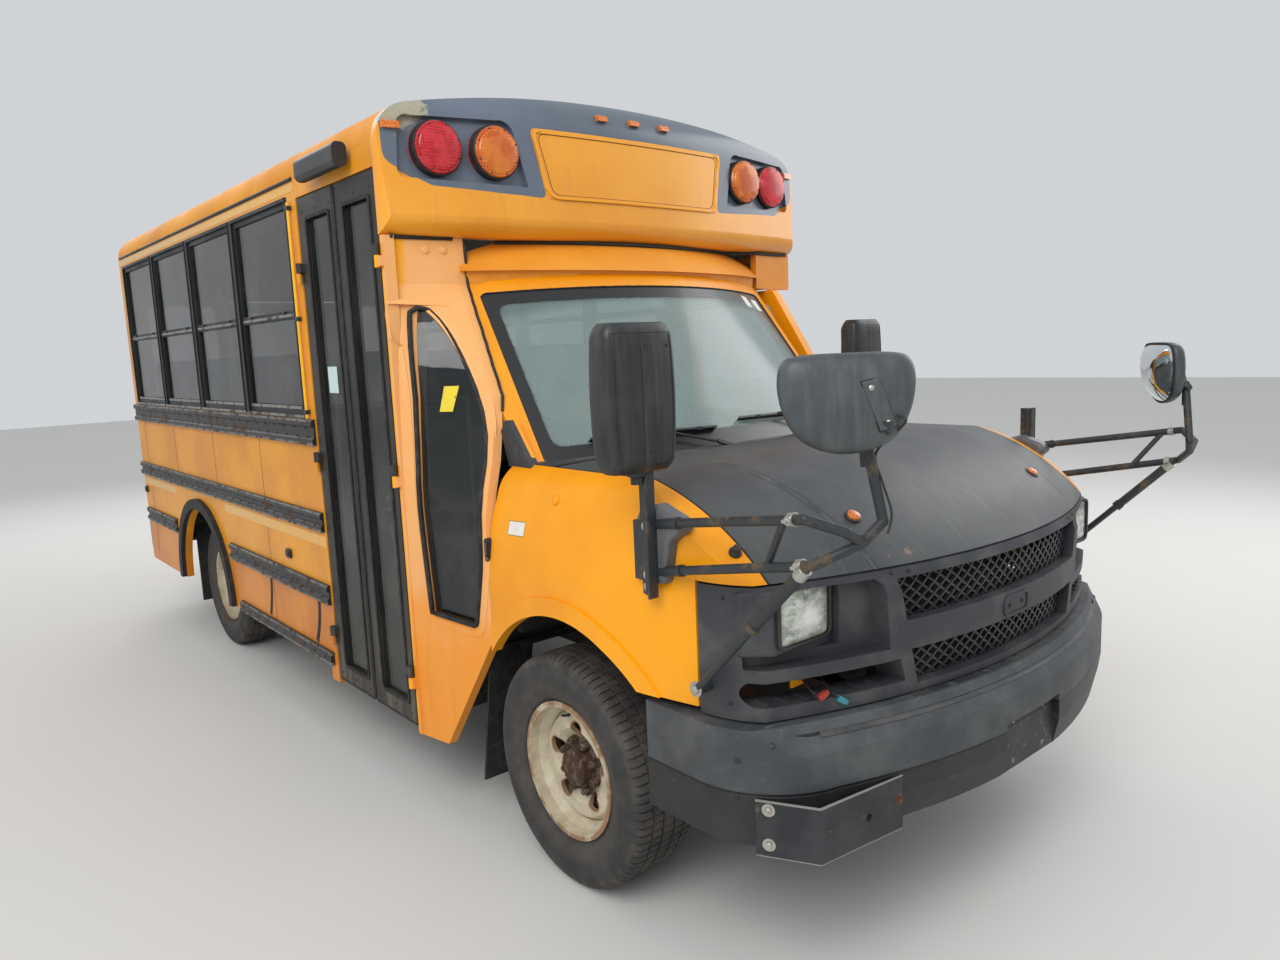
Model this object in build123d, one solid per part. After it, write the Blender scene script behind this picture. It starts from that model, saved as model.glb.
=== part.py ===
from build123d import *
import math
import os

os.makedirs("parts", exist_ok=True)

# Millimetres. +Z up, the bus faces -Y, its entrance door is on the -X side.
# The origin lies on the ground, in the middle of the overall length and width.
# A station s is a distance behind the front axle.

# Overall layout
WHEELBASE = 3531.0
FRONT_OVERHANG = 1050.0     # to the bumper's face
MIRROR_HALF = 1160.0        # half the width over the mirrors
MIRROR_REACH = 1201.0       # to the front of the cross-view mirrors
REAR_OVERHANG = 1454.0
BODY_HALF = 1085.0          # half the body's width, over the walls
WALL = 42.0                 # body wall, outer skin to inner lining
JOINT_GAP = 6.0             # gap round everything that opens
SEAT_GAP = 0.3              # clearance where one piece is seated on another

FRONT_AXLE_Y = -(WHEELBASE + REAR_OVERHANG - MIRROR_REACH) / 2
REAR_AXLE_S = WHEELBASE
TAIL_S = WHEELBASE + REAR_OVERHANG

# Wheels
TYRE_R = 379.0
TYRE_WIDTH = 248.0
TREAD_WIDTH = 206.0
TYRE_BEAD_R = 212.0
RIM_FLANGE_R = 224.0
RIM_BARREL_R = 204.0
RIM_WIDTH = 190.0
TYRE_OUTER_X = 990.0        # outer face of the tyre
DISC_INSET = 62.0           # wheel disc behind the outer flange
HAND_HOLES = 5
HAND_HOLE_R = 27.0
HAND_HOLE_PCR = 122.0
LUGS = 8
LUG_PCR = 82.5
HUB_R = 58.0
STEER_DEG = 32.0

# Body levels
SKIRT_BOTTOM = 368.0
DOOR_BOTTOM = 330.0
POST_BOTTOM = 300.0
FLOOR_TOP = 745.0
FLOOR_THICK = 45.0
BELT_Z = 1464.0             # window sills
WINDOW_TOP = 2372.0
CORNER_BOTTOM = 2440.0      # where the wall starts to turn into the roof
CORNER_TOP = 2583.0
CORNER_INSET = 125.0
ROOF_CROWN = 2672.0
ROOF_SKIN = 38.0

# Body stations
CAP_SIDE_S = 800.0          # rear edge of the front cap
DOOR_REAR_S = 1536.0        # rear edge of the entrance
WALL_FRONT_LEFT_S = 1425.0
FIRST_WINDOW_S = 1660.0
LAST_WINDOW_S = TAIL_S - 234.0
BODY_REAR_S = TAIL_S - 132.0
WINDOWS = 4
PILLAR = 58.0
ARCH_R_REAR = 480.0
ARCH_Z = 385.0
FENDERETTE = 58.0
ARCH_LEAD = 30.0            # arches sit a little ahead of the axles

# Nose
NOSE_R = 2100.0             # plan curve of hood, grille and bumper
NOSE_FRONT_S = -985.0
CAB_HALF = 1004.0
SHELL = 30.0
HOOD_HALF = 857.0
HOOD_LIP_Z = 1104.0
HOOD_REAR_S = 20.0
HOOD_REAR_SIDE_S = 110.0
FASCIA_REAR_S = -612.0
FASCIA_BOTTOM = 748.0
FENDER_REAR_S = 338.0
ARCH_R_FRONT = 500.0
ARCH_LIP, ARCH_PROUD = 58.0, 9.0
ARCH_Z_FRONT = 402.0
BUMPER_FRONT_S = -FRONT_OVERHANG
BUMPER_TOP, BUMPER_BOTTOM = 742.0, 436.0
HOOD_HINGE = (120.0, 1300.0)
COWL_GAP, COWL_DROP = 36.0, 52.0    # trough behind the hood's rear edge
HOOD_OPEN_DEG = 48.0

# Front cap
CAP_R = 5400.0
CAP_FRONT_S = 635.0
CAP_SEAM_Z = 2128.0
CAP_SKIN = 46.0
POD_DEPTH = 24.0
LAMP_R = 93.0
LAMP_XS = (657.0, 875.0)
LAMP_Z = 2428.0
SIGN_TOP, SIGN_LOW, SIGN_RIDGE = (497.0, 2526.0), (445.0, 2278.0), 11.0

# Windshield, on a leaning cylinder
GLASS_R = 2000.0
GLASS_FOOT = (60.0, 1340.0)
GLASS_HEAD = (548.0, 1945.0)
GLASS_THICK = 8.0

GROUND_FRAME = 520.0        # underside of the chassis rails
RAIL_HEIGHT = 165.0
RAIL_TOP = GROUND_FRAME + RAIL_HEIGHT
RAIL_X = 432.0
RAIL_WIDTH = 64.0
RAIL_WALL = 9.0


LEAF_OUT, LEAF_IN = 2.0, 36.0       # entrance leaf, in from the wall's face
DOOR_FRONT_S = FENDER_REAR_S + JOINT_GAP + 3
DRIVER_DOOR_REAR_S = 1398.0
DRIVER_DOOR_TOP = 1950.0


# Shape helpers

def block(x0, x1, s0, s1, z0, z1):
    centre = Pos((x0 + x1) / 2, FRONT_AXLE_Y + (s0 + s1) / 2, (z0 + z1) / 2)
    return centre * Box(abs(x1 - x0), abs(s1 - s0), abs(z1 - z0))


def outline(start, *steps):
    """Closed face: each step is an end point, or the (middle, end) of an arc."""
    edges, here = [], start
    for step in steps:
        if isinstance(step[0], tuple):
            edges.append(ThreePointArc(here, step[0], step[1]))
            here = step[1]
        elif math.dist(here, step) > 1e-6:
            edges.append(Line(here, step))
            here = step
    if math.dist(here, start) > 1e-6:
        edges.append(Line(here, start))
    return make_face(edges)


def side_prism(face, x0, x1):
    """Face drawn in (s, z), from x0 to x1."""
    plane = Plane(origin=(x0, FRONT_AXLE_Y, 0), x_dir=(0, 1, 0), z_dir=(1, 0, 0))
    return extrude(plane * face, x1 - x0)


def front_prism(face, s0, s1):
    """Face drawn in (x, z), from station s0 to s1."""
    plane = Plane(origin=(0, FRONT_AXLE_Y + s1, 0), x_dir=(1, 0, 0), z_dir=(0, -1, 0))
    return extrude(plane * face, s1 - s0)


def plan_prism(face, z0, z1):
    """Face drawn in (x, s), from z0 to z1."""
    return extrude(Pos(0, FRONT_AXLE_Y, z0) * face, z1 - z0)


def both(shape):
    """The shape and its mirror image on the other side of the bus."""
    return Compound([shape, mirror(shape, about=Plane.YZ)])


def flip(shape):
    return mirror(shape, about=Plane.YZ)


def rod(start, end, radius):
    """Round bar between two (x, s, z) points."""
    a = Vector(start[0], FRONT_AXLE_Y + start[1], start[2])
    b = Vector(end[0], FRONT_AXLE_Y + end[1], end[2])
    plane = Plane(origin=a, z_dir=(b - a).normalized())
    return plane * Cylinder(radius, (b - a).length, align=(Align.CENTER, Align.CENTER, Align.MIN))


def tube(points, radius):
    """Bent round bar: straight runs with a ball at each turn."""
    body = rod(points[0], points[1], radius)
    for first, second in zip(points[1:], points[2:]):
        body += Pos(first[0], FRONT_AXLE_Y + first[1], first[2]) * Sphere(radius)
        body += rod(first, second, radius)
    return body


def cross_bar(radius, x0, x1, s, z):
    return rod((x0, s, z), (x1, s, z), radius)


def about_axle_line(profile, centre_s, side=None):
    """Face drawn in (radius, x), turned about the axle line at a station."""
    plane = Plane(origin=(0, FRONT_AXLE_Y + centre_s, TYRE_R), x_dir=(0, 1, 0), z_dir=(0, 0, -1))
    axis = Axis((0, FRONT_AXLE_Y + centre_s, TYRE_R), (1, 0, 0))
    return revolve(plane * profile, axis, 360)


def about_upright(face, axis_s, spread):
    """Face drawn in (s, z), turned about an upright line to both sides."""
    axis = Axis((0, FRONT_AXLE_Y + axis_s, 0), (0, 0, 1))
    plane = Plane(origin=(0, FRONT_AXLE_Y, 0), x_dir=(0, 1, 0), z_dir=(1, 0, 0))
    return revolve((plane * face).rotate(axis, -spread), axis, 2 * spread)


def keep(name, shape):
    export_step(shape, f"parts/{name}.step")


PIN_R = 6.0
KNUCKLE_R = 11.0
KNUCKLE = 42.0


def upright_hinge(x, s, z, door_tab, wall_tab):
    """Hinge on an upright pin. Tabs are (x0, x1, s0, s1); door half above, wall half below."""
    pin = rod((x, s, z - KNUCKLE + 4), (x, s, z + KNUCKLE), PIN_R)
    upper = rod((x, s, z), (x, s, z + KNUCKLE), KNUCKLE_R)
    upper += block(*door_tab, z + 4, z + KNUCKLE - 4) + pin
    lower = rod((x, s, z - KNUCKLE), (x, s, z - SEAT_GAP), KNUCKLE_R)
    lower += block(*wall_tab, z - KNUCKLE + 4, z - 4)
    lower -= rod((x, s, z - KNUCKLE - 1), (x, s, z + 1), PIN_R + SEAT_GAP)
    return upper, lower


# Chassis

def chassis_frame():
    front, rear = -760.0, BODY_REAR_S - 60
    top = GROUND_FRAME + RAIL_HEIGHT
    rail = block(RAIL_X - RAIL_WIDTH, RAIL_X, front, rear, GROUND_FRAME, top)
    rail -= block(RAIL_X - RAIL_WIDTH - 1, RAIL_X - RAIL_WALL, front - 1, rear + 1,
                  GROUND_FRAME + RAIL_WALL, top - RAIL_WALL)
    frame = rail + flip(rail)
    reach = RAIL_X - RAIL_WALL / 2
    for s, lift in ((-690.0, 20), (1060.0, 88), (1700.0, 88), (2500.0, 88),
                    (REAR_AXLE_S + 620, 60), (rear - 60, 60)):
        base = GROUND_FRAME + lift
        frame += block(-reach, reach, s - 35, s + 35, base, base + 66)
    return frame


KINGPIN_X = 745.0
KINGPIN_R = 12.0
ARM_LOW_Z, ARM_HIGH_Z = (262.0, 300.0), (508.0, 536.0)
DISC_X = TYRE_OUTER_X - TYRE_WIDTH / 2 + RIM_WIDTH / 2 - DISC_INSET


def front_suspension():
    """Engine cradle with lower and upper arms, springs and the arms' ball-joint eyes."""
    cradle = block(-RAIL_X, RAIL_X, -150, 150, GROUND_FRAME - 120, GROUND_FRAME - 70)
    half = block(370, RAIL_X, -150, 150, ARM_LOW_Z[0], GROUND_FRAME - SEAT_GAP)
    for (low, high), root_x, root_half in ((ARM_LOW_Z, 380, 150), (ARM_HIGH_Z, RAIL_X + SEAT_GAP, 95)):
        half += plan_prism(outline((root_x, -root_half), (KINGPIN_X - 10, -30), (KINGPIN_X - 10, 30),
                                   (root_x, root_half)), low, high)
        half += rod((KINGPIN_X, 0, low), (KINGPIN_X, 0, high), 34)
    half += rod((560, 0, ARM_LOW_Z[1] - 1), (560, 0, ARM_HIGH_Z[0] + 1), 46)
    half -= rod((KINGPIN_X, 0, 200), (KINGPIN_X, 0, 600), KINGPIN_R + SEAT_GAP)
    return cradle + half + flip(half)


def knuckle(sign):
    """Upright with its ball-joint pin, brake disc, caliper and steering arm."""
    body = rod((KINGPIN_X, 0, ARM_LOW_Z[1] + SEAT_GAP), (KINGPIN_X, 0, ARM_HIGH_Z[0] - SEAT_GAP), 24)
    body += rod((KINGPIN_X, 0, ARM_LOW_Z[0] - 8), (KINGPIN_X, 0, ARM_HIGH_Z[1] + 8), KINGPIN_R)
    body += rod((KINGPIN_X, 0, TYRE_R), (DISC_X - 12 - SEAT_GAP, 0, TYRE_R), 46)
    body += rod((DISC_X - 73, 0, TYRE_R), (DISC_X - 45, 0, TYRE_R), 148)
    body += block(DISC_X - 100, DISC_X - 34, 60, 150, TYRE_R - 62, TYRE_R + 62)
    body += block(KINGPIN_X - 12, KINGPIN_X + 12, 0, 185, 318, 342)
    body += block(KINGPIN_X - 10, DISC_X - 60, 60, 90, TYRE_R - 30, TYRE_R + 30)
    body += block(KINGPIN_X - 10, KINGPIN_X + 20, 0, 90, TYRE_R - 30, TYRE_R + 30)
    return body if sign > 0 else flip(body)


def engine():
    block_body = block(-300, 300, -560, 330, 560, 1090)
    sump = block(-170, 170, -420, 120, GROUND_FRAME - 60, 561)
    radiator = block(-350, 350, -760, -700, GROUND_FRAME + 86 + SEAT_GAP, 1060)
    web = RAIL_X - RAIL_WALL - SEAT_GAP
    return block_body + sump + block(-web, web, -90, 10, 600, 650), radiator


def driveline():
    gearbox = front_prism(outline((-150, 470), (150, 470), (190, 640), (120, 690), (-120, 690),
                                  (-190, 640)), 330 + SEAT_GAP, 1000)
    tail_end = (0.0, 1000.0, 560.0)
    pinion = (0.0, REAR_AXLE_S - 189.3, TYRE_R + 10)
    return gearbox + rod(tail_end, pinion, 44)


AXLE_TUBE_R = 52.0
SPRING_X = 545.0


def rear_axle():
    hub_face = DISC_X - 12 - SEAT_GAP
    body = cross_bar(AXLE_TUBE_R, -hub_face, hub_face, REAR_AXLE_S, TYRE_R)
    body += Pos(0, FRONT_AXLE_Y + REAR_AXLE_S, TYRE_R) * Sphere(150)
    body += rod((0, REAR_AXLE_S - 188, TYRE_R + 10), (0, REAR_AXLE_S - 90, TYRE_R + 5), 66)
    for x in (-hub_face + 60, hub_face - 60):
        body += cross_bar(148, x - 22, x + 22, REAR_AXLE_S, TYRE_R)
    return body




def leaf_springs():
    """Leaf packs above the axle, with hangers to the rails."""
    pack = outline((REAR_AXLE_S - 640, 500), ((REAR_AXLE_S, TYRE_R + AXLE_TUBE_R + SEAT_GAP), (REAR_AXLE_S + 640, 500)),
                   (REAR_AXLE_S + 640, 516),
                   ((REAR_AXLE_S, TYRE_R + 104), (REAR_AXLE_S - 640, 516)))
    spring = side_prism(pack, SPRING_X - 35, SPRING_X + 35)
    for s in (REAR_AXLE_S - 640, REAR_AXLE_S + 640):
        spring += block(RAIL_X + SEAT_GAP, SPRING_X + 35, s - 28, s + 28, 494, 640)
    return both(spring)


def fuel_tank():
    tank = block(480, 960, 1750, 2650, 430, 660)
    tank = fillet(tank.edges().filter_by(Axis.Y), 40)
    straps = block(RAIL_X + SEAT_GAP, 600, 1900, 1950, 655, 690)
    straps += block(RAIL_X + SEAT_GAP, 600, 2450, 2500, 655, 690)
    return tank + straps


def exhaust():
    muffler = rod((-560, 1800, 470), (-560, 2350, 470), 95)
    pipe = tube([(-280, 420, 500), (-280, 1300, 450), (-560, 1650, 470), (-560, 2500, 470),
                 (-640, REAR_AXLE_S - 420, 470), (-640, REAR_AXLE_S - 300, 640)], 30)
    tail = tube([(-640, REAR_AXLE_S - 300, 640), (-640, REAR_AXLE_S + 320, 640),
                 (-640, REAR_AXLE_S + 480, 480), (-700, TAIL_S - 160, 460)], 30)
    hanger = block(-645, -RAIL_X - SEAT_GAP, 2030, 2070, 540, 600) + block(-600, -560, 2030, 2070, 540, 600)
    return muffler + pipe + tail + hanger


def tyre_profile():
    """Section of the tyre, as (radius, x) about the tyre's middle plane."""
    half, tread, seat = TYRE_WIDTH / 2, TREAD_WIDTH / 2, RIM_WIDTH / 2 - 1.0
    lip, mid, wall = RIM_FLANGE_R + 3, (RIM_FLANGE_R + TYRE_R) / 2, TYRE_R - 32
    side = ((lip, seat), (mid - 38, half - 9), (mid, half), (mid + 28, half - 2), (wall, half - 9),
            (TYRE_R - 14, tread + 8), (TYRE_R - 4, tread - 10))
    return outline((TYRE_BEAD_R, -seat + 6), *[(r, -x) for r, x in side], (TYRE_R, -tread / 3),
                   (TYRE_R, tread / 3), *reversed(side), (TYRE_BEAD_R, seat - 6))


def wheel_set(axle_s, side):
    """One road wheel and its tyre; side is -1 for the door side."""
    mid_x = TYRE_OUTER_X - TYRE_WIDTH / 2
    tyre = Pos(mid_x, 0, 0) * about_axle_line(tyre_profile(), axle_s)
    lip = RIM_WIDTH / 2
    rim_face = outline(
        (RIM_FLANGE_R, -lip - 7), (RIM_FLANGE_R, -lip), (TYRE_BEAD_R - 0.4, -lip + 4),
        (RIM_BARREL_R + 4, -lip + 30), (RIM_BARREL_R - 12, -lip + 60),
        (RIM_BARREL_R - 12, lip - 60), (RIM_BARREL_R + 4, lip - 30),
        (TYRE_BEAD_R - 0.4, lip - 4), (RIM_FLANGE_R, lip), (RIM_FLANGE_R, lip + 7),
        (TYRE_BEAD_R - 6, lip + 7), (RIM_BARREL_R - 3, lip - 24),
        (RIM_BARREL_R - 22, lip - 56), (RIM_BARREL_R - 22, -lip + 62),
        (RIM_BARREL_R - 6, -lip + 28), (TYRE_BEAD_R - 7, -lip - 7))
    rim = Pos(mid_x, 0, 0) * about_axle_line(rim_face, axle_s)
    disc_x = DISC_X
    disc_face = outline((0, disc_x - 12), (HUB_R + 42, disc_x - 12), (HUB_R + 70, disc_x + 10),
                        (RIM_BARREL_R - 46, disc_x + 6), (RIM_BARREL_R - 20, disc_x - 26),
                        (RIM_BARREL_R - 14, disc_x - 14), (RIM_BARREL_R - 38, disc_x + 20),
                        (HUB_R + 66, disc_x + 24), (HUB_R + 36, disc_x + 2), (HUB_R, disc_x + 2),
                        (HUB_R, disc_x + 40), (0, disc_x + 46))
    wheel = rim + about_axle_line(disc_face, axle_s)
    for k in range(HAND_HOLES):
        turn = math.radians(90 + k * 360 / HAND_HOLES)
        at_s, at_z = math.cos(turn) * HAND_HOLE_PCR, math.sin(turn) * HAND_HOLE_PCR
        wheel -= cross_bar(HAND_HOLE_R, disc_x - 40, disc_x + 60, axle_s + at_s, TYRE_R + at_z)
    for k in range(LUGS):
        turn = math.radians((k + 0.5) * 360 / LUGS)
        at_s, at_z = math.cos(turn) * LUG_PCR, math.sin(turn) * LUG_PCR
        wheel += cross_bar(11, disc_x, disc_x + 30, axle_s + at_s, TYRE_R + at_z)
    if side < 0:
        return flip(wheel), flip(tyre)
    return wheel, tyre


# Body section

def body_section(inset, bottom):
    """Outline across the body in (x, z), drawn in by inset."""
    half = BODY_HALF - inset
    corner = BODY_HALF - CORNER_INSET
    top = CORNER_TOP - inset
    crown = ROOF_CROWN - inset
    bend_x, bend_z = BODY_HALF - 36 - inset * 0.8, CORNER_BOTTOM + 96 - inset * 0.8
    return outline((-half, bottom), (-half, CORNER_BOTTOM), ((-bend_x, bend_z), (-corner, top)),
                   ((0, crown), (corner, top)), ((bend_x, bend_z), (half, CORNER_BOTTOM)),
                   (half, bottom))


def window_stations():
    """Start and end of each side window."""
    pitch = (LAST_WINDOW_S - FIRST_WINDOW_S + PILLAR) / WINDOWS
    return [(FIRST_WINDOW_S + k * pitch, FIRST_WINDOW_S + (k + 1) * pitch - PILLAR)
            for k in range(WINDOWS)]


STEP_X = 610.0              # inner end of the step well
STEP_FRONT_S, STEP_REAR_S = 806.0, 1530.0
PLATE = 20.0
WHEEL_BOX_TOP = 850.0
FLOOR_DOOR_X = 925.0        # floor edge beside the driver's door
CAB_FLOOR_Z = 692.0
FIREWALL_S = 262.0


def body_floor():
    """Floor, step well with two treads, and boxes over the rear wheels."""
    inner = BODY_HALF - WALL - SEAT_GAP
    under = FLOOR_TOP - FLOOR_THICK
    floor = block(-inner, inner, CAP_SIDE_S, BODY_REAR_S - WALL - SEAT_GAP, under, FLOOR_TOP)
    floor -= block(-inner - 1, -STEP_X, STEP_FRONT_S, STEP_REAR_S, under - 1, FLOOR_TOP + 1)
    floor -= block(FLOOR_DOOR_X - 22 - SEAT_GAP, inner + 1, CAP_SIDE_S - 1, WALL_FRONT_LEFT_S + 1, under - 1, FLOOR_TOP + 1)
    low, mid = DOOR_BOTTOM + 5, DOOR_BOTTOM + 210
    tread_x = -STEP_X - 200
    for s in (STEP_FRONT_S - PLATE, STEP_REAR_S):
        floor += block(-inner, -STEP_X + PLATE, s, s + PLATE, low, under + 10)
    floor += block(-inner, tread_x + PLATE, STEP_FRONT_S - 1, STEP_REAR_S + 1, low, low + PLATE)
    floor += block(tread_x, tread_x + PLATE, STEP_FRONT_S - 1, STEP_REAR_S + 1, low, mid)
    floor += block(tread_x, -STEP_X + PLATE, STEP_FRONT_S - 1, STEP_REAR_S + 1, mid - PLATE, mid)
    floor += block(-STEP_X, -STEP_X + PLATE, STEP_FRONT_S - 1, STEP_REAR_S + 1, mid - PLATE, under + 10)
    for s in (1240.0, 2100.0, 2800.0, REAR_AXLE_S + 500):
        floor += block(-STEP_X + 60, STEP_X - 60, s - 30, s + 30, RAIL_TOP + SEAT_GAP, under + 1)
    for sign in (-1, 1):
        x0, x1 = sorted((sign * 700, sign * inner))
        floor += block(x0, x1, REAR_AXLE_S - 440, REAR_AXLE_S + 440, under, WHEEL_BOX_TOP)
        x0, x1 = sorted((sign * (700 + PLATE), sign * (inner + 1)))
        floor -= block(x0, x1, REAR_AXLE_S - 420, REAR_AXLE_S + 420, under - 1, WHEEL_BOX_TOP - PLATE)
    return floor


def side_walls():
    """Wall below the windows on each side, with the wheel arch cut out."""
    arch = cross_bar(ARCH_R_REAR, BODY_HALF - WALL - 1, BODY_HALF + 1,
                     REAR_AXLE_S - ARCH_LEAD, ARCH_Z)
    arch += block(BODY_HALF - WALL - 1, BODY_HALF + 1, REAR_AXLE_S - ARCH_LEAD - ARCH_R_REAR,
                  REAR_AXLE_S - ARCH_LEAD + ARCH_R_REAR, 0, ARCH_Z)
    left = block(BODY_HALF - WALL, BODY_HALF, WALL_FRONT_LEFT_S, BODY_REAR_S, SKIRT_BOTTOM, BELT_Z)
    left -= arch
    right = block(-BODY_HALF, -BODY_HALF + WALL, DOOR_REAR_S + JOINT_GAP, BODY_REAR_S,
                  SKIRT_BOTTOM, BELT_Z)
    right += block(-BODY_HALF, -BODY_HALF + WALL, DOOR_REAR_S + JOINT_GAP, FIRST_WINDOW_S - 40,
                   POST_BOTTOM, SKIRT_BOTTOM + 1)
    right -= flip(arch)
    return right, left


def window_bands():
    """Window pillars, header and the wall over the doors, on each side."""
    outer = block(-BODY_HALF, -BODY_HALF + WALL, CAP_SIDE_S, BODY_REAR_S, BELT_Z, CORNER_BOTTOM)
    right = outer - block(-BODY_HALF - 1, -BODY_HALF + WALL + 1, CAP_SIDE_S - 1,
                          DOOR_REAR_S + JOINT_GAP, BELT_Z - 1, WINDOW_TOP - 10)
    left = block(BODY_HALF - WALL, BODY_HALF, CAP_SIDE_S, BODY_REAR_S, CAP_SEAM_Z, CORNER_BOTTOM)
    left += block(BODY_HALF - WALL, BODY_HALF, WALL_FRONT_LEFT_S, BODY_REAR_S, BELT_Z, CAP_SEAM_Z + 1)
    for start, end in window_stations():
        right -= block(-BODY_HALF - 1, -BODY_HALF + WALL + 1, start, end, BELT_Z + 6, WINDOW_TOP)
        left -= block(BODY_HALF - WALL - 1, BODY_HALF + 1, start, end, BELT_Z + 6, WINDOW_TOP)
    return right, left


FRAME_BAR = 30.0
SASH_Z = 1905.0
FRAME_IN, FRAME_OUT = 34.0, 6.0     # frame depth, from the wall's outer face
GLASS_IN, GLASS_OUT = 22.0, 16.0


def window_frames():
    """Black frame with a meeting rail in each side window."""
    frames = []
    for start, end in window_stations():
        gap = SEAT_GAP
        face = block(-BODY_HALF + FRAME_OUT, -BODY_HALF + FRAME_IN, start + gap, end - gap,
                     BELT_Z + 6 + gap, WINDOW_TOP - gap)
        face -= block(-BODY_HALF, -BODY_HALF + WALL, start + FRAME_BAR, end - FRAME_BAR,
                      BELT_Z + 6 + FRAME_BAR, SASH_Z - 18)
        face -= block(-BODY_HALF, -BODY_HALF + WALL, start + FRAME_BAR, end - FRAME_BAR,
                      SASH_Z + 18, WINDOW_TOP - FRAME_BAR)
        frames += [face, flip(face)]
    return frames


def side_glass():
    panes = []
    for start, end in window_stations():
        for z0, z1 in ((BELT_Z + 6 + FRAME_BAR, SASH_Z - 18), (SASH_Z + 18, WINDOW_TOP - FRAME_BAR)):
            pane = block(-BODY_HALF + GLASS_OUT, -BODY_HALF + GLASS_IN,
                         start + FRAME_BAR + SEAT_GAP, end - FRAME_BAR - SEAT_GAP,
                         z0 + SEAT_GAP, z1 - SEAT_GAP)
            panes += [pane, flip(pane)]
    return panes


def roof():
    outer = front_prism(body_section(0, CORNER_BOTTOM), CAP_SIDE_S, BODY_REAR_S)
    inner = front_prism(body_section(ROOF_SKIN, CORNER_BOTTOM - 1), CAP_SIDE_S - 1, BODY_REAR_S + 1)
    return outer - inner


REAR_DOOR_HALF = 400.0
REAR_DOOR_BOTTOM = 762.0
REAR_DOOR_TOP = 2150.0


def rear_wall():
    """Rear panel with the emergency doorway and a window at each side of it."""
    wall = front_prism(body_section(ROOF_SKIN + SEAT_GAP, 642), BODY_REAR_S - WALL, BODY_REAR_S)
    side = BODY_HALF - WALL - SEAT_GAP
    wall &= block(-side, side, BODY_REAR_S - WALL, BODY_REAR_S, 600, ROOF_CROWN)
    gap = JOINT_GAP
    wall -= block(-REAR_DOOR_HALF - gap, REAR_DOOR_HALF + gap, BODY_REAR_S - WALL - 1,
                  BODY_REAR_S + 1, REAR_DOOR_BOTTOM - gap, REAR_DOOR_TOP + gap)
    for sign in (-1, 1):
        x0, x1 = sorted((sign * 500, sign * 950))
        wall -= block(x0, x1, BODY_REAR_S - WALL - 1, BODY_REAR_S + 1, 1500, 2120)
    return wall


def rear_side_glass():
    pane = block(500 + SEAT_GAP, 950 - SEAT_GAP, BODY_REAR_S - 26, BODY_REAR_S - 18,
                 1500 + SEAT_GAP, 2120 - SEAT_GAP)
    return [pane, flip(pane)]


REAR_PANES = ((905, 1290), (1470, 2075))


def rear_door():
    door = block(-REAR_DOOR_HALF, REAR_DOOR_HALF, BODY_REAR_S - WALL, BODY_REAR_S,
                 REAR_DOOR_BOTTOM, REAR_DOOR_TOP)
    for z0, z1 in REAR_PANES:
        door -= block(-290, 290, BODY_REAR_S - WALL - 1, BODY_REAR_S + 1, z0, z1)
    door += block(230, 330, BODY_REAR_S, BODY_REAR_S + 30, 1360, 1390)
    panes = [block(-290 + SEAT_GAP, 290 - SEAT_GAP, BODY_REAR_S - 26, BODY_REAR_S - 18,
                   z0 + SEAT_GAP, z1 - SEAT_GAP) for z0, z1 in REAR_PANES]
    return door, panes


# Front cap

def cap_form(inset):
    """Front cap as a solid of its outer form, drawn in by inset."""
    i = inset
    front = CAP_FRONT_S + i
    low = CAP_SEAM_Z + i * 0.7
    face = outline((CAP_SIDE_S + 300, low), (front + 70, low), ((front + 20.5, low + 20.5), (front, low + 70)),
                   (front + 22, LAMP_Z + 90),
                   ((front + 55, ROOF_CROWN - 52 - i * 0.6), (front + 125, ROOF_CROWN + 12 - i)),
                   (CAP_SIDE_S + 300, ROOF_CROWN + 12 - i))
    axis_s = CAP_FRONT_S + CAP_R
    form = about_upright(face, axis_s, 14)
    form &= front_prism(body_section(i, CAP_SEAM_Z - 100), CAP_FRONT_S - 50, CAP_SIDE_S + 200)
    corner = 62.0
    side = BODY_HALF - i
    start = CAP_SIDE_S - corner - 10
    plan = outline((side, CAP_SIDE_S), (side, start + corner),
                   ((side - corner * 0.29, start + corner * 0.29), (side - corner, start + 0.0)),
                   (side - corner, CAP_FRONT_S - 60), (-side + corner, CAP_FRONT_S - 60),
                   (-side + corner, start + 0.0),
                   ((-side + corner * 0.29, start + corner * 0.29), (-side, start + corner)),
                   (-side, CAP_SIDE_S))
    return form & plan_prism(plan, CAP_SEAM_Z - 50, ROOF_CROWN + 50)


POD = outline((530, 2312), (985, 2322), ((1015, 2332), (1020, 2362)), (1010, 2490),
              ((1000, 2525), (960, 2535)), (640, 2545), ((600, 2540), (572, 2490)))


def sign_face(grow):
    """Outline of the blank sign panel on the cap."""
    return outline((-SIGN_LOW[0] - grow, SIGN_LOW[1] - grow), (-SIGN_TOP[0] - grow, SIGN_TOP[1] + grow),
                   (SIGN_TOP[0] + grow, SIGN_TOP[1] + grow), (SIGN_LOW[0] + grow, SIGN_LOW[1] - grow))


def front_cap():
    shell = cap_form(0) - cap_form(CAP_SKIN)
    ridge = front_prism(sign_face(0), 500, CAP_SIDE_S) - front_prism(sign_face(-SIGN_RIDGE), 499, CAP_SIDE_S + 1)
    shell += (cap_form(-4) - cap_form(1)) & ridge
    shell -= block(-BODY_HALF + WALL, BODY_HALF - WALL, CAP_SIDE_S - 10, CAP_SIDE_S + 10,
                   CAP_SEAM_Z - 10, CORNER_BOTTOM)
    pods = front_prism(POD, CAP_FRONT_S - 60, CAP_SIDE_S - 25)
    pods += flip(pods)
    return shell - (pods - cap_form(POD_DEPTH))


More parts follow.
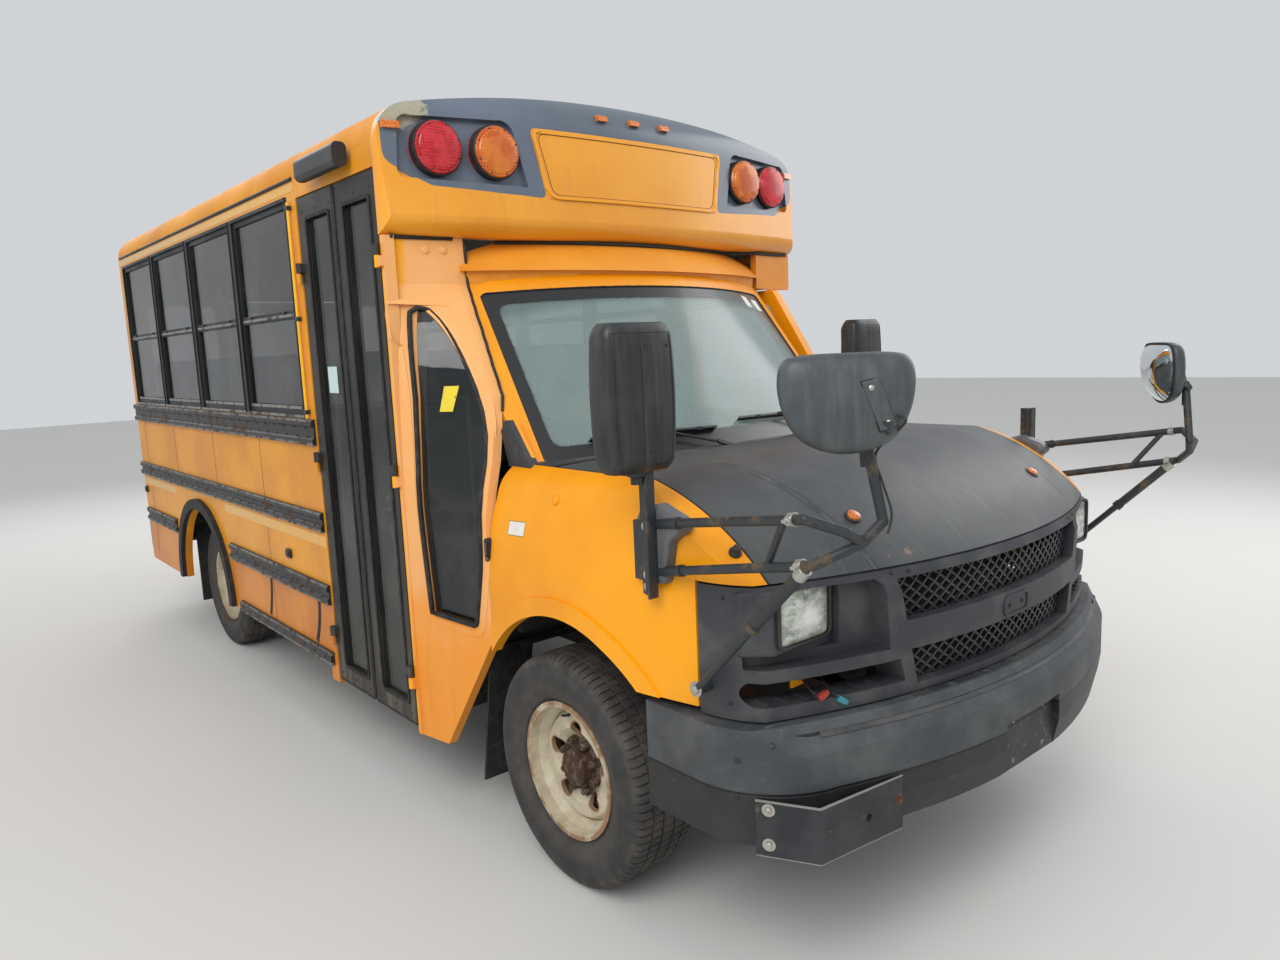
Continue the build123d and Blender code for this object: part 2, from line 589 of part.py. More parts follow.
def lamp_disc(x, s, z, radius, depth, facing=-1):
    """Round lamp with a domed lens, its back at station s."""
    rim = depth * 0.55
    curve = (radius ** 2 + (depth - rim) ** 2) / (2 * (depth - rim))
    half_turn = math.asin(radius / curve) / 2
    bend = (curve * math.sin(half_turn), depth - curve + curve * math.cos(half_turn))
    face = outline((0, 0), (radius, 0), (radius, facing * rim),
                   ((bend[0], facing * bend[1]), (0, facing * depth)))
    centre = (x, FRONT_AXLE_Y + s, z)
    return revolve(Plane(origin=centre, x_dir=(1, 0, 0), z_dir=(0, 0, 1)) * face, Axis(centre, (0, 1, 0)), 360)


def cap_face_s(x):
    """Station of the cap's front curve at a distance from the middle."""
    return CAP_FRONT_S + CAP_R - math.sqrt(CAP_R ** 2 - x ** 2)


def warning_lamps():
    lamps = []
    pod_floor = cap_form(POD_DEPTH - SEAT_GAP)
    for x in LAMP_XS:
        back = cap_face_s(x + LAMP_R) + 16 + POD_DEPTH
        lamp = lamp_disc(x, back, LAMP_Z, LAMP_R, 62) - pod_floor
        lamps += [lamp, flip(lamp)]
        lamp = lamp_disc(x, BODY_REAR_S + SEAT_GAP, 2330, LAMP_R, 40, facing=1)
        lamps += [lamp, flip(lamp)]
    return lamps


def cap_fairing():
    """Curved skirt from the cap down to the head of the windshield."""
    head_s, head_z = GLASS_HEAD
    face = outline((head_s + 12, head_z + 62), ((head_s + 60, head_z + 110), (head_s + 150, CAP_SEAM_Z - SEAT_GAP)),
                   (CAP_SIDE_S - 2, CAP_SEAM_Z - SEAT_GAP), (CAP_SIDE_S - 2, CAP_SEAM_Z - 25),
                   (head_s + 175, CAP_SEAM_Z - 28), ((head_s + 92, head_z + 96), (head_s + 48, head_z + 62)))
    skirt = about_upright(face, head_s + 1900, 34)
    skirt &= block(-796, 796, 400, CAP_SIDE_S - 2, head_z, CAP_SEAM_Z - SEAT_GAP)
    low, mid, top = DRIVER_DOOR_TOP + JOINT_GAP + 2, CAP_SEAM_Z - 30, CAP_SEAM_Z - SEAT_GAP
    side = block(CAB_HALF - 42, BODY_HALF, CAP_SIDE_S - 8, WALL_FRONT_LEFT_S - 6, mid, top)
    side += front_prism(outline((886, low), (922, low), (CAB_HALF - 4, mid + 1), (CAB_HALF - 40, mid + 1)),
                        CAP_SIDE_S - 8, 1402)
    side += plan_prism(outline((800, 748), (BODY_HALF, CAP_SIDE_S - 8), (BODY_HALF, CAP_SIDE_S + 26), (800, 784)),
                       low, top)
    return skirt, side


# Nose

def nose_form(inset):
    """Outer form of the cab's front, drawn in by inset."""
    i = inset
    front = NOSE_FRONT_S
    side = outline((FENDER_REAR_S, 300), (FENDER_REAR_S, 1290 - i), (180, 1318 - i),
                   ((-170, 1356 - i), (-520, 1352 - i)),
                   ((-770, 1262 - i * 0.9), (front + 20 + i * 0.8, HOOD_LIP_Z - i * 0.3)),
                   (front + i, 1040), (front + i + 20, 300))
    axis_s = front + NOSE_R
    form = about_upright(side, axis_s, 60)
    crown = outline((-CAB_HALF + 4 + i, 300), (-CAB_HALF - 1 + i, 930),
                    ((-985 + i, 1120), (-950 + i, 1236)), ((-915 + i * 0.7, 1300 - i * 0.7), (-HOOD_HALF, 1336 - i)),
                    ((0, 1368 - i), (HOOD_HALF, 1336 - i)),
                    ((915 - i * 0.7, 1300 - i * 0.7), (950 - i, 1236)), ((985 - i, 1120), (CAB_HALF + 1 - i, 930)),
                    (CAB_HALF - 4 - i, 300))
    form &= front_prism(crown, -1100, FENDER_REAR_S)
    plan = outline((-CAB_HALF - 4 + i, FENDER_REAR_S), (-CAB_HALF - 4 + i, -150),
                   ((-988 + i, -420), (-950 + i, -610)), ((-925 + i, -715), (-868 + i * 0.8, -800 + i * 0.6)),
                   (-820 + i * 0.8, -1100), (820 - i * 0.8, -1100), (868 - i * 0.8, -800 + i * 0.6),
                   ((925 - i, -715), (950 - i, -610)), ((988 - i, -420), (CAB_HALF + 4 - i, -150)),
                   (CAB_HALF + 4 - i, FENDER_REAR_S))
    return form & plan_prism(plan, 290, 1400)


def set_back(depth):
    """The nose's outer form moved straight back."""
    return Pos(0, depth, 0) * NOSE


def hood_rear_line(shift):
    """Plan face of everything ahead of the hood's rear edge."""
    return outline((-HOOD_HALF - 200, -1200), (HOOD_HALF + 200, -1200),
                   (HOOD_HALF + 200, HOOD_REAR_SIDE_S + 44 + shift),
                   ((0, HOOD_REAR_S + shift), (-HOOD_HALF - 200, HOOD_REAR_SIDE_S + 44 + shift)))


def front_arch():
    """Space cut for the front wheel in whatever the arch passes through."""
    centre = -2 * ARCH_LEAD
    arch = cross_bar(ARCH_R_FRONT, 830, 1100, centre, ARCH_Z_FRONT)
    return arch + block(830, 1100, centre - ARCH_R_FRONT, centre + ARCH_R_FRONT, 200, ARCH_Z_FRONT)


def arch_lip():
    """Raised lip pressed round the front wheel arch."""
    centre = -2 * ARCH_LEAD
    ring = cross_bar(ARCH_R_FRONT + ARCH_LIP, 900, 1100, centre, ARCH_Z_FRONT)
    ring -= cross_bar(ARCH_R_FRONT, 899, 1101, centre, ARCH_Z_FRONT)
    ring &= block(900, 1100, -900, FENDER_REAR_S, 480, HOOD_LIP_Z)
    return (nose_form(-ARCH_PROUD) - NOSE) & ring


def nose_panels():
    """Hood, fenders, cowl and fascia cut from one hollow form."""
    inner = nose_form(SHELL)
    shell = NOSE - inner
    ahead = plan_prism(hood_rear_line(0), 1000, 1450)
    hood = shell & block(-HOOD_HALF, HOOD_HALF, -1100, 300, HOOD_LIP_Z, 1450) & ahead
    cowl = shell & block(-HOOD_HALF, HOOD_HALF, -100, FENDER_REAR_S - 40, 1250, 1450)
    cowl -= plan_prism(hood_rear_line(COWL_GAP), 1000, 1450)
    inside = block(-HOOD_HALF + 10, HOOD_HALF - 10, -100, 300, 1200, 1450)
    behind = plan_prism(hood_rear_line(COWL_GAP + 10), 1000, 1450)
    below = Pos(0, 0, -COWL_DROP - 10) * NOSE
    floor = inside & (behind - plan_prism(hood_rear_line(-20), 1000, 1450))
    floor = (floor & (Pos(0, 0, -COWL_DROP) * NOSE)) - below
    riser = inside & (behind - plan_prism(hood_rear_line(COWL_GAP), 1000, 1450))
    tray = floor + ((riser & NOSE) - below)
    cowl += tray
    for sign in (-1, 1):
        x0, x1 = sorted((sign * 683, sign * 710))
        cowl -= block(x0, x1, 40, 140, 1279, 1345)
    side = HOOD_HALF + JOINT_GAP
    fenders = shell & (block(side, 1100, FASCIA_REAR_S + 6, FENDER_REAR_S, 480, 1450)
                       + block(side, 1100, -900, FASCIA_REAR_S + 7, HOOD_LIP_Z, 1450))
    fenders -= front_arch()
    fenders += arch_lip()
    fenders -= block(side - 30, 1100, -700, -405, 300, BUMPER_TOP + 20)
    thick = NOSE - (set_back(90) & inner)
    fascia = thick & block(-1100, 1100, -1100, FASCIA_REAR_S, FASCIA_BOTTOM, HOOD_LIP_Z - JOINT_GAP)
    return hood, cowl, fenders, fascia


NOSE = nose_form(0)
GRILLE_TOP, GRILLE_BOTTOM = (508.0, 1071.0), (438.0, 770.0)
BAR_LOW, BAR_HIGH = 842.0, 968.0
LAMP_POCKET = outline((534, 884), (915, 884), (922, 1076), ((880, 1084), (840, 1084)), (575, 1080), (552, 1060))
SLOT = outline((480, 785), (900, 785), ((915, 800), (910, 850)), (500, 850))
POCKET_DEPTH = 58.0


def front_fascia(fascia):
    grille_hole = outline((-GRILLE_TOP[0], GRILLE_TOP[1]), (GRILLE_TOP[0], GRILLE_TOP[1]),
                          (GRILLE_BOTTOM[0], GRILLE_BOTTOM[1]), (-GRILLE_BOTTOM[0], GRILLE_BOTTOM[1]))
    hole = front_prism(grille_hole, -1100, -700)
    bar = block(-600, 600, -1100, -700, BAR_LOW, BAR_HIGH)
    fascia -= hole - bar
    pocket = front_prism(LAMP_POCKET, -1100, -560)
    pocket += flip(pocket)
    fascia -= pocket - set_back(POCKET_DEPTH)
    slot = front_prism(SLOT, -1100, -560)
    fascia -= slot + flip(slot)
    return fascia


MESH_PITCH_X, MESH_PITCH_Z = 46.0, 34.0
MESH_BAR = 11.0


def grille():
    """Two curved mesh panels with rows of diamond holes."""
    skin = set_back(42) - set_back(60)
    panels = []
    for low, high in ((GRILLE_BOTTOM[1], BAR_LOW), (BAR_HIGH, GRILLE_TOP[1])):
        def half_width(z):
            share = (z - GRILLE_BOTTOM[1]) / (GRILLE_TOP[1] - GRILLE_BOTTOM[1])
            return GRILLE_BOTTOM[0] + share * (GRILLE_TOP[0] - GRILLE_BOTTOM[0]) - SEAT_GAP
        low, high = low + SEAT_GAP, high - SEAT_GAP
        face = outline((-half_width(low), low), (half_width(low), low), (half_width(high), high),
                       (-half_width(high), high))
        holes = []
        rows = int((high - low - MESH_BAR) // MESH_PITCH_Z)
        for row in range(rows * 2 - 1):
            z = (low + high) / 2 + (row - rows + 1) * MESH_PITCH_Z / 2
            columns = int((half_width(z) * 2 - MESH_PITCH_X) // MESH_PITCH_X)
            shift = 0.5 if row % 2 else 0.0
            for column in range(columns - row % 2):
                x = (column + shift - (columns - 1) / 2) * MESH_PITCH_X
                a, b = MESH_PITCH_X / 2 - MESH_BAR * 0.8, MESH_PITCH_Z / 2 - MESH_BAR * 0.6
                holes.append(outline((x - a, z), (x, z - b), (x + a, z), (x, z + b)))
        face -= holes
        panels.append(skin & front_prism(face, -1100, -700))
    return panels


def headlamps():
    face = outline((700, 968), ((704, 958), (720, 955)), (860, 962), ((878, 966), (880, 985)),
                   (884, 1085), ((880, 1098), (868, 1100)), (716, 1094), ((702, 1090), (700, 1078)))
    lamp = front_prism(face, -1000, -560)
    lamp &= set_back(12) - set_back(POCKET_DEPTH - SEAT_GAP)
    lamp &= block(600, 930, -1000, -560, 950, 1079)
    return [lamp, flip(lamp)]


def bumper_plan(inset):
    """Plan outline of the front bumper, closed far behind."""
    i = inset
    r = NOSE_R
    reach = 760.0
    edge = BUMPER_FRONT_S + r - math.sqrt(r ** 2 - reach ** 2) + i
    half = 985.0 - i
    return outline((-half, -430), (-half, -640), ((-half + 38, -770 + i * 0.3), (-reach, edge)),
                   ((0, BUMPER_FRONT_S + i), (reach, edge)), ((half - 38, -770 + i * 0.3), (half, -640)),
                   (half, -430))


def front_bumper():
    """Bent bumper with a top step and a lower face that leans back."""
    bar = plan_prism(bumper_plan(0), BUMPER_BOTTOM, BUMPER_TOP)
    lean = outline((BUMPER_FRONT_S - 10, 560), (BUMPER_FRONT_S - 10, 400), (BUMPER_FRONT_S + 26, 400))
    bar -= plan_prism(bumper_plan(30), BUMPER_BOTTOM - 1, BUMPER_TOP - 24)
    bar -= plan_prism(bumper_plan(105), BUMPER_BOTTOM - 1, BUMPER_TOP + 1)
    bar -= about_upright(lean, BUMPER_FRONT_S + NOSE_R, 30)
    chamfer = outline((BUMPER_FRONT_S - 10, 660), (BUMPER_FRONT_S - 10, 760), (BUMPER_FRONT_S + 52, 760),
                      (BUMPER_FRONT_S + 30, 716))
    bar -= about_upright(chamfer, BUMPER_FRONT_S + NOSE_R, 30)
    face, edge = BUMPER_FRONT_S + PLATE_SET, PLATE_HALF + 8
    bar += block(-edge, edge, face, face + 26, PLATE_Z - 78, PLATE_Z + 86)
    bar -= block(-PLATE_HALF, PLATE_HALF, face - 40, face, PLATE_Z - 90, PLATE_Z + 80)
    for x in (-PLATE_HOLES[0] / 2, PLATE_HOLES[0] / 2):
        for z in (PLATE_Z - PLATE_HOLES[1] / 2, PLATE_Z + PLATE_HOLES[1] / 2):
            bar -= rod((x, BUMPER_FRONT_S - 60, z), (x, BUMPER_FRONT_S + 60, z), PLATE_HOLE_R)
    for sign in (-1, 1):
        x0, x1 = sorted((sign * (RAIL_X - RAIL_WIDTH), sign * RAIL_X))
        bar += block(x0, x1, BUMPER_FRONT_S + 60, -760 - SEAT_GAP, GROUND_FRAME + 20, GROUND_FRAME + 120)
    return bar


PLATE_HOLES = (178.0, 121.0)
PLATE_HOLE_R = 4.0
PLATE_Z = 520.0
PLATE_HALF, PLATE_SET = 158.0, 25.0     # flat recess for the number plate


def gate_bracket():
    """Bent steel plate left on the bumper where a crossing gate was mounted."""
    thick = 5.0
    corner_a, fold, corner_b = (-946.0, -794.0), (-868.0, -940.0), (-575.0, -975.6)
    plan = outline(corner_a, fold, corner_b, (corner_b[0], corner_b[1] + thick),
                   (fold[0] + thick, fold[1] + thick * 1.4), (corner_a[0] + thick * 1.2, corner_a[1] + thick))
    plate = plan_prism(plan, 418, 566)
    hole = rod((-700, -1060, 490), (-700, -900, 490), 10)
    return plate - hole


def glass_plane():
    """Plane of the windshield's chord: local x across, local y up the slope."""
    run, rise = GLASS_HEAD[0] - GLASS_FOOT[0], GLASS_HEAD[1] - GLASS_FOOT[1]
    size = math.hypot(run, rise)
    return Plane(origin=(0, FRONT_AXLE_Y + GLASS_FOOT[0], GLASS_FOOT[1]), x_dir=(1, 0, 0),
                 z_dir=(0, -rise / size, run / size))


def glass_layer(outer, inner):
    """Curved layer parallel to the windshield, between two depths below its outer face."""
    plane = glass_plane()
    long = 1400.0
    tube_axis = plane * Pos(0, 300, -GLASS_R) * Rot(90, 0, 0)
    full = tube_axis * Cylinder(GLASS_R - outer, long)
    return full - tube_axis * Cylinder(GLASS_R - inner, long + 2)


def glass_outline(margin, low_margin):
    m, n = margin, low_margin
    return outline((-806 - m, 104 - n), ((0, -2 - n), (806 + m, 104 - n)), (752 + m, 846 + m),
                   ((735 + m * 0.7, 858 + m), (715 + m, 856 + m)), ((0, 777 + m), (-715 - m, 856 + m)),
                   ((-735 - m * 0.7, 858 + m), (-752 - m, 846 + m)))


def windshield():
    cutter = extrude(glass_plane() * glass_outline(-SEAT_GAP, -SEAT_GAP), 200, both=True)
    return glass_layer(0, GLASS_THICK) & cutter


PILLAR_DEPTH = 46.0


def cab_frame(cowl):
    """Windshield surround and cowl, with firewall, toe board, wheelhouses, engine cover and sill."""
    layer = glass_layer(-6, PILLAR_DEPTH)
    ring = layer & extrude(glass_plane() * glass_outline(66, 40), 260, both=True)
    ring &= block(-1100, 1100, -100, CAP_SIDE_S - 14, 1290, CAP_SEAM_Z - 30)
    ring -= NOSE & (block(HOOD_HALF, 1100, -900, FENDER_REAR_S, 480, 1450)
                    + block(-1100, -HOOD_HALF, -900, FENDER_REAR_S, 480, 1450))
    left_sail = side_prism(outline((212, 1322), (394, 1322), (482, 1570), (452, 1570)), 866, 906)
    right_sail = side_prism(outline((226, 1322), (362, 1322), (400, 1440), (372, 1478), (352, 1478)), -884, -848)
    foot = side_prism(outline((200, 1300), (335, 1300), (335, 1330), (200, 1330)), 800, 862)
    upper = cowl + ring + left_sail + right_sail + both(foot)
    upper -= extrude(glass_plane() * glass_outline(0, 0), 300, both=True)
    upper -= nose_form(-SEAT_GAP) & (block(HOOD_HALF + JOINT_GAP, 1100, -900, FENDER_REAR_S, 480, 1400)
                               + block(-1100, -HOOD_HALF - JOINT_GAP, -900, FENDER_REAR_S, 480, 1400))
    wall_s, low, plate = FIREWALL_S, CAB_FLOOR_Z, 22.0
    house_x, house_s, house_z = 560.0, 430.0, 772.0
    lower = block(-940, 940, wall_s, wall_s + plate, house_z, 1312)
    lower += block(-house_x, house_x, wall_s, wall_s + plate, low, house_z + 1)
    lower &= nose_form(SHELL + SEAT_GAP)
    lower += block(-FLOOR_DOOR_X, FLOOR_DOOR_X, wall_s, CAP_SIDE_S - SEAT_GAP, low, low + plate)
    lower -= block(-970, -STEP_X + PLATE + 5, STEP_FRONT_S - PLATE - 5, CAP_SIDE_S + 10, low - 10, low + 40)
    for sign in (-1, 1):
        x0, x1 = sorted((sign * house_x, sign * FLOOR_DOOR_X))
        lower += block(x0, x1, wall_s, house_s + plate, low, house_z + plate)
        x0, x1 = sorted((sign * (house_x + plate), sign * (FLOOR_DOOR_X + 1)))
        lower -= block(x0, x1, wall_s - 1, house_s, low - 1, house_z)
    lower += block(-352, 352, wall_s, 502, low, 1142)
    lower -= block(-330, 330, wall_s - 10, 480, low - 10, 1120)
    for sign in (-1, 1):
        x0, x1 = sorted((sign * (RAIL_X - RAIL_WIDTH), sign * RAIL_X))
        lower += block(x0, x1, 520, 600, RAIL_TOP + SEAT_GAP, low + 1)
    lower += block(FLOOR_DOOR_X - plate, FLOOR_DOOR_X, 470, 1402, 436, low + plate)
    lower += block(FLOOR_DOOR_X - plate, 980, 470, 1402, 436, 492)
    frame = upper + lower
    for x in (-730, 710):
        bracket = block(x, x + 20, 108, FIREWALL_S + 4, 1262, 1312)
        frame += bracket
        frame -= cross_bar(PIN_R + SEAT_GAP, x - 1, x + 21, *HOOD_HINGE)
    return frame


def hood_with_hinges(hood):
    for sign in (-1, 1):
        x0, x1 = sorted((sign * 690, sign * 704))
        hood += block(x0, x1, 20, 128, HOOD_HINGE[1] - 10, HOOD_HINGE[1] + 10)
        hood += block(x0, x1, 0, 70, HOOD_HINGE[1] - 10, 1322)
        x0, x1 = sorted((sign * 690, sign * 729))
        hood += cross_bar(PIN_R, x0, x1, *HOOD_HINGE)
    return hood


# Cab sides

PANEL_THICK = 34.0
# Front edge of the moulded panel as (x, s, z), up the cab's side and the pillar
PANEL_FRONT = ((-CAB_HALF, FENDER_REAR_S + 3, 1090), (-998, FENDER_REAR_S + 6, 1170), (-978, 352, 1250),
               (-942, 374, 1340), (-906, 408, 1450), (-872, 454, 1560), (-806, 752, 1960),
               (-800, 768, CAP_SEAM_Z - SEAT_GAP))
QUARTER = outline((655, 790), (708, 1560), (754, 1868), ((753, 1880), (744, 1872)), (520, 1580),
                  ((426, 1420), (379, 1240)), ((367, 1100), (375, 980)), (412, 792), ((418, 781), (430, 778)))


def transition_shape(inset, thick):
    """Moulded panel between the cab's side and the entrance post, drawn in by inset."""
    rear = (-BODY_HALF + inset, CAP_SIDE_S - 8)

    def corners(x, s):
        return ((x + inset, s), rear, (rear[0] + thick, rear[1]), (x + inset + thick, s))
    x, s, z = PANEL_FRONT[0]
    shape = plan_prism(outline(*corners(x, s)), POST_BOTTOM, z)
    for low, high in zip(PANEL_FRONT, PANEL_FRONT[1:]):
        sections = [Pos(0, FRONT_AXLE_Y, z) * outline(*corners(x, s)) for x, s, z in (low, high)]
        shape += loft(sections, ruled=True)
    return shape


def transition_right():
    panel = transition_shape(0, PANEL_THICK)
    lower = outline((FENDER_REAR_S, 250), (650, 250), (FENDER_REAR_S, 745))
    panel -= side_prism(lower, -1200, -800)
    panel -= side_prism(QUARTER, -1200, -700)
    panel += block(-BODY_HALF, -BODY_HALF + WALL, CAP_SIDE_S - 34, CAP_SIDE_S - 8, POST_BOTTOM, CAP_SEAM_Z - SEAT_GAP)
    return panel


def quarter_window():
    return transition_shape(14, 6) & side_prism(offset(QUARTER, -SEAT_GAP), -1200, -700)


def transition_left():
    """Corner panel from behind the driver's door out to the body wall."""
    thick = 34.0
    face = outline((CAB_HALF - 42, 1404), (CAB_HALF - 4, 1404), (BODY_HALF, WALL_FRONT_LEFT_S - 6),
                   (BODY_HALF, WALL_FRONT_LEFT_S - SEAT_GAP), (BODY_HALF - WALL, WALL_FRONT_LEFT_S - SEAT_GAP),
                   (BODY_HALF - thick - 30, WALL_FRONT_LEFT_S - SEAT_GAP - 2))
    return plan_prism(face, SKIRT_BOTTOM, CAP_SEAM_Z - 31)


DRIVER_DOOR_SIDE = outline((DOOR_FRONT_S, 500), (DOOR_FRONT_S, 1318), (705, DRIVER_DOOR_TOP - 25),
                           ((725, DRIVER_DOOR_TOP - 2), (760, DRIVER_DOOR_TOP)),
                           (1350, DRIVER_DOOR_TOP), ((1385, DRIVER_DOOR_TOP - 5), (DRIVER_DOOR_REAR_S, DRIVER_DOOR_TOP - 45)),
                           (DRIVER_DOOR_REAR_S, 500))
DRIVER_WINDOW = outline((470, 1360), (745, 1865), ((760, 1882), (785, 1885)), (1310, 1885),
                        ((1325, 1880), (1330, 1865)), (1330, 1360))


def driver_door():
    """Leaning door with its window cut, and the pane in it."""
    def section(outer, inner):
        a, b = outer, inner
        return outline((CAB_HALF - 22 - a, 500), (CAB_HALF - 2 - a, 900), (CAB_HALF - 2 - a, 1180), (922 - a, 1955),
                       (922 - b, 1955), (CAB_HALF - 2 - b, 1180), (CAB_HALF - 2 - b, 900), (CAB_HALF - 22 - b, 500))
    door = front_prism(section(0, 44), DOOR_FRONT_S, DRIVER_DOOR_REAR_S)
    door &= side_prism(DRIVER_DOOR_SIDE, 800, 1100)
    door -= side_prism(DRIVER_WINDOW, 800, 1100)
    door -= front_arch()
    pane = front_prism(section(16, 22), DOOR_FRONT_S, DRIVER_DOOR_REAR_S)
    pane &= side_prism(offset(DRIVER_WINDOW, -SEAT_GAP), 800, 1100)
    return door, pane




def entry_leaf(s0, s1, pane_s0, pane_s1):
    """One leaf of the entrance door and its tall pane."""
    x0, x1 = -BODY_HALF + LEAF_OUT, -BODY_HALF + LEAF_IN
    leaf = block(x0, x1, s0, s1, DOOR_BOTTOM, WINDOW_TOP - 16)
    leaf -= block(x0 - 1, x1 + 1, pane_s0, pane_s1, DOOR_BOTTOM + 70, WINDOW_TOP - 100)
    pane = block(x0 + 12, x0 + 18, pane_s0 + SEAT_GAP, pane_s1 - SEAT_GAP,
                 DOOR_BOTTOM + 70 + SEAT_GAP, WINDOW_TOP - 100 - SEAT_GAP)
    return leaf, pane


# Trim and outside pieces

RAIL_PROUD = 18.0
# Rails as start station, end station, low z, high z
RIGHT_RAILS = ((DOOR_REAR_S + 16, BODY_REAR_S - 4, 1348, 1458),
               (DOOR_REAR_S + 16, BODY_REAR_S - 4, 972, 1058),
               (DOOR_REAR_S + 16, REAR_AXLE_S - ARCH_LEAD - 562, 650, 738),
               (REAR_AXLE_S - ARCH_LEAD + 562, BODY_REAR_S - 40, 650, 738),
               (DOOR_REAR_S + 40, REAR_AXLE_S - 690, 372, 430))


def rub_rails():
    rails = []
    for s0, s1, z0, z1 in RIGHT_RAILS:
        section = outline((0, z0), (RAIL_PROUD * 0.5, z0), (RAIL_PROUD, z0 + 12), (RAIL_PROUD, z0 + 26),
                          (RAIL_PROUD * 0.45, z0 + 34), (RAIL_PROUD * 0.45, z1 - 34),
                          (RAIL_PROUD, z1 - 26), (RAIL_PROUD, z1 - 12), (RAIL_PROUD * 0.5, z1), (0, z1))
        if z1 - z0 < 70:
            section = outline((0, z0), (RAIL_PROUD * 0.5, z0), (RAIL_PROUD, z0 + 12),
                              (RAIL_PROUD, z1 - 12), (RAIL_PROUD * 0.5, z1), (0, z1))
        rail = front_prism(Pos(BODY_HALF, 0, 0) * section, s0, s1)
        rails += [flip(rail), rail]
    return rails


def rubber_guards():
    """Rubber strips round the rear arches and the mud flaps."""
    centre = REAR_AXLE_S - ARCH_LEAD
    outer_r = ARCH_R_REAR + FENDERETTE
    ring = outline((centre - outer_r, 372), (centre - outer_r, ARCH_Z), ((centre, ARCH_Z + outer_r), (centre + outer_r, ARCH_Z)),
                   (centre + outer_r, 372), (centre + ARCH_R_REAR, 372), (centre + ARCH_R_REAR, ARCH_Z),
                   ((centre, ARCH_Z + ARCH_R_REAR), (centre - ARCH_R_REAR, ARCH_Z)), (centre - ARCH_R_REAR, 372))
    strip = side_prism(ring, BODY_HALF, BODY_HALF + 26)
    flaps = []
    for reach in (-975, FLOOR_DOOR_X - 25):
        x0, x1 = sorted((math.copysign(800, reach), reach))
        flap = side_prism(outline((408, CAB_FLOOR_Z - SEAT_GAP), (418, CAB_FLOOR_Z - SEAT_GAP), (520, 170), (510, 170)), x0, x1)
        x0, x1 = sorted((math.copysign(RAIL_X + SEAT_GAP, reach), reach))
        flaps.append(flap + block(x0, x1, 414, 430, 664, CAB_FLOOR_Z - SEAT_GAP))
    rear_flap = block(760, 1000, REAR_AXLE_S + 470, REAR_AXLE_S + 480, 190, FLOOR_TOP - FLOOR_THICK - SEAT_GAP)
    return [strip, flip(strip), rear_flap, flip(rear_flap)] + flaps


def rear_bumper():
    bar = block(-1060, 1060, TAIL_S - 60, TAIL_S, 430, 640)
    bar -= block(-1100, 1100, TAIL_S - 61, TAIL_S - 12, 445, 625)
    for sign in (-1, 1):
        x0, x1 = sorted((sign * (RAIL_X - RAIL_WIDTH), sign * RAIL_X))
        bar += block(x0, x1, BODY_REAR_S - 60 + SEAT_GAP, TAIL_S - 5, GROUND_FRAME + 10, GROUND_FRAME + 104)
    return bar


MARKER_PROUD = 14.0


def small_lamps():
    """Clearance lamps on the cap and tail, tail lamps, and the box lamp over the entrance."""
    lamps = []
    skin = cap_form(-MARKER_PROUD) - cap_form(-SEAT_GAP)
    for x in (-165, 0, 165):
        lamps.append(skin & block(x - 24, x + 24, 600, 760, 2592, 2614))
    corner = skin & block(-1064, -1004, 600, 790, 2484, 2508)
    lamps += [corner, flip(corner)]
    tail = BODY_REAR_S + SEAT_GAP
    for x in (-165, 0, 165):
        lamps.append(block(x - 30, x + 30, tail, tail + 18, 2500, 2520))
    for sign in (-1, 1):
        lamps.append(lamp_disc(sign * 905, tail, 1330, 88, 30, facing=1))
        lamps.append(lamp_disc(sign * 905, tail, 1090, 88, 30, facing=1))
        lamps.append(lamp_disc(sign * 905, tail, 880, 52, 24, facing=1))
    return lamps


def entry_lamp():
    """Box lamp on a bracket over the entrance."""
    outer, inner = -BODY_HALF - 75, -BODY_HALF - 19
    body = block(outer, inner, 960, 1330, 2385, 2470)
    body = fillet(body.edges().filter_by(Axis.Y), 22)
    arm = block(inner - 1, -BODY_HALF - SEAT_GAP, 1060, 1100, 2405, 2435)
    return body + arm


# Mirrors, as seen on the door side; the driver's side mirrors the arms
HEAD_IN = CAB_HALF - 80     # inner edge of the flat mirror ahead of the cab
HEAD_W, HEAD_H, HEAD_D = MIRROR_HALF - HEAD_IN, 375.0, 105.0
BIG_MIRROR = (MIRROR_HALF - HEAD_W / 2, -500.0, 1578.0)
ARM_REACH = 91.0            # arms end this far behind the foremost mirror
CROSS_R, CROSS_CURVE, CROSS_SET = 145.0, 235.0, 172.0


def big_head(x, s, z, width=HEAD_W):
    head = block(x - width / 2, x + width / 2, s - HEAD_D / 2, s + HEAD_D / 2, z - HEAD_H / 2, z + HEAD_H / 2)
    return fillet(head.edges().filter_by(Axis.Z) + head.edges().filter_by(Axis.Y), 28)


def cross_head(x, s, z, grow=0.0):
    """Domed half-round mirror, its black back turned forward and outward."""
    back = Vector(math.copysign(0.62, x), -0.78, 0.08).normalized()
    plane = Plane(origin=(x, FRONT_AXLE_Y + s, z), x_dir=(0.78, math.copysign(0.62, x), 0), z_dir=back)
    r, curve = CROSS_R, CROSS_CURVE + grow
    face = outline((-r, 30), ((-r * 0.92, 78), (-r * 0.62, 88)), (r * 0.62, 88), ((r * 0.92, 78), (r, 30)),
                   ((r * 0.72, -86), (0, -122)), ((-r * 0.72, -86), (-r, 30)))
    if grow:
        face = offset(face, grow)
    lens = Pos(0, 0, CROSS_SET) * Sphere(curve) & Pos(0, 0, -CROSS_SET) * Sphere(curve)
    return plane * (lens & extrude(face, 90, both=True))


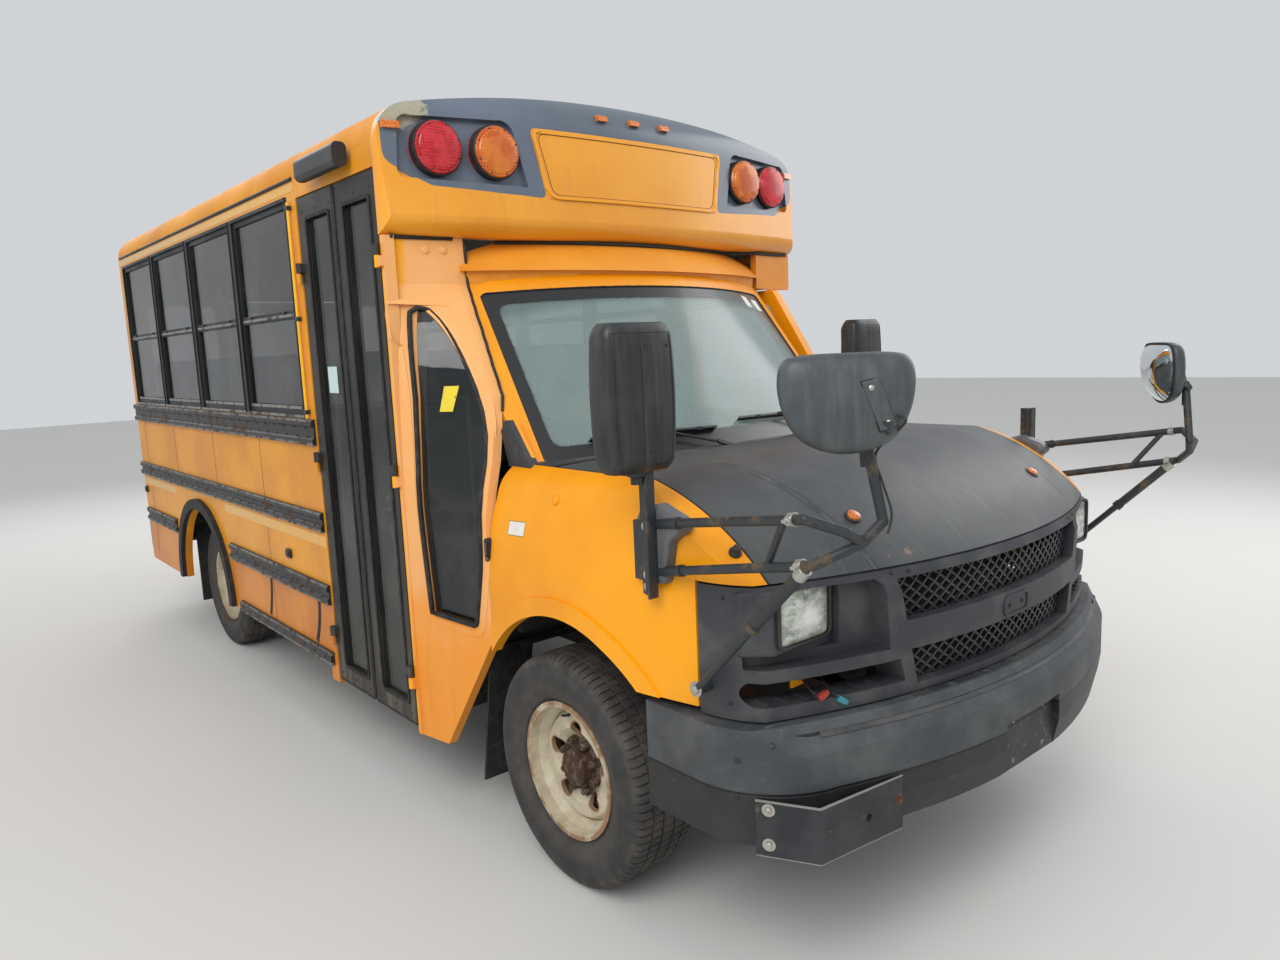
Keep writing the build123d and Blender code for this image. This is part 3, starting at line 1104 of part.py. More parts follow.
def mirror_heads(grow=0.0):
    """Right-hand flat and cross-view mirrors, then the left cross-view; the foremost has the full reach."""
    right, left = cross_head(-965, -1100, 1585), cross_head(925, 181 - MIRROR_REACH, 1555, grow)
    ahead = Pos(0, FRONT_AXLE_Y - MIRROR_REACH - right.bounding_box().min.Y, 0)
    right = ahead * (cross_head(-965, -1100, 1585, grow) if grow else right)
    flat = big_head(-BIG_MIRROR[0], BIG_MIRROR[1], BIG_MIRROR[2], HEAD_W + 2 * grow)
    return [flat, right], [left]


def mirror_arm_set():
    base = block(940, 1003, -520, -430, 1090, 1250)
    post = tube([(1011, -500, 1060), (1011, -500, 1395)], 13)
    tip = ARM_REACH - MIRROR_REACH
    upper = tube([(985, -470, 1240), (1046, tip + 60, 1330), (985, tip, 1300), (930, tip - 5, 1270)], 12)
    lower = tube([(985, -470, 1110), (1020, tip + 60, 1225), (930, tip - 5, 1270), (880, tip - 20, 1310),
                  (905, tip + 6, 1490)], 12)
    brace = rod((1040, tip + 120, 1322), (1000, tip + 210, 1195), 9)
    strut = rod((1020, tip + 70, 1225), (985, -640, 830), 11)
    foot = rod((930, -640, 830), (992, -640, 830), 16)
    arms = base + post + upper + lower + brace + strut + foot
    return arms - nose_form(-SEAT_GAP)


def door_mirror():
    """Driver's mirror, on a bent arm from the door's skin."""
    face, width = CAB_HALF - 2, HEAD_W - 16
    out = (CAB_HALF + MIRROR_HALF) / 2 + 3
    arm = tube([(face + 16, 430, 1120), (out, 400, 1190), (out, 345, 1450)], 12)
    plate = block(face + SEAT_GAP, face + 12, 405, 455, 1085, 1172)
    return big_head(MIRROR_HALF - width / 2, 330, 1600, width) + arm + plate


# Inside

SEAT_ROWS = 4


def passenger_seats():
    """Bench seats in rows, each a cushion on a frame with a high back."""
    seats = []
    pitch = (BODY_REAR_S - WALL - 40 - DOOR_REAR_S - 60) / SEAT_ROWS
    for row in range(SEAT_ROWS):
        start = DOOR_REAR_S + 80 + row * pitch
        profile = outline((start, FLOOR_TOP + 330), (start + 420, FLOOR_TOP + 310), (start + 490, FLOOR_TOP + 980),
                          (start + 560, FLOOR_TOP + 990), (start + 520, FLOOR_TOP + 230), (start, FLOOR_TOP + 230))
        bench = side_prism(profile, 240, 1000)
        bench += block(280, 310, start + 120, start + 400, FLOOR_TOP + SEAT_GAP, FLOOR_TOP + 231)
        bench += block(999, BODY_HALF - WALL - SEAT_GAP, start + 60, start + 440, FLOOR_TOP + 240, FLOOR_TOP + 280)
        seats += [bench, flip(bench)]
    return seats


def driver_seat():
    profile = outline((880, 1090), (1270, 1070), (1370, 1660), (1440, 1670), (1390, 960), (880, 980))
    seat = side_prism(profile, 260, 760)
    seat += block(360, 660, 960, 1330, FLOOR_TOP + SEAT_GAP, 985)
    return seat


def dashboard():
    """Dash, steering column and wheel."""
    front = FIREWALL_S + 22 + SEAT_GAP
    profile = outline((front, 1000), (front, 1240), ((430, 1278), (525, 1240)), (560, 1170), (470, 1080), (450, 1000))
    dash = side_prism(profile, -850, 850)
    dash -= block(-353, 353, front - 10, 503, 990, 1143)
    column = rod((480, 470, 1120), (480, 690, 1195), 32)
    axis = (Vector(0, 220, 75)).normalized()
    plane = Plane(origin=(480, FRONT_AXLE_Y + 700, 1198), z_dir=axis)
    ring = plane * Torus(192, 15)
    spokes = plane * Box(372, 34, 14) + plane * Cylinder(52, 24)
    return dash + column + ring + spokes


def stop_arm():
    """Octagonal blade on a bar, folded back flat along the driver's side."""
    centre_s, centre_z, across = 1790.0, 1190.0, 450.0
    x0 = BODY_HALF + RAIL_PROUD + 10
    r = across / 2 / math.cos(math.pi / 8)
    corners = [(centre_s + r * math.cos(math.pi / 8 + k * math.pi / 4),
                centre_z + r * math.sin(math.pi / 8 + k * math.pi / 4)) for k in range(8)]
    blade = side_prism(outline(*corners), x0, x0 + 6)
    blade += block(x0, x0 + 12, 1526, 1640, 1120, 1260)
    return blade


def build():
    right_wall, left_wall = side_walls()
    right_band, left_band = window_bands()
    hood, cowl, fenders, fascia = nose_panels()
    frame = cab_frame(cowl)
    hood = hood_with_hinges(hood)
    front_leaf, front_pane = entry_leaf(CAP_SIDE_S + JOINT_GAP, 1163, 854, 1085)
    rear_leaf, rear_pane = entry_leaf(1175, DOOR_REAR_S - 2, 1218, 1452)
    driver, driver_pane = driver_door()
    tail_door, tail_panes = rear_door()
    panel_right, panel_left = transition_right(), transition_left()
    rear = rear_wall()
    stop = stop_arm()
    panel_right -= frame
    skirt, closing = cap_fairing()
    skirt = skirt - frame - panel_right
    closing -= frame

    # Hinges: entrance leaves, driver's door, rear door and stop arm
    out = -BODY_HALF - 12
    for z in (520, 1280, 2060):
        up, low = upright_hinge(out, CAP_SIDE_S - 4, z, (out - 5, -BODY_HALF + LEAF_OUT + 2, CAP_SIDE_S - 4, CAP_SIDE_S + 26),
                                (out - 5, -BODY_HALF + 2, CAP_SIDE_S - 30, CAP_SIDE_S - 4))
        front_leaf += up
        panel_right += low
        up, low = upright_hinge(out, DOOR_REAR_S + 4, z, (out - 5, -BODY_HALF + LEAF_OUT + 2, DOOR_REAR_S - 26, DOOR_REAR_S + 4),
                                (out - 5, -BODY_HALF + 2, DOOR_REAR_S + 4, DOOR_REAR_S + 14))
        rear_leaf += up
        if z < BELT_Z:
            right_wall += low
        else:
            right_band += low
    right_fender = flip(fenders)
    for z in (860, 1120):
        x = CAB_HALF + 14
        up, low = upright_hinge(x, FENDER_REAR_S + 4, z, (CAB_HALF - 20, x + 5, FENDER_REAR_S + 4, DOOR_FRONT_S + 24),
                                (CAB_HALF - 20, x + 5, FENDER_REAR_S - 20, FENDER_REAR_S + 4))
        driver += up
        fenders += low
    for z in (900, 1420, 2020):
        x, s = -REAR_DOOR_HALF - 3, BODY_REAR_S + 12
        up, low = upright_hinge(x, s, z, (x, x + 40, BODY_REAR_S - 2, s + 5), (x - 40, x, BODY_REAR_S - 2, s + 5))
        tail_door += up
        rear += low
    x, s = BODY_HALF + RAIL_PROUD + 16, 1508
    up, low = upright_hinge(x, s, 1200, (x - 6, x + 6, s, s + 30), (BODY_HALF - 2, x, s - 5, s + 5))
    stop += up
    left_wall += low

    keep("chassis_frame", chassis_frame())
    keep("front_suspension", front_suspension())
    keep("knuckle_right", knuckle(-1))
    keep("knuckle_left", knuckle(1))
    keep("engine", Compound(list(engine())))
    keep("driveline", driveline())
    keep("rear_axle", rear_axle())
    keep("leaf_springs", leaf_springs())
    keep("fuel_tank", fuel_tank())
    keep("exhaust", exhaust())
    keep("body_floor", body_floor())
    keep("side_walls", Compound([right_wall, left_wall]))
    keep("window_bands", Compound([right_band, left_band]))
    keep("window_frames", Compound(window_frames()))
    keep("roof", roof())
    keep("rear_wall", rear)
    keep("rear_door", tail_door)
    keep("rear_door_glass", Compound(tail_panes))
    keep("front_cap", front_cap())
    keep("cap_fairing", Compound([skirt, closing]))
    keep("warning_lamps", Compound(warning_lamps()))
    keep("small_lamps", Compound(small_lamps()))
    keep("entry_lamp", entry_lamp())
    keep("hood", hood)
    keep("cab_fenders", Compound([right_fender, fenders]))
    keep("front_fascia", front_fascia(fascia))
    keep("grille", Compound(grille()))
    keep("headlamps", Compound(headlamps()))
    keep("front_bumper", front_bumper())
    keep("gate_bracket", gate_bracket())
    keep("cab_frame", frame)
    keep("windshield", windshield() - frame)
    keep("transition_panels", Compound([panel_right, panel_left]))
    keep("body_glass", Compound(side_glass() + rear_side_glass() + [quarter_window() - frame]))
    keep("driver_door", driver)
    keep("driver_door_glass", driver_pane)
    keep("entry_door_front", front_leaf)
    keep("entry_door_rear", rear_leaf)
    keep("entry_glass_front", front_pane)
    keep("entry_glass_rear", rear_pane)
    keep("rub_rails", Compound(rub_rails()))
    keep("rubber_guards", Compound(rubber_guards()))
    keep("rear_bumper", rear_bumper())
    arms = mirror_arm_set()
    heads_right, heads_left = mirror_heads(SEAT_GAP)
    keep("mirror_arms", Compound([arms - heads_left, flip(arms) - heads_right]))
    heads_right, heads_left = mirror_heads()
    keep("mirror_heads", Compound(heads_right + heads_left))
    keep("door_mirror", door_mirror())
    keep("stop_arm", stop)
    keep("passenger_seats", Compound(passenger_seats()))
    keep("driver_seat", driver_seat())
    keep("dashboard", dashboard())
    for end, axle_s in (("front", 0.0), ("rear", REAR_AXLE_S)):
        for name, side in (("right", -1), ("left", 1)):
            wheel, tyre = wheel_set(axle_s, side)
            keep(f"wheel_{end}_{name}", wheel)
            keep(f"tyre_{end}_{name}", tyre)


build()
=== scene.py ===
import bpy, bmesh, random
from functools import partial
from math import copysign, cos, exp, hypot, pi, radians, sin, sqrt
from mathutils import Matrix, Vector, noise
from mathutils.bvhtree import BVHTree


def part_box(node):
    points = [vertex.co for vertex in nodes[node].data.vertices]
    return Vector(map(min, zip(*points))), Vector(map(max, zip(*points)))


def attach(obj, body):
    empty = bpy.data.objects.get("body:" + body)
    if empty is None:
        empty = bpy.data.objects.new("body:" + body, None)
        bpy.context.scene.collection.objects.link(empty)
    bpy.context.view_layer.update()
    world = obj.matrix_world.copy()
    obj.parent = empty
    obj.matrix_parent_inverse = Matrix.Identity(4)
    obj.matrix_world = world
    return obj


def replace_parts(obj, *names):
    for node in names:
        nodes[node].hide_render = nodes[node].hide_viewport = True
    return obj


def vec(x, y, z):
    return Vector((x, y, z))


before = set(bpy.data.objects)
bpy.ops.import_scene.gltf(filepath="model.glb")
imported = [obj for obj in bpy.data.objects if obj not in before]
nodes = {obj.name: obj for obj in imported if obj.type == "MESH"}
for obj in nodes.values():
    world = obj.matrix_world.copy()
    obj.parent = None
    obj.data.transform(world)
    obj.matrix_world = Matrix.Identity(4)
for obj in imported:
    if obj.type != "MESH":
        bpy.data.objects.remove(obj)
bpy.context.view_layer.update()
scene = bpy.context.scene
scene.view_settings.view_transform = "Standard"
axleY = -1.892      # front axle, row frame
sides = ((-1, "Right"), (1, "Left"))
print("stage: frame loaded")


# Colours and nodes

def hexColour(code):
    # sRGB hex to linear
    parts = [int(code.lstrip("#")[i:i + 2], 16) / 255 for i in (0, 2, 4)]
    return tuple(c / 12.92 if c <= 0.04045 else ((c + 0.055) / 1.055) ** 2.4 for c in parts) + (1.0,)


work = {}      # the material being built: its tree, its shader and the object's coordinates


def addNode(kind, settings=None, links=None):
    # links: socket name or index -> fixed value, colour code or another node's output socket
    node = work["tree"].nodes.new("ShaderNode" + kind)
    for key, value in (settings or {}).items():
        setattr(node, key, value)
    for key, value in (links or {}).items():
        if isinstance(value, bpy.types.NodeSocket):
            work["tree"].links.new(value, node.inputs[key])
        else:
            node.inputs[key].default_value = hexColour(value) if isinstance(value, str) else value
    return node


def maths(operation, *terms):
    return addNode("Math", {"operation": operation}, dict(enumerate(terms))).outputs[0]


operations = ("ADD", "SUBTRACT", "MULTIPLY", "DIVIDE", "ABSOLUTE", "MAXIMUM", "LESS_THAN", "GREATER_THAN",
        "MULTIPLY_ADD")
plus, minus, times, ratio, absOf, larger, isUnder, isOver, scaled = (partial(maths, name) for name in operations)


def ramp(value, low, high):
    # smooth step: 0 below low, 1 above high
    return addNode("MapRange", {"interpolation_type": "SMOOTHSTEP"}, {"Value": value, "From Min": low,
            "From Max": high}).outputs["Result"]


def mix(factor, a, b):
    return addNode("Mix", {"data_type": "RGBA"}, {0: factor, 6: a, 7: b}).outputs[2]


def blobs(sizeMm, detail=3.0, rough=0.55, stretch=None):
    # noise whose blobs are about sizeMm across
    place = work["place"]
    if stretch:
        place = addNode("Mapping", None, {"Vector": place, "Scale": stretch}).outputs[0]
    return addNode("TexNoise", None, {"Vector": place, "Scale": 1000.0 / sizeMm, "Detail": detail,
            "Roughness": rough}).outputs["Fac"]


def patches(low, high, *noiseSettings):
    return ramp(blobs(*noiseSettings), low, high)


def cells(feature, sizeMm, randomness=1.0):
    return addNode("TexVoronoi", {"feature": feature}, {"Vector": work["place"], "Scale": 1000 / sizeMm,
            "Randomness": randomness}).outputs["Distance"]


def coords():
    # the object's X, Y and Z in metres
    return addNode("SeparateXYZ", None, {0: work["place"]}).outputs


def inMm(value):
    return times(value, 1000.0)


def awayFrom(spot):
    return addNode("VectorMath", {"operation": "DISTANCE"}, {0: work["place"], 1: tuple(spot)}).outputs["Value"]


def newMaterial(name):
    material = bpy.data.materials.new(name)
    material.use_nodes = True
    work["material"], work["tree"] = material, material.node_tree
    work["shader"] = work["tree"].nodes["Principled BSDF"]
    work["place"] = addNode("TexCoord").outputs["Object"]
    return material


def feed(value, socket):
    work["tree"].links.new(value, work["shader"].inputs[socket])


def bump(height, strength, distance):
    feed(addNode("Bump", None, {"Height": height, "Strength": strength, "Distance": distance}).outputs[0], "Normal")


def setShader(**values):
    for key, value in values.items():
        work["shader"].inputs[key.replace("_", " ")].default_value = value


def finished(colour, height=None, strength=0.0, distance=0.0, **values):
    # the last lines of most materials: base colour, shader values and grain
    feed(colour, "Base Color")
    setShader(**values)
    if height is not None:
        bump(height, strength, distance)
    return work["material"]


# Finishes

def agedPaint(name, base, shade, dirt, roughness, coat=0.0, dirtTop=0.75, grainMm=0.0, lining=None, side=None):
    # sprayed paint outdoors: uneven fading, road dust low down, streaks; lining is the inside colour
    material = newMaterial(name)
    xyz = coords()
    fade = patches(0.38, 0.66, 700, 4)
    colour = mix(fade, base, shade)
    streaks = blobs(60, 3, 0.6, (1, 1, 0.12))
    low = ramp(xyz["Z"], dirtTop, 0.25)
    amount = times(low, ramp(streaks, 0.35, 0.7))
    colour = mix(times(amount, 0.75), colour, dirt)
    specks = patches(0.66, 0.72, 16, 6, 0.7)
    colour = mix(times(specks, 0.22), colour, dirt)
    if lining:
        inside = side(xyz)
        colour = mix(inside, colour, lining)
    feed(colour, "Base Color")
    feed(scaled(patches(0.3, 0.7, 240, 5), 0.14, roughness), "Roughness")
    setShader(Coat_Weight=coat * 0.5, Coat_Roughness=0.2, Specular_IOR_Level=0.32)
    if grainMm:
        bump(blobs(grainMm, 2), 0.25, grainMm / 4000)
    else:
        bump(blobs(90, 2), 0.05, 0.004)
    return material


def lookingIn(xyz, across=0.0, upward=0.0, forward=0.0):
    # 1 on faces that look in towards the middle of the cabin, 0 on the outer skin and the cut edges
    normal = addNode("SeparateXYZ", None, {0: addNode("TexCoord").outputs["Normal"]}).outputs
    total = times(times(normal["X"], xyz["X"]), across)
    high = times(normal["Z"], minus(xyz["Z"], 2.0))
    total = plus(total, times(high, upward))
    total = plus(total, times(normal["Y"], forward))
    return isUnder(total, -0.3)


def insideOfWalls(xyz):
    return lookingIn(xyz, across=1.0)


def insideOfRoof(xyz):
    return lookingIn(xyz, across=1.0, upward=1.0)


def insideOfRear(xyz):
    return lookingIn(xyz, forward=1.0)


def mouldedPlastic(name, base, pale, roughness, grainMm=2.0, wear=0.35):
    # injection-moulded polypropylene: fine grain, bleached by sun in patches
    material = newMaterial(name)
    worn = patches(0.42, 0.72, 160, 5, 0.6)
    colour = mix(times(worn, wear), base, pale)
    feed(colour, "Base Color")
    setShader(Roughness=roughness)
    bump(blobs(grainMm, 2), 0.3, grainMm / 3000)
    return material


def rustyMetal(name, base, rust, amount, roughness, metallic=0.0, patchMm=60):
    # painted or bare steel with rust where the coat failed
    material = newMaterial(name)
    patch = patches(0.62 - amount * 0.3, 0.74 - amount * 0.3, patchMm, 8, 0.68)
    grain = mix(blobs(9, 3), rust, "#3c2416")
    colour = mix(patch, base, grain)
    feed(colour, "Base Color")
    feed(scaled(patch, 0.35, roughness), "Roughness")
    if metallic:
        feed(scaled(patch, -metallic, metallic), "Metallic")
    bump(blobs(6, 4), 0.3, 0.0012)
    return material


def clearPane(name, tint, alpha, roughness=0.04):
    # float glass seen as a tinted sheet; dusty film low down
    material = newMaterial(name)
    dust = patches(0.4, 0.75, 220, 5, 0.6)
    colour = mix(times(dust, 0.14), tint, "#8f8a7c")
    feed(colour, "Base Color")
    feed(scaled(dust, 0.06, alpha), "Alpha")
    setShader(Roughness=roughness, IOR=1.5, Coat_Weight=0.6, Coat_Roughness=0.03)
    return material


def lampPlastic(name, deep, bright, cellMm=7.0):
    # polycarbonate lens with moulded ribs
    newMaterial(name)
    ribs = cells("DISTANCE_TO_EDGE", cellMm)
    edge = ramp(ribs, 0.02, 0.2)
    colour = mix(edge, deep, bright)
    return finished(colour, ribs, 0.5, 0.002, Roughness=0.18, IOR=1.58, Coat_Weight=0.7, Coat_Roughness=0.08)


def rubberCompound(name, base, dust, roughness=0.75):
    newMaterial(name)
    film = patches(0.4, 0.8, 45, 5, 0.65)
    colour = mix(times(film, 0.45), base, dust)
    return finished(colour, blobs(5, 2), 0.25, 0.0008, Roughness=roughness)


busYellow, busShade, roadDirt = "#fba608", "#ec9404", "#7a6346"
finishes = {
    "enamelYellow": agedPaint("sprayedEnamelYellow", busYellow, busShade, roadDirt, 0.34, 0.35, dirtTop=0.9),
    "wallYellow": agedPaint("rivetedSteelPanelEnamel", busYellow, busShade, roadDirt, 0.36, 0.3, dirtTop=0.95,
                            lining="#c9c4b2", side=insideOfWalls),
    "roofYellow": agedPaint("roofPanelEnamel", "#eb9c16", "#d98b10", roadDirt, 0.55, 0.0,
                            lining="#d6d1c2", side=insideOfRoof),
    "rearYellow": agedPaint("rearPanelEnamel", busYellow, busShade, roadDirt, 0.36, 0.3, dirtTop=1.0,
                            lining="#c9c4b2", side=insideOfRear),
    "fadedPanel": agedPaint("fadedFibreglassPaint", "#e8a04a", "#dd8f36", roadDirt, 0.5, 0.1, dirtTop=0.85),
    "capYellow": agedPaint("gelcoatYellow", "#f3a72a", "#e9981f", "#8a7452", 0.3, 0.4),
    "fairingOrange": agedPaint("gelcoatOrange", "#ea9a2e", "#d98420", "#8a7452", 0.42, 0.2),
    "hoodBlack": agedPaint("satinBlackoutPaint", "#3a3d40", "#46494b", "#8d8574", 0.5, 0.05, grainMm=3.0),
    "mouldedGrey": mouldedPlastic("mouldedPolypropylene", "#34363a", "#6c6d6b", 0.55),
    "bumperGrey": mouldedPlastic("texturedBumperCover", "#313336", "#77756f", 0.6, 2.5, 0.4),
    "blackPlastic": mouldedPlastic("blackAbsShell", "#232527", "#54565a", 0.42, 1.6, 0.25),
    "blackPaint": agedPaint("satinBlackPaint", "#191a1c", "#26282a", "#6f675a", 0.38, 0.1, dirtTop=0.8),
    "frameBlack": agedPaint("anodisedBlackFrame", "#1d1f20", "#2a2c2d", "#6f675a", 0.4, 0.0, dirtTop=0.3),
    "undercoat": rustyMetal("chassisUndercoat", "#22201e", "#5b3b25", 0.45, 0.7, 0.0, 90),
    "rustySteel": rustyMetal("weatheredSteel", "#5e5a54", "#6d4226", 0.6, 0.55, 0.5, 70),
    "tankSteel": rustyMetal("aluminisedTank", "#77756f", "#6f5137", 0.2, 0.45, 0.6, 120),
    "wheelCream": rustyMetal("creamWheelEnamel", "#d9d1b8", "#7a4a2a", 0.42, 0.42, 0.0, 55),
    "tyre": rubberCompound("tyreRubber", "#1b1b1c", "#5d574c"),
    "rubber": rubberCompound("epdmRubber", "#17181a", "#55514a", 0.7),
    "glass": clearPane("tintedSideGlass", "#141a1c", 0.50),
    "clearGlass": clearPane("laminatedWindshield", "#42504e", 0.34),
    "doorGlass": clearPane("temperedDoorGlass", "#262c2a", 0.38),
    "lampRed": lampPlastic("polycarbonateRed", "#8e0f12", "#d8202a"),
    "lampAmber": lampPlastic("polycarbonateAmber", "#b9540a", "#f08a1c"),
    "lampClear": lampPlastic("ribbedHeadlampGlass", "#b9beb9", "#e6e8e2", 12.0),
    "vinyl": mouldedPlastic("calenderedVinyl", "#3b4654", "#5a6572", 0.48, 3.0, 0.3),
    "floor": rubberCompound("ribbedFloorRubber", "#2a2a29", "#6b6558"),
    "signRed": agedPaint("reflectiveRedSheeting", "#b3201d", "#a31c1a", "#6b4a3a", 0.35, 0.2),
    "dash": mouldedPlastic("slushMouldedDash", "#3a3c3c", "#55564f", 0.6),
}
plan = {
    "chassis_frame": "undercoat", "front_suspension": "undercoat", "knuckle_right": "rustySteel",
    "knuckle_left": "rustySteel", "engine": "undercoat", "driveline": "rustySteel", "rear_axle": "undercoat",
    "leaf_springs": "undercoat", "fuel_tank": "tankSteel", "exhaust": "rustySteel", "body_floor": "floor",
    "side_walls": "wallYellow", "window_bands": "wallYellow", "window_frames": "frameBlack", "roof": "roofYellow",
    "rear_wall": "rearYellow", "rear_door": "rearYellow", "rear_door_glass": "glass", "front_cap": "capYellow",
    "cap_fairing": "fairingOrange", "warning_lamps": "lampRed", "small_lamps": "lampAmber",
    "entry_lamp": "blackPlastic", "hood": "hoodBlack", "cab_fenders": "enamelYellow", "front_fascia": "mouldedGrey",
    "grille": "blackPlastic", "headlamps": "lampClear", "front_bumper": "bumperGrey", "gate_bracket": "rustySteel",
    "cab_frame": "enamelYellow", "windshield": "clearGlass", "transition_panels": "fadedPanel",
    "body_glass": "glass", "driver_door": "enamelYellow", "driver_door_glass": "doorGlass",
    "entry_door_front": "blackPaint", "entry_door_rear": "blackPaint", "entry_glass_front": "doorGlass",
    "entry_glass_rear": "doorGlass", "rub_rails": "blackPaint", "rubber_guards": "rubber",
    "rear_bumper": "blackPaint", "mirror_arms": "blackPaint", "mirror_heads": "blackPlastic",
    "door_mirror": "blackPlastic", "stop_arm": "signRed", "passenger_seats": "vinyl", "driver_seat": "vinyl",
    "dashboard": "dash",
}
for end in ("front", "rear"):
    for side in ("right", "left"):
        plan[f"wheel_{end}_{side}"] = "wheelCream"
        plan[f"tyre_{end}_{side}"] = "tyre"


def dress(obj, material):
    obj.data.materials.clear()
    obj.data.materials.append(material)
    obj.data.polygons.foreach_set("use_smooth", [True] * len(obj.data.polygons))
    return obj


def finishNode(name, finish):
    dress(nodes[name], finishes[finish])


for name, finish in plan.items():
    finishNode(name, finish)
print("stage: finishes on the solids")


# Piece builders, all in row-frame metres; st(s) turns a station behind the front axle, in mm, to y

def st(station):
    return axleY + station / 1000


def at(x, station, z):
    # millimetres to a row-frame point
    return vec(x / 1000, st(station), z / 1000)


boxFaces = [(0, 1, 3, 2), (4, 6, 7, 5), (0, 4, 5, 1), (2, 3, 7, 6), (0, 2, 6, 4), (1, 5, 7, 3)]


def ringFaces(count, n, closed=False):
    # faces between rings of n points laid one after another
    faces = []
    for i in range(count if closed else count - 1):
        a, b = i * n, ((i + 1) % count) * n
        faces += [(a + k, a + (k + 1) % n, b + (k + 1) % n, b + k) for k in range(n)]
    return faces


def headings(points, closed):
    # direction of a line at each of its points
    ahead = points[1:] + (points[:1] if closed else points[-1:])
    behind = (points[-1:] if closed else points[:1]) + points[:-1]
    return [(after - before).normalized() for before, after in zip(behind, ahead)]


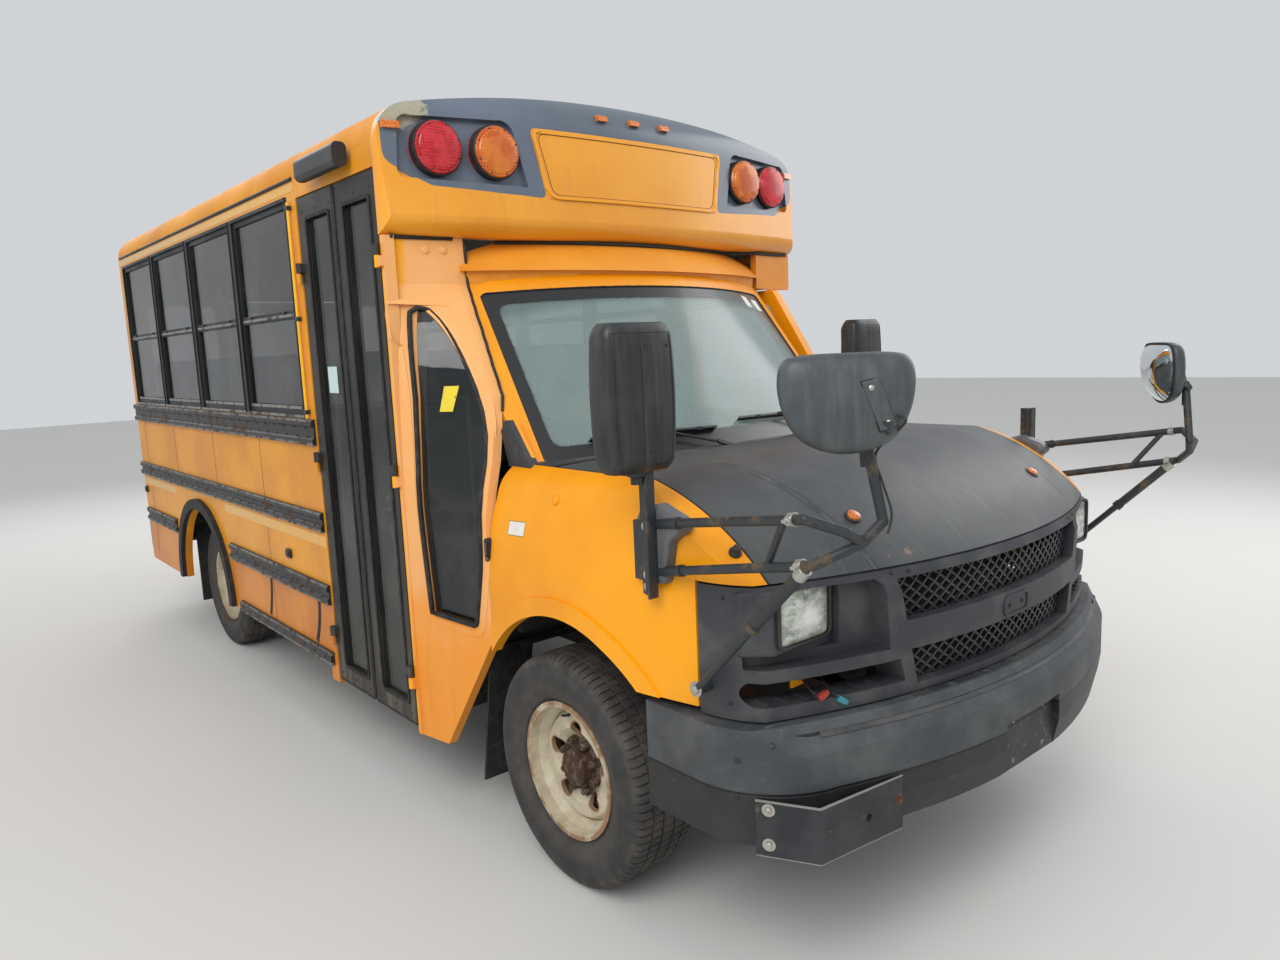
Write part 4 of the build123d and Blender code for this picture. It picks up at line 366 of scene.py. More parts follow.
class Shape:
    # gathers simple solids that end up in one mesh

    def __init__(self):
        self.verts, self.faces = [], []

    def add(self, verts, faces):
        base = len(self.verts)
        self.verts += [Vector(v) for v in verts]
        self.faces += [[i + base for i in f] for f in faces]
        return self

    def block(self, low, high):
        (a, b, c), (d, e, f) = low, high
        corners = [(x, y, z) for x in (a, d) for y in (b, e) for z in (c, f)]
        return self.add(corners, boxFaces)

    def tilted(self, centre, half, across, up):
        # block about a centre, turned so that its x runs along across and its z along up
        x, z = Vector(across).normalized(), Vector(up).normalized()
        y = z.cross(x).normalized()
        z = x.cross(y)
        corners = [centre + x * (i * half[0]) + y * (j * half[1]) + z * (k * half[2]) for i in (-1, 1)
                for j in (-1, 1) for k in (-1, 1)]
        return self.add(corners, boxFaces)

    def turned(self, profile, origin, axis, sides=40, sweep=360.0, twist=0.0):
        # profile of (radius, height) pairs turned about an axis
        axis = Vector(axis).normalized()
        u = axis.orthogonal().normalized()
        v = axis.cross(u)
        origin, full = Vector(origin), sweep >= 359.9
        count = sides if full else sides + 1
        verts = []
        for k in range(count):
            turn = radians(twist + sweep * k / sides)
            spoke = u * cos(turn) + v * sin(turn)
            verts += [origin + spoke * r + axis * h for r, h in profile]
        n, faces = len(profile), []
        for k in range(sides):
            a, b = k * n, ((k + 1) % count) * n
            faces += [(a + i, b + i, b + i + 1, a + i + 1) for i in range(n - 1)]
        return self.add(verts, faces)

    def rod(self, a, b, radius, sides=16, endRadius=None):
        a, b = Vector(a), Vector(b)
        end = radius if endRadius is None else endRadius
        return self.turned([(0, 0), (radius, 0), (end, (b - a).length), (0, (b - a).length)], a, b - a, sides)

    def pipe(self, points, radius, sides=12, closed=False):
        # round bar along a smooth line
        points = [Vector(p) for p in points]
        count, side, verts = len(points), None, []
        for i, (p, run) in enumerate(zip(points, headings(points, closed))):
            side = run.orthogonal().normalized() if side is None else (side - run * side.dot(run)).normalized()
            other = run.cross(side)
            r = radius[i] if isinstance(radius, (list, tuple)) else radius
            verts += [p + (side * cos(t) + other * sin(t)) * r for t in (2 * pi * k / sides for k in range(sides))]
        faces = ringFaces(count, sides, closed)
        if not closed:
            faces += [tuple(reversed(range(sides))), tuple(range((count - 1) * sides, count * sides))]
        return self.add(verts, faces)

    def plate(self, outline, thick):
        # flat polygon given in space, thickened along a vector
        outline, thick, n = [Vector(p) for p in outline], Vector(thick), len(outline)
        faces = [tuple(reversed(range(n))), tuple(range(n, 2 * n))] + ringFaces(2, n)
        return self.add(outline + [p + thick for p in outline], faces)

    def ribbon(self, points, outward, width, thick, closed=False):
        # flat strip of a width and thickness lying along a line; outward is one vector or one for each point
        points = [Vector(p) for p in points]
        count, verts = len(points), []
        for i, (p, run) in enumerate(zip(points, headings(points, closed))):
            out = Vector(outward[i] if isinstance(outward, list) else outward).normalized()
            side = run.cross(out).normalized() * width / 2
            verts += [p - side, p + side, p + side + out * thick, p - side + out * thick]
        faces = []
        for i in range(count if closed else count - 1):
            a, b = i * 4, ((i + 1) % count) * 4
            faces += [(a + k, b + k, b + (k + 1) % 4, a + (k + 1) % 4) for k in range(4)]
        if not closed:
            faces += [(0, 1, 2, 3), tuple((count - 1) * 4 + k for k in (3, 2, 1, 0))]
        return self.add(verts, faces)

    def bolt(self, place, axis, radius, height, sides=6, washer=True):
        axis, place = Vector(axis).normalized(), Vector(place)
        if washer:
            self.turned([(0, -0.0005), (radius * 1.7, -0.0005), (radius * 1.7, height * 0.25), (0, height * 0.25)],
                    place, axis, 16)
        return self.turned([(0, 0), (radius, 0), (radius, height * 0.85), (radius * 0.8, height), (0, height)], place,
                axis, sides)

    def dome(self, place, axis, radius, height, sides=12):
        return self.turned([(radius, -0.0006), (radius * 0.92, height * 0.55), (radius * 0.6, height * 0.9),
                (0, height)], place, axis, sides)

    def make(self, name, finish, body="bus_body", sharpDeg=35, bevel=0.0, bevelSteps=2):
        mesh = bpy.data.meshes.new(name)
        mesh.from_pydata(self.verts, [], self.faces)
        mesh.validate()
        tidy = bmesh.new()
        tidy.from_mesh(mesh)
        bmesh.ops.remove_doubles(tidy, verts=tidy.verts, dist=1e-6)
        bmesh.ops.recalc_face_normals(tidy, faces=tidy.faces)
        tidy.to_mesh(mesh)
        tidy.free()
        obj = bpy.data.objects.new(name, mesh)
        scene.collection.objects.link(obj)
        mesh.materials.append(finishes[finish] if isinstance(finish, str) else finish)
        mesh.polygons.foreach_set("use_smooth", [True] * len(mesh.polygons))
        mesh.set_sharp_from_angle(angle=radians(sharpDeg))
        if bevel:
            edge = obj.modifiers.new("roundedEdges", "BEVEL")
            edge.width, edge.segments, edge.limit_method = bevel, bevelSteps, "ANGLE"
            edge.angle_limit = radians(40)
            edge.harden_normals = False
        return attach(obj, body)


class Skin:
    # surface of a CAD node, to lay details on

    def __init__(self, *names):
        verts, faces = [], []
        for name in names:
            base, mesh = len(verts), nodes[name].data
            verts += [v.co.copy() for v in mesh.vertices]
            faces += [[base + i for i in p.vertices] for p in mesh.polygons]
        self.tree = BVHTree.FromPolygons(verts, faces)

    def hit(self, origin, direction):
        place, normal, _, _ = self.tree.ray_cast(Vector(origin), Vector(direction))
        if place is None:
            return None
        if normal.dot(Vector(direction)) > 0:
            normal = -normal
        return place, normal

    def front(self, x, z):
        # seen from ahead, x and z in millimetres
        return self.hit((x / 1000, -4.0, z / 1000), (0, 1, 0))

    def above(self, x, station):
        return self.hit((x / 1000, st(station), 4.0), (0, 0, -1))

    def beside(self, sign, station, z):
        return self.hit((sign * 2.0, st(station), z / 1000), (-sign, 0, 0))


def along(hits, lift=0.0):
    # points lifted off a surface, and the surface's directions there
    found = [h for h in hits if h]
    return [p + n * lift for p, n in found], [n for p, n in found]


def smoothLine(points, steps=8, closed=False):
    # Catmull-Rom through the points
    points = [Vector(p) for p in points]
    n, line = len(points), []
    last = n if closed else n - 1
    for i in range(last):
        p0 = points[i - 1] if i or closed else points[0]
        p1, p2 = points[i], points[(i + 1) % n]
        p3 = points[(i + 2) % n] if i + 2 < n or closed else points[-1]
        for k in range(steps):
            t = k / steps
            bend = 2 * p0 - 5 * p1 + 4 * p2 - p3
            pull = 3 * p1 - p0 - 3 * p2 + p3
            line.append(0.5 * (2 * p1 + (p2 - p0) * t + bend * t * t + pull * t * t * t))
    if not closed:
        line.append(points[-1])
    return line


# Front cap: slate band over gelcoat yellow, blank sign panel with a raised border, lamps, seams

cap = {"slate": "#57636f", "slateShade": "#667080", "signTopZ": 2526, "signTopX": 497, "signLowZ": 2268,
        "signLowX": 445, "bandLowZ": 2278, "bandRise": 0.05, "cornerRadius": 45, "border": 9, "seamWide": 13}
capSkin = Skin("front_cap")


def slateBand():
    # 1 where the slate coat lies; distances in millimetres, edges rounded by smooth minimum
    material = newMaterial("gelcoatTwoColour")
    xyz = coords()
    x = inMm(absOf(xyz["X"]))
    z = inMm(xyz["Z"])
    slope = (cap["signTopX"] - cap["signLowX"]) / (cap["signTopZ"] - cap["signLowZ"])
    edge = minus(x, times(minus(z, cap["signLowZ"]), slope))
    outside = minus(edge, cap["signLowX"] + 8.0)
    above = minus(z, cap["signTopZ"] + 6.0)
    sign = maths("SMOOTH_MAX", outside, above, 40.0)
    lift = times(minus(x, 500.0), cap["bandRise"])
    low = minus(minus(z, cap["bandLowZ"]), lift)
    wing = larger(times(minus(x, 905.0), 0.42), 0.0)
    low = minus(low, wing)
    side = minus(1068.0, x)
    band = maths("SMOOTH_MIN", low, side, 60.0)
    field = maths("SMOOTH_MIN", sign, band, 46.0)
    ragged = times(minus(blobs(90, 4), 0.5), 5.0)
    mask = ramp(plus(field, ragged), -0.8, 1.2)
    outer = isUnder(xyz["Y"], st(806))
    mask = times(mask, outer)
    fade = patches(0.35, 0.68, 500, 4)
    yellow = mix(fade, "#f2a52c", "#e8971c")
    slate = mix(fade, cap["slate"], cap["slateShade"])
    colour = mix(mask, yellow, slate)
    streak = patches(0.5, 0.85, 34, 4, 0.6, (1, 1, 0.1))
    colour = mix(times(streak, 0.2), colour, "#8c7f6a")
    corner = awayFrom(at(-1010, 700, 2592))
    chips = plus(corner, times(blobs(26, 6, 0.75), 0.14))
    bare = ramp(chips, 0.196, 0.186)
    colour = mix(bare, colour, mix(blobs(8, 4), "#b9b39c", "#8e8872"))
    feed(colour, "Base Color")
    feed(scaled(bare, 0.4, 0.34), "Roughness")
    setShader(Coat_Weight=0.3, Coat_Roughness=0.2)
    bump(blobs(120, 2), 0.08, 0.004)
    return material


finishes["gelcoatTwoColour"] = slateBand()
finishNode("front_cap", "gelcoatTwoColour")


def roundedPath(corners, radius, steps=6):
    # closed plan outline in millimetres with its corners rounded
    path, n = [], len(corners)
    for i in range(n):
        a, b, c = (Vector(corners[(i + k) % n]) for k in (-1, 0, 1))
        into, away = (a - b).normalized(), (c - b).normalized()
        reach = min(radius, (a - b).length * 0.45, (c - b).length * 0.45)
        p, q = b + into * reach, b + away * reach
        for k in range(steps + 1):
            t = k / steps
            path.append(p * (1 - t) ** 2 + b * 2 * t * (1 - t) + q * t * t)
    return path


def oblong(x0, z0, x1, z1, radius):
    return roundedPath([(x0, z0), (x1, z0), (x1, z1), (x0, z1)], radius)


def densePath(points, stepMm=30.0, closed=True):
    points = [Vector(p) for p in points]
    path = []
    for i in range(len(points) if closed else len(points) - 1):
        a, b = points[i], points[(i + 1) % len(points)]
        count = max(1, round((b - a).length / stepMm))
        path += [a.lerp(b, k / count) for k in range(count)]
    return path if closed else path + [points[-1]]


def signBorder():
    low, top = cap["signLowZ"] + 10, cap["signTopZ"]
    corners = [(-cap["signLowX"], low), (-cap["signTopX"], top), (cap["signTopX"], top), (cap["signLowX"], low)]
    path = densePath(roundedPath(corners, cap["cornerRadius"]), 26)
    points, out = along([capSkin.front(x, z) for x, z in path], -0.001)
    Shape().ribbon(points, out, cap["border"] / 1000, 0.0045, closed=True).make("signPanelBorder", "capYellow",
            bevel=0.0018)
    inner = [(x * 0.955, z - (z - (low + top) / 2) * 0.1) for x, z in corners]
    path = densePath(roundedPath(inner, cap["cornerRadius"] - 12), 26)
    points, out = along([capSkin.front(x, z) for x, z in path], -0.0006)
    Shape().ribbon(points, out, 0.003, 0.0012, closed=True).make("signPanelGroove", "seamShadow")


finishes["seamShadow"] = rubberCompound("sealantShadow", "#6b4a1c", "#8a6a3a", 0.8)
# black seam compound; also used as painted shade in the gap under the cap and round the fuel flap
finishes["seamBlackAndGapShade"] = rubberCompound("polyurethaneSeamAndGapShade", "#1c1a18", "#4a4238", 0.7)
signBorder()


def ledLamp(x, finish, name):
    # flanged warning lamp: gasket ring, eight screws, stepped dome with light cells
    front = -9.0
    for v in nodes["warning_lamps"].data.vertices:
        if abs(v.co.x * 1000 - x) < 94 and v.co.y < 0:
            front = max(front, -v.co.y)
    y = -front
    centre = vec(x / 1000, y, 2.428)
    out = vec(0, -1, 0)
    lens = Shape().turned([(0.0905, 0.014), (0.0905, 0.004), (0.087, -0.001), (0.079, -0.002), (0.076, -0.0052),
            (0.06, -0.0085), (0.03, -0.0102), (0, -0.0106)], centre + out * -0.001, -out, 56)
    lens.make(name + "Lens", finish, sharpDeg=28)
    ring = Shape().turned([(0.0965, 0.045), (0.0965, 0.012), (0.0915, 0.009), (0.0895, 0.016)], centre, -out, 56)
    ring.make(name + "Gasket", "rubber")
    screws = Shape()
    for k in range(8):
        turn = radians(22.5 + 45 * k)
        spot = centre + vec(cos(turn) * 0.0835, 0, sin(turn) * 0.0835) + out * 0.001
        screws.dome(spot, out, 0.0032, 0.0018, 10)
    screws.make(name + "Screws", "screwDark")


def ledLens(name, deep, bright, glow):
    # clear outer over rows of light cells, darker towards the rim
    newMaterial(name)
    lights = cells("F1", 11.0, 0.25)
    dots = ramp(lights, 0.42, 0.12)
    colour = mix(dots, deep, bright)
    blotch = patches(0.4, 0.65, 70, 2)
    colour = mix(times(blotch, 0.35), colour, glow)
    return finished(colour, lights, 0.25, 0.0015, Roughness=0.26, IOR=1.5, Coat_Weight=0.35, Coat_Roughness=0.08)


finishes["ledRed"] = ledLens("ledRedPolycarbonate", "#ad0a16", "#f5243a", "#ff4458")
finishes["ledAmber"] = ledLens("ledAmberPolycarbonate", "#c05208", "#ff8f1c", "#ffa23c")
finishes["screwDark"] = rustyMetal("blackenedScrew", "#2b2a29", "#5c3b26", 0.3, 0.45, 0.4, 20)
finishes["screwZinc"] = rustyMetal("zincScrew", "#b5b4ac", "#7a5535", 0.18, 0.35, 0.7, 15)
for sign, side in sides:
    ledLamp(sign * 875, "ledRed", "capRedLamp" + side)
    ledLamp(sign * 657, "ledAmber", "capAmberLamp" + side)


def paper(name, colour):
    newMaterial(name)
    stain = patches(0.45, 0.8, 30, 4)
    return finished(mix(times(stain, 0.4), colour, "#b5ad98"), Roughness=0.6)


finishes["paperWhite"] = paper("plainPaperSlip", "#e9e8e0")
finishes["paperYellow"] = paper("yellowPaperSlip", "#e8cf2a")
finishes["filmWhite"] = paper("whiteVinylLabel", "#e4e2da")


# Windshield: black frit band, shade strip, wipers, mirror and a blank slip

glass = {"foot": (60.0, 1340.0), "head": (548.0, 1945.0), "radius": 2000.0, "frit": 40.0, "shadeFrom": 690.0}
run, rise = glass["head"][0] - glass["foot"][0], glass["head"][1] - glass["foot"][1]
slopeLength = hypot(run, rise)
slopeUp = vec(0, run / slopeLength, rise / slopeLength)
slopeOut = vec(0, -rise / slopeLength, run / slopeLength)
slopeFoot = at(0, *glass["foot"])


def onGlass(x, v, lift=0.0):
    # point on the curved pane: x across and v up the slope, in millimetres
    sag = glass["radius"] - sqrt(glass["radius"] ** 2 - x * x)
    return slopeFoot + vec(x / 1000, 0, 0) + slopeUp * (v / 1000) + slopeOut * ((lift - sag) / 1000)


def glassFoot(x):
    return -2 + 106 * (x / 806) ** 2


def fromFoot(direction):
    # millimetres from the foot of the glass along a direction
    local = addNode("VectorMath", {"operation": "SUBTRACT"}, {0: work["place"], 1: tuple(slopeFoot)}).outputs[0]
    run = addNode("VectorMath", {"operation": "DOT_PRODUCT"}, {0: local, 1: tuple(direction)}).outputs["Value"]
    return times(run, 1000.0)


def paneMaterial():
    material = newMaterial("laminatedWindshield")
    xyz = coords()
    x = inMm(absOf(xyz["X"]))
    v = fromFoot(slopeUp)
    x2 = times(x, x)
    low = minus(plus(v, 2.0 - 34.0), times(x2, 106 / 806 ** 2))
    top = minus(plus(times(x2, 79 / 715 ** 2), 777.0 - 18.0), v)
    side = minus(minus(806.0, times(v, 54 / 742)), x)
    inner = maths("SMOOTH_MIN", low, top, 60.0)
    inner = maths("SMOOTH_MIN", inner, side, 70.0)
    frit = ramp(inner, glass["frit"] + 1.5, glass["frit"] - 1.5)
    dots = cells("F1", 7.0, 0.1)
    fringe = ramp(inner, glass["frit"] + 14.0, glass["frit"])
    dotted = isUnder(dots, times(fringe, 0.45))
    frit = larger(frit, dotted)
    shade = times(ramp(v, glass["shadeFrom"], glass["shadeFrom"] + 70), 0.55)
    dust = patches(0.38, 0.75, 260, 5, 0.6)
    # painted reflection: the pane's pale mint-grey stands in for the sky mirrored in the glass; dust patches vary it
    pane = mix(dust, "#8ea39f", "#97a9a4")
    pane = mix(shade, pane, "#2e4a46")
    feed(mix(frit, pane, "#17191a"), "Base Color")
    alpha = scaled(dust, 0.03, 0.52)
    alpha = plus(alpha, times(shade, 0.35))
    feed(larger(alpha, frit), "Alpha")
    feed(scaled(frit, 0.2, 0.16), "Roughness")
    setShader(IOR=1.52, Coat_Weight=0.25, Coat_Roughness=0.12)
    return material


finishes["laminated"] = paneMaterial()
finishNode("windshield", "laminated")


def wiper(name, pivotX, tipX, heelX, lift):
    # pantograph-free arm parked along the foot of the glass, with a sprung blade
    side = 1 if tipX > pivotX else -1
    pivot = onGlass(pivotX, glassFoot(pivotX) - 34, 8)
    middle = (tipX + heelX) / 2
    holder = onGlass(middle, glassFoot(middle) + lift, 26)
    arm = Shape()
    arm.turned([(0, -0.03), (0.016, -0.03), (0.016, 0.012), (0.012, 0.017), (0, 0.018)], pivot, slopeOut, 24)
    knee = pivot.lerp(holder, 0.32) + slopeOut * 0.012
    arm.ribbon([pivot + slopeOut * 0.006, knee], slopeOut, 0.017, 0.009)
    arm.ribbon([knee, holder], slopeOut, 0.010, 0.006)
    arm.block(holder - vec(0.018, 0.006, 0.008), holder + vec(0.018, 0.006, 0.005))
    arm.make(name + "Arm", "blackPaint", bevel=0.0015)
    line = []
    for k in range(25):
        x = heelX + (tipX - heelX) * k / 24
        line.append(onGlass(x, glassFoot(x) + lift + (x - middle) * 0.02 * side, 0))
    Shape().ribbon([p + slopeOut * 0.0015 for p in line], slopeOut, 0.004, 0.014).make(name + "Rubber", "rubber")
    spine = Shape()
    for k in range(24):
        thin = 0.006 + 0.004 * sin(pi * k / 24)
        spine.ribbon([line[k] + slopeOut * 0.015, line[k + 1] + slopeOut * 0.015], slopeOut, 0.009, thin)
    for share in (0.18, 0.5, 0.82):
        p = line[int(24 * share)] + slopeOut * 0.018
        spine.block(p - vec(0.012, 0.007, 0.006), p + vec(0.012, 0.007, 0.006))
    spine.make(name + "Blade", "blackPlastic", bevel=0.0008)


wiper("doorSideWiper", -95, -640, -150, 76)
wiper("driverSideWiper", 520, -20, 470, 92)


def glassBand():
    # moulded black gasket round the pane
    line = [onGlass(x, glassFoot(x) - 3) for x in range(-806, 807, 62)]
    line += [onGlass(806 - 54 * k / 12, 104 + 742 * k / 12) for k in range(1, 12)]
    line += [onGlass(752, 846), onGlass(735, 862)]
    line += [onGlass(x, 779 + 79 * (x / 715) ** 2) for x in range(715, -716, -55)]
    line += [onGlass(-735, 862), onGlass(-752, 846)]
    line += [onGlass(-752 - 54 * k / 12, 846 - 742 * k / 12) for k in range(1, 12)]
    Shape().pipe([p + slopeOut * 0.0005 for p in line], 0.0055, 10, closed=True).make("windshieldGasket", "rubber")


glassBand()
slip = Shape()
slip.plate([onGlass(x, v, 0.8) for x, v in ((560, 742), (705, 748), (700, 812), (556, 804))], slopeOut * 0.0004)
slip.make("blankInspectionSlip", "paperWhite")
mirrorMount = onGlass(60, 700, -14)
cabMirror = Shape().rod(mirrorMount, mirrorMount + vec(0, 0.07, -0.05), 0.009)
cabMirror.turned([(0, -0.014), (0.038, -0.012), (0.043, 0), (0.040, 0.012), (0, 0.013)],
        mirrorMount + vec(0, 0.085, -0.075), (0, 1, 0.1), 32)
cabMirror.make("cabMirror", "blackPlastic")


# Cab frame: enamel pillars, charcoal cowl and sails, dark inside

def cabFrameMaterial():
    material = newMaterial("cabShellEnamel")
    xyz = coords()
    x = inMm(absOf(xyz["X"]))
    v = fromFoot(slopeUp)
    n = fromFoot(slopeOut)
    x2 = times(x, x)
    sag = times(x2, -1 / 4000)
    foot = minus(times(x2, 106 / 806 ** 2), -14.0)
    cowl = isUnder(v, foot)
    sail = times(isOver(x, 862.0), isUnder(xyz["Z"], 1.575))
    inside = isUnder(minus(n, sag), -34.0)
    dark = larger(cowl, sail)
    fade = patches(0.4, 0.65, 500, 4)
    yellow = mix(fade, busYellow, busShade)
    moulded = mix(patches(0.45, 0.75, 120, 5), "#33363a", "#55575a")
    colour = mix(inside, yellow, "#6a6a64")
    colour = mix(dark, colour, moulded)
    low = isUnder(xyz["Z"], 1.25)
    colour = mix(low, colour, "#35322d")
    feed(colour, "Base Color")
    feed(scaled(larger(dark, inside), 0.25, 0.34), "Roughness")
    bump(blobs(3, 2), 0.15, 0.0006)
    return material


finishes["cabShell"] = cabFrameMaterial()
finishNode("cab_frame", "cabShell")
print("stage: glass and cab shell")


# Hood: raised middle panel, worn satin paint, rust at the lip, corner markers

hood = {"rearX": 612, "rearS": -344, "frontX": 560, "frontS": -930, "raiseMm": 9.0}


def hoodMaterial():
    material = newMaterial("satinBlackoutHood")
    xyz = coords()
    x = inMm(absOf(xyz["X"]))
    s = times(minus(xyz["Y"], axleY), 1000.0)
    lean = (hood["rearX"] - hood["frontX"]) / (hood["rearS"] - hood["frontS"])
    edge = minus(plus(times(s, lean), hood["frontX"] - hood["frontS"] * lean), x)
    rear = minus(scaled(x, -0.15, hood["rearS"] + 92.0), s)
    panel = maths("SMOOTH_MIN", edge, rear, 25.0)
    raised = ramp(panel, -16.0, 16.0)
    faded = patches(0.38, 0.7, 260, 5, 0.62)
    colour = mix(faded, "#3b3e41", "#4b4d4e")
    rubbed = minus(1.0, absOf(times(panel, 0.09)))
    rubbed = times(ramp(rubbed, 0.3, 1.0), patches(0.35, 0.6, 60, 5))
    colour = mix(times(rubbed, 0.35), colour, "#8a877e")
    drips = patches(0.55, 0.85, 22, 4, 0.6, (1, 0.1, 0.25))
    front = ramp(s, -560.0, -860.0)
    colour = mix(times(times(drips, front), 0.5), colour, "#77746b")
    for spot, size in ((at(-563, -862, 1130), 0.006), (at(-430, -894, 1127), 0.016), (at(-500, -880, 1124), 0.004)):
        away = awayFrom(spot)
        ragged = plus(away, times(blobs(11, 6, 0.78), 0.07))
        rust = ramp(ragged, size + 0.036, size + 0.024)
        colour = mix(times(rust, 0.7), colour, mix(blobs(5, 3), "#7d5236", "#a39180"))
    bare = patches(0.68, 0.73, 7, 5, 0.7)
    colour = mix(times(bare, 0.3), colour, "#9a9890")
    feed(colour, "Base Color")
    setShader(Roughness=0.47)
    height = plus(times(raised, hood["raiseMm"]), times(blobs(4.5, 3), 0.28))
    bump(height, 1.0, 0.001)
    return material


finishes["hoodSatin"] = hoodMaterial()
finishNode("hood", "hoodSatin")
hoodSkin = Skin("hood")


def hoodMarker(name, x, station):
    # low amber lens on a black pad at the hood's corner
    place, up = hoodSkin.above(x, station)
    pad = Shape().turned([(0.024, -0.002), (0.024, 0.003), (0.021, 0.005), (0, 0.005)], place, up, 28)
    pad.make(name + "Pad", "blackPlastic", "hood")
    Shape().turned([(0.019, 0.004), (0.018, 0.010), (0.012, 0.014), (0, 0.015)], place, up, 28).make(name + "Lens",
            "lampAmber", "hood")


hoodMarker("hoodMarkerRight", -503, -770)
hoodMarker("hoodMarkerLeft", 503, -770)


def hoodLipSeal():
    # weather strip in the joint between hood and fascia
    line = []
    for k in range(49):
        x = -800 + 1600 * k / 48
        hit = fasciaSkin.front(x, 1092)
        if hit:
            line.append(hit[0] + vec(0, 0.012, 0.006))
    Shape().pipe(line, 0.005, 8).make("hoodFrontSeal", "rubber")


fasciaSkin = Skin("front_fascia")
hoodLipSeal()
print("stage: hood")


# Nose: headlamps, fascia, badge seat, bumper with step pads, gate bracket

nose = {"lampX": 755, "lampZ": 1009, "lampHalf": (97, 72), "lampS": -807, "bucket": [(643, -796), (866, -796),
        (926, -738), (926, -690), (643, -690)], "bucketZ": (918, 1088), "seamZ": 574, "plateZ": 520,
        "plateHoles": (178, 121), "plateS": -1025, "barLow": 842, "barHigh": 968, "slotLow": 871, "slotHigh": 953,
        "holeLow": (438, 770), "holeHigh": (508, 1071), "meshPitch": (46, 34), "meshWeb": 6.5}


def headlampMaterial():
    # fluted glass over a chromed bowl, yellowed at the rim; the bowl's light and dark reflections, a highlight and
    # dark blotches higher up are painted into the colour
    material = newMaterial("flutedHeadlampGlass")
    xyz = coords()
    x = minus(absOf(xyz["X"]), nose["lampX"] / 1000)
    z = minus(xyz["Z"], nose["lampZ"] / 1000)
    # painted reflection: the chrome bowl seen through the glass as pale and grey streaks
    sweep = blobs(30, 4, 0.6, (0.7, 1, 1.4))
    bowlReflection = mix(ramp(sweep, 0.36, 0.66), "#8b9087", "#d6d9ce")
    # painted highlight: a bright patch a little below and inboard of the lens middle
    paintedHighlight = times(ramp(absOf(plus(z, 0.012)), 0.05, 0.006), ramp(absOf(plus(x, 0.02)), 0.075, 0.01))
    colour = mix(times(paintedHighlight, 0.85), bowlReflection, "#f7f8f2")
    # painted reflection: dark blotches in the upper half of the lens
    spots = times(patches(0.54, 0.62, 22, 5, 0.7), ramp(z, 0.0, 0.05))
    colour = mix(times(spots, 0.6), colour, "#555a54")
    edge = larger(ratio(absOf(x), nose["lampHalf"][0] / 1000), ratio(absOf(z), nose["lampHalf"][1] / 1000))
    colour = mix(times(ramp(edge, 0.82, 0.95), 0.7), colour, "#a7a27f")
    feed(colour, "Base Color")
    flutes = addNode("TexWave", {"bands_direction": "X", "wave_profile": "SIN"},
            {"Vector": work["place"], "Scale": 1000 / 9.0 / 3.14, "Distortion": 0.4})
    cross = addNode("TexWave", {"bands_direction": "Z", "wave_profile": "SIN"},
            {"Vector": work["place"], "Scale": 1000 / 34.0 / 3.14})
    height = plus(flutes.outputs["Fac"], times(cross.outputs["Fac"], 0.6))
    bump(height, 0.35, 0.0012)
    setShader(Roughness=0.2, Metallic=0.15, Coat_Weight=0.8, Coat_Roughness=0.05)
    return material


finishes["headlampGlass"] = headlampMaterial()
finishNode("headlamps", "headlampGlass")


def lampOutline(sign, share):
    # rounded oblong of the lens at a share of its size, round its middle
    half = nose["lampHalf"]
    corners = [(-half[0], -half[1]), (half[0], -half[1]), (half[0], half[1]), (-half[0], half[1])]
    ring = densePath(roundedPath(corners, 24), 12)
    return [(sign * (nose["lampX"] + p[0] * share), nose["lampZ"] + p[1] * share) for p in ring]


def headlampUnits():
    # square-faced buckets standing forward out of the swept pockets, each with a crowned lens in a rim
    lens = Shape()
    for sign, side in sides:
        face, (foot, head) = st(nose["lampS"]), nose["bucketZ"]
        bucket = Shape().plate([at(sign * x, s, foot) for x, s in nose["bucket"]], vec(0, 0, (head - foot) / 1000))
        bucket.make("headlampBucket" + side, "mouldedGrey", bevel=0.009, bevelSteps=3)
        loops = []
        for share, lift in ((1.0, 0.0), (0.97, 0.006), (0.90, 0.009), (0.72, 0.0115), (0.45, 0.013), (0.15, 0.0135)):
            loops.append([vec(x / 1000, face + 0.010 - lift, z / 1000) for x, z in lampOutline(sign, share)])
        n = len(loops[0])
        faces = ringFaces(len(loops), n)
        faces.append(tuple(range((len(loops) - 1) * n, len(loops) * n)))
        faces.append(tuple(reversed(range(n))))
        lens.add([p for loop in loops for p in loop], faces)
        rim = [vec(x / 1000, face + 0.006, z / 1000) for x, z in lampOutline(sign, 1.035)]
        Shape().ribbon(rim, vec(0, -1, 0), 0.010, 0.010, closed=True).make("headlampRim" + side, "blackPlastic",
                bevel=0.0025)
        clips = Shape()
        for u, v in ((-60, 1), (60, 1), (-60, -1), (60, -1)):
            spot = vec(sign * (nose["lampX"] + u) / 1000, face + 0.002, (nose["lampZ"] + v * 75) / 1000)
            clips.block(spot - vec(0.006, 0, 0.004), spot + vec(0.006, 0.01, 0.004))
        clips.make("headlampClips" + side, "screwDark", bevel=0.001)
    lens = lens.make("headlampLenses", "headlampGlass", sharpDeg=32)
    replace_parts(lens, "headlamps")


headlampUnits()


def holeHalf(z):
    (low, zLow), (high, zHigh) = nose["holeLow"], nose["holeHigh"]
    return low + (high - low) * (z - zLow) / (zHigh - zLow)


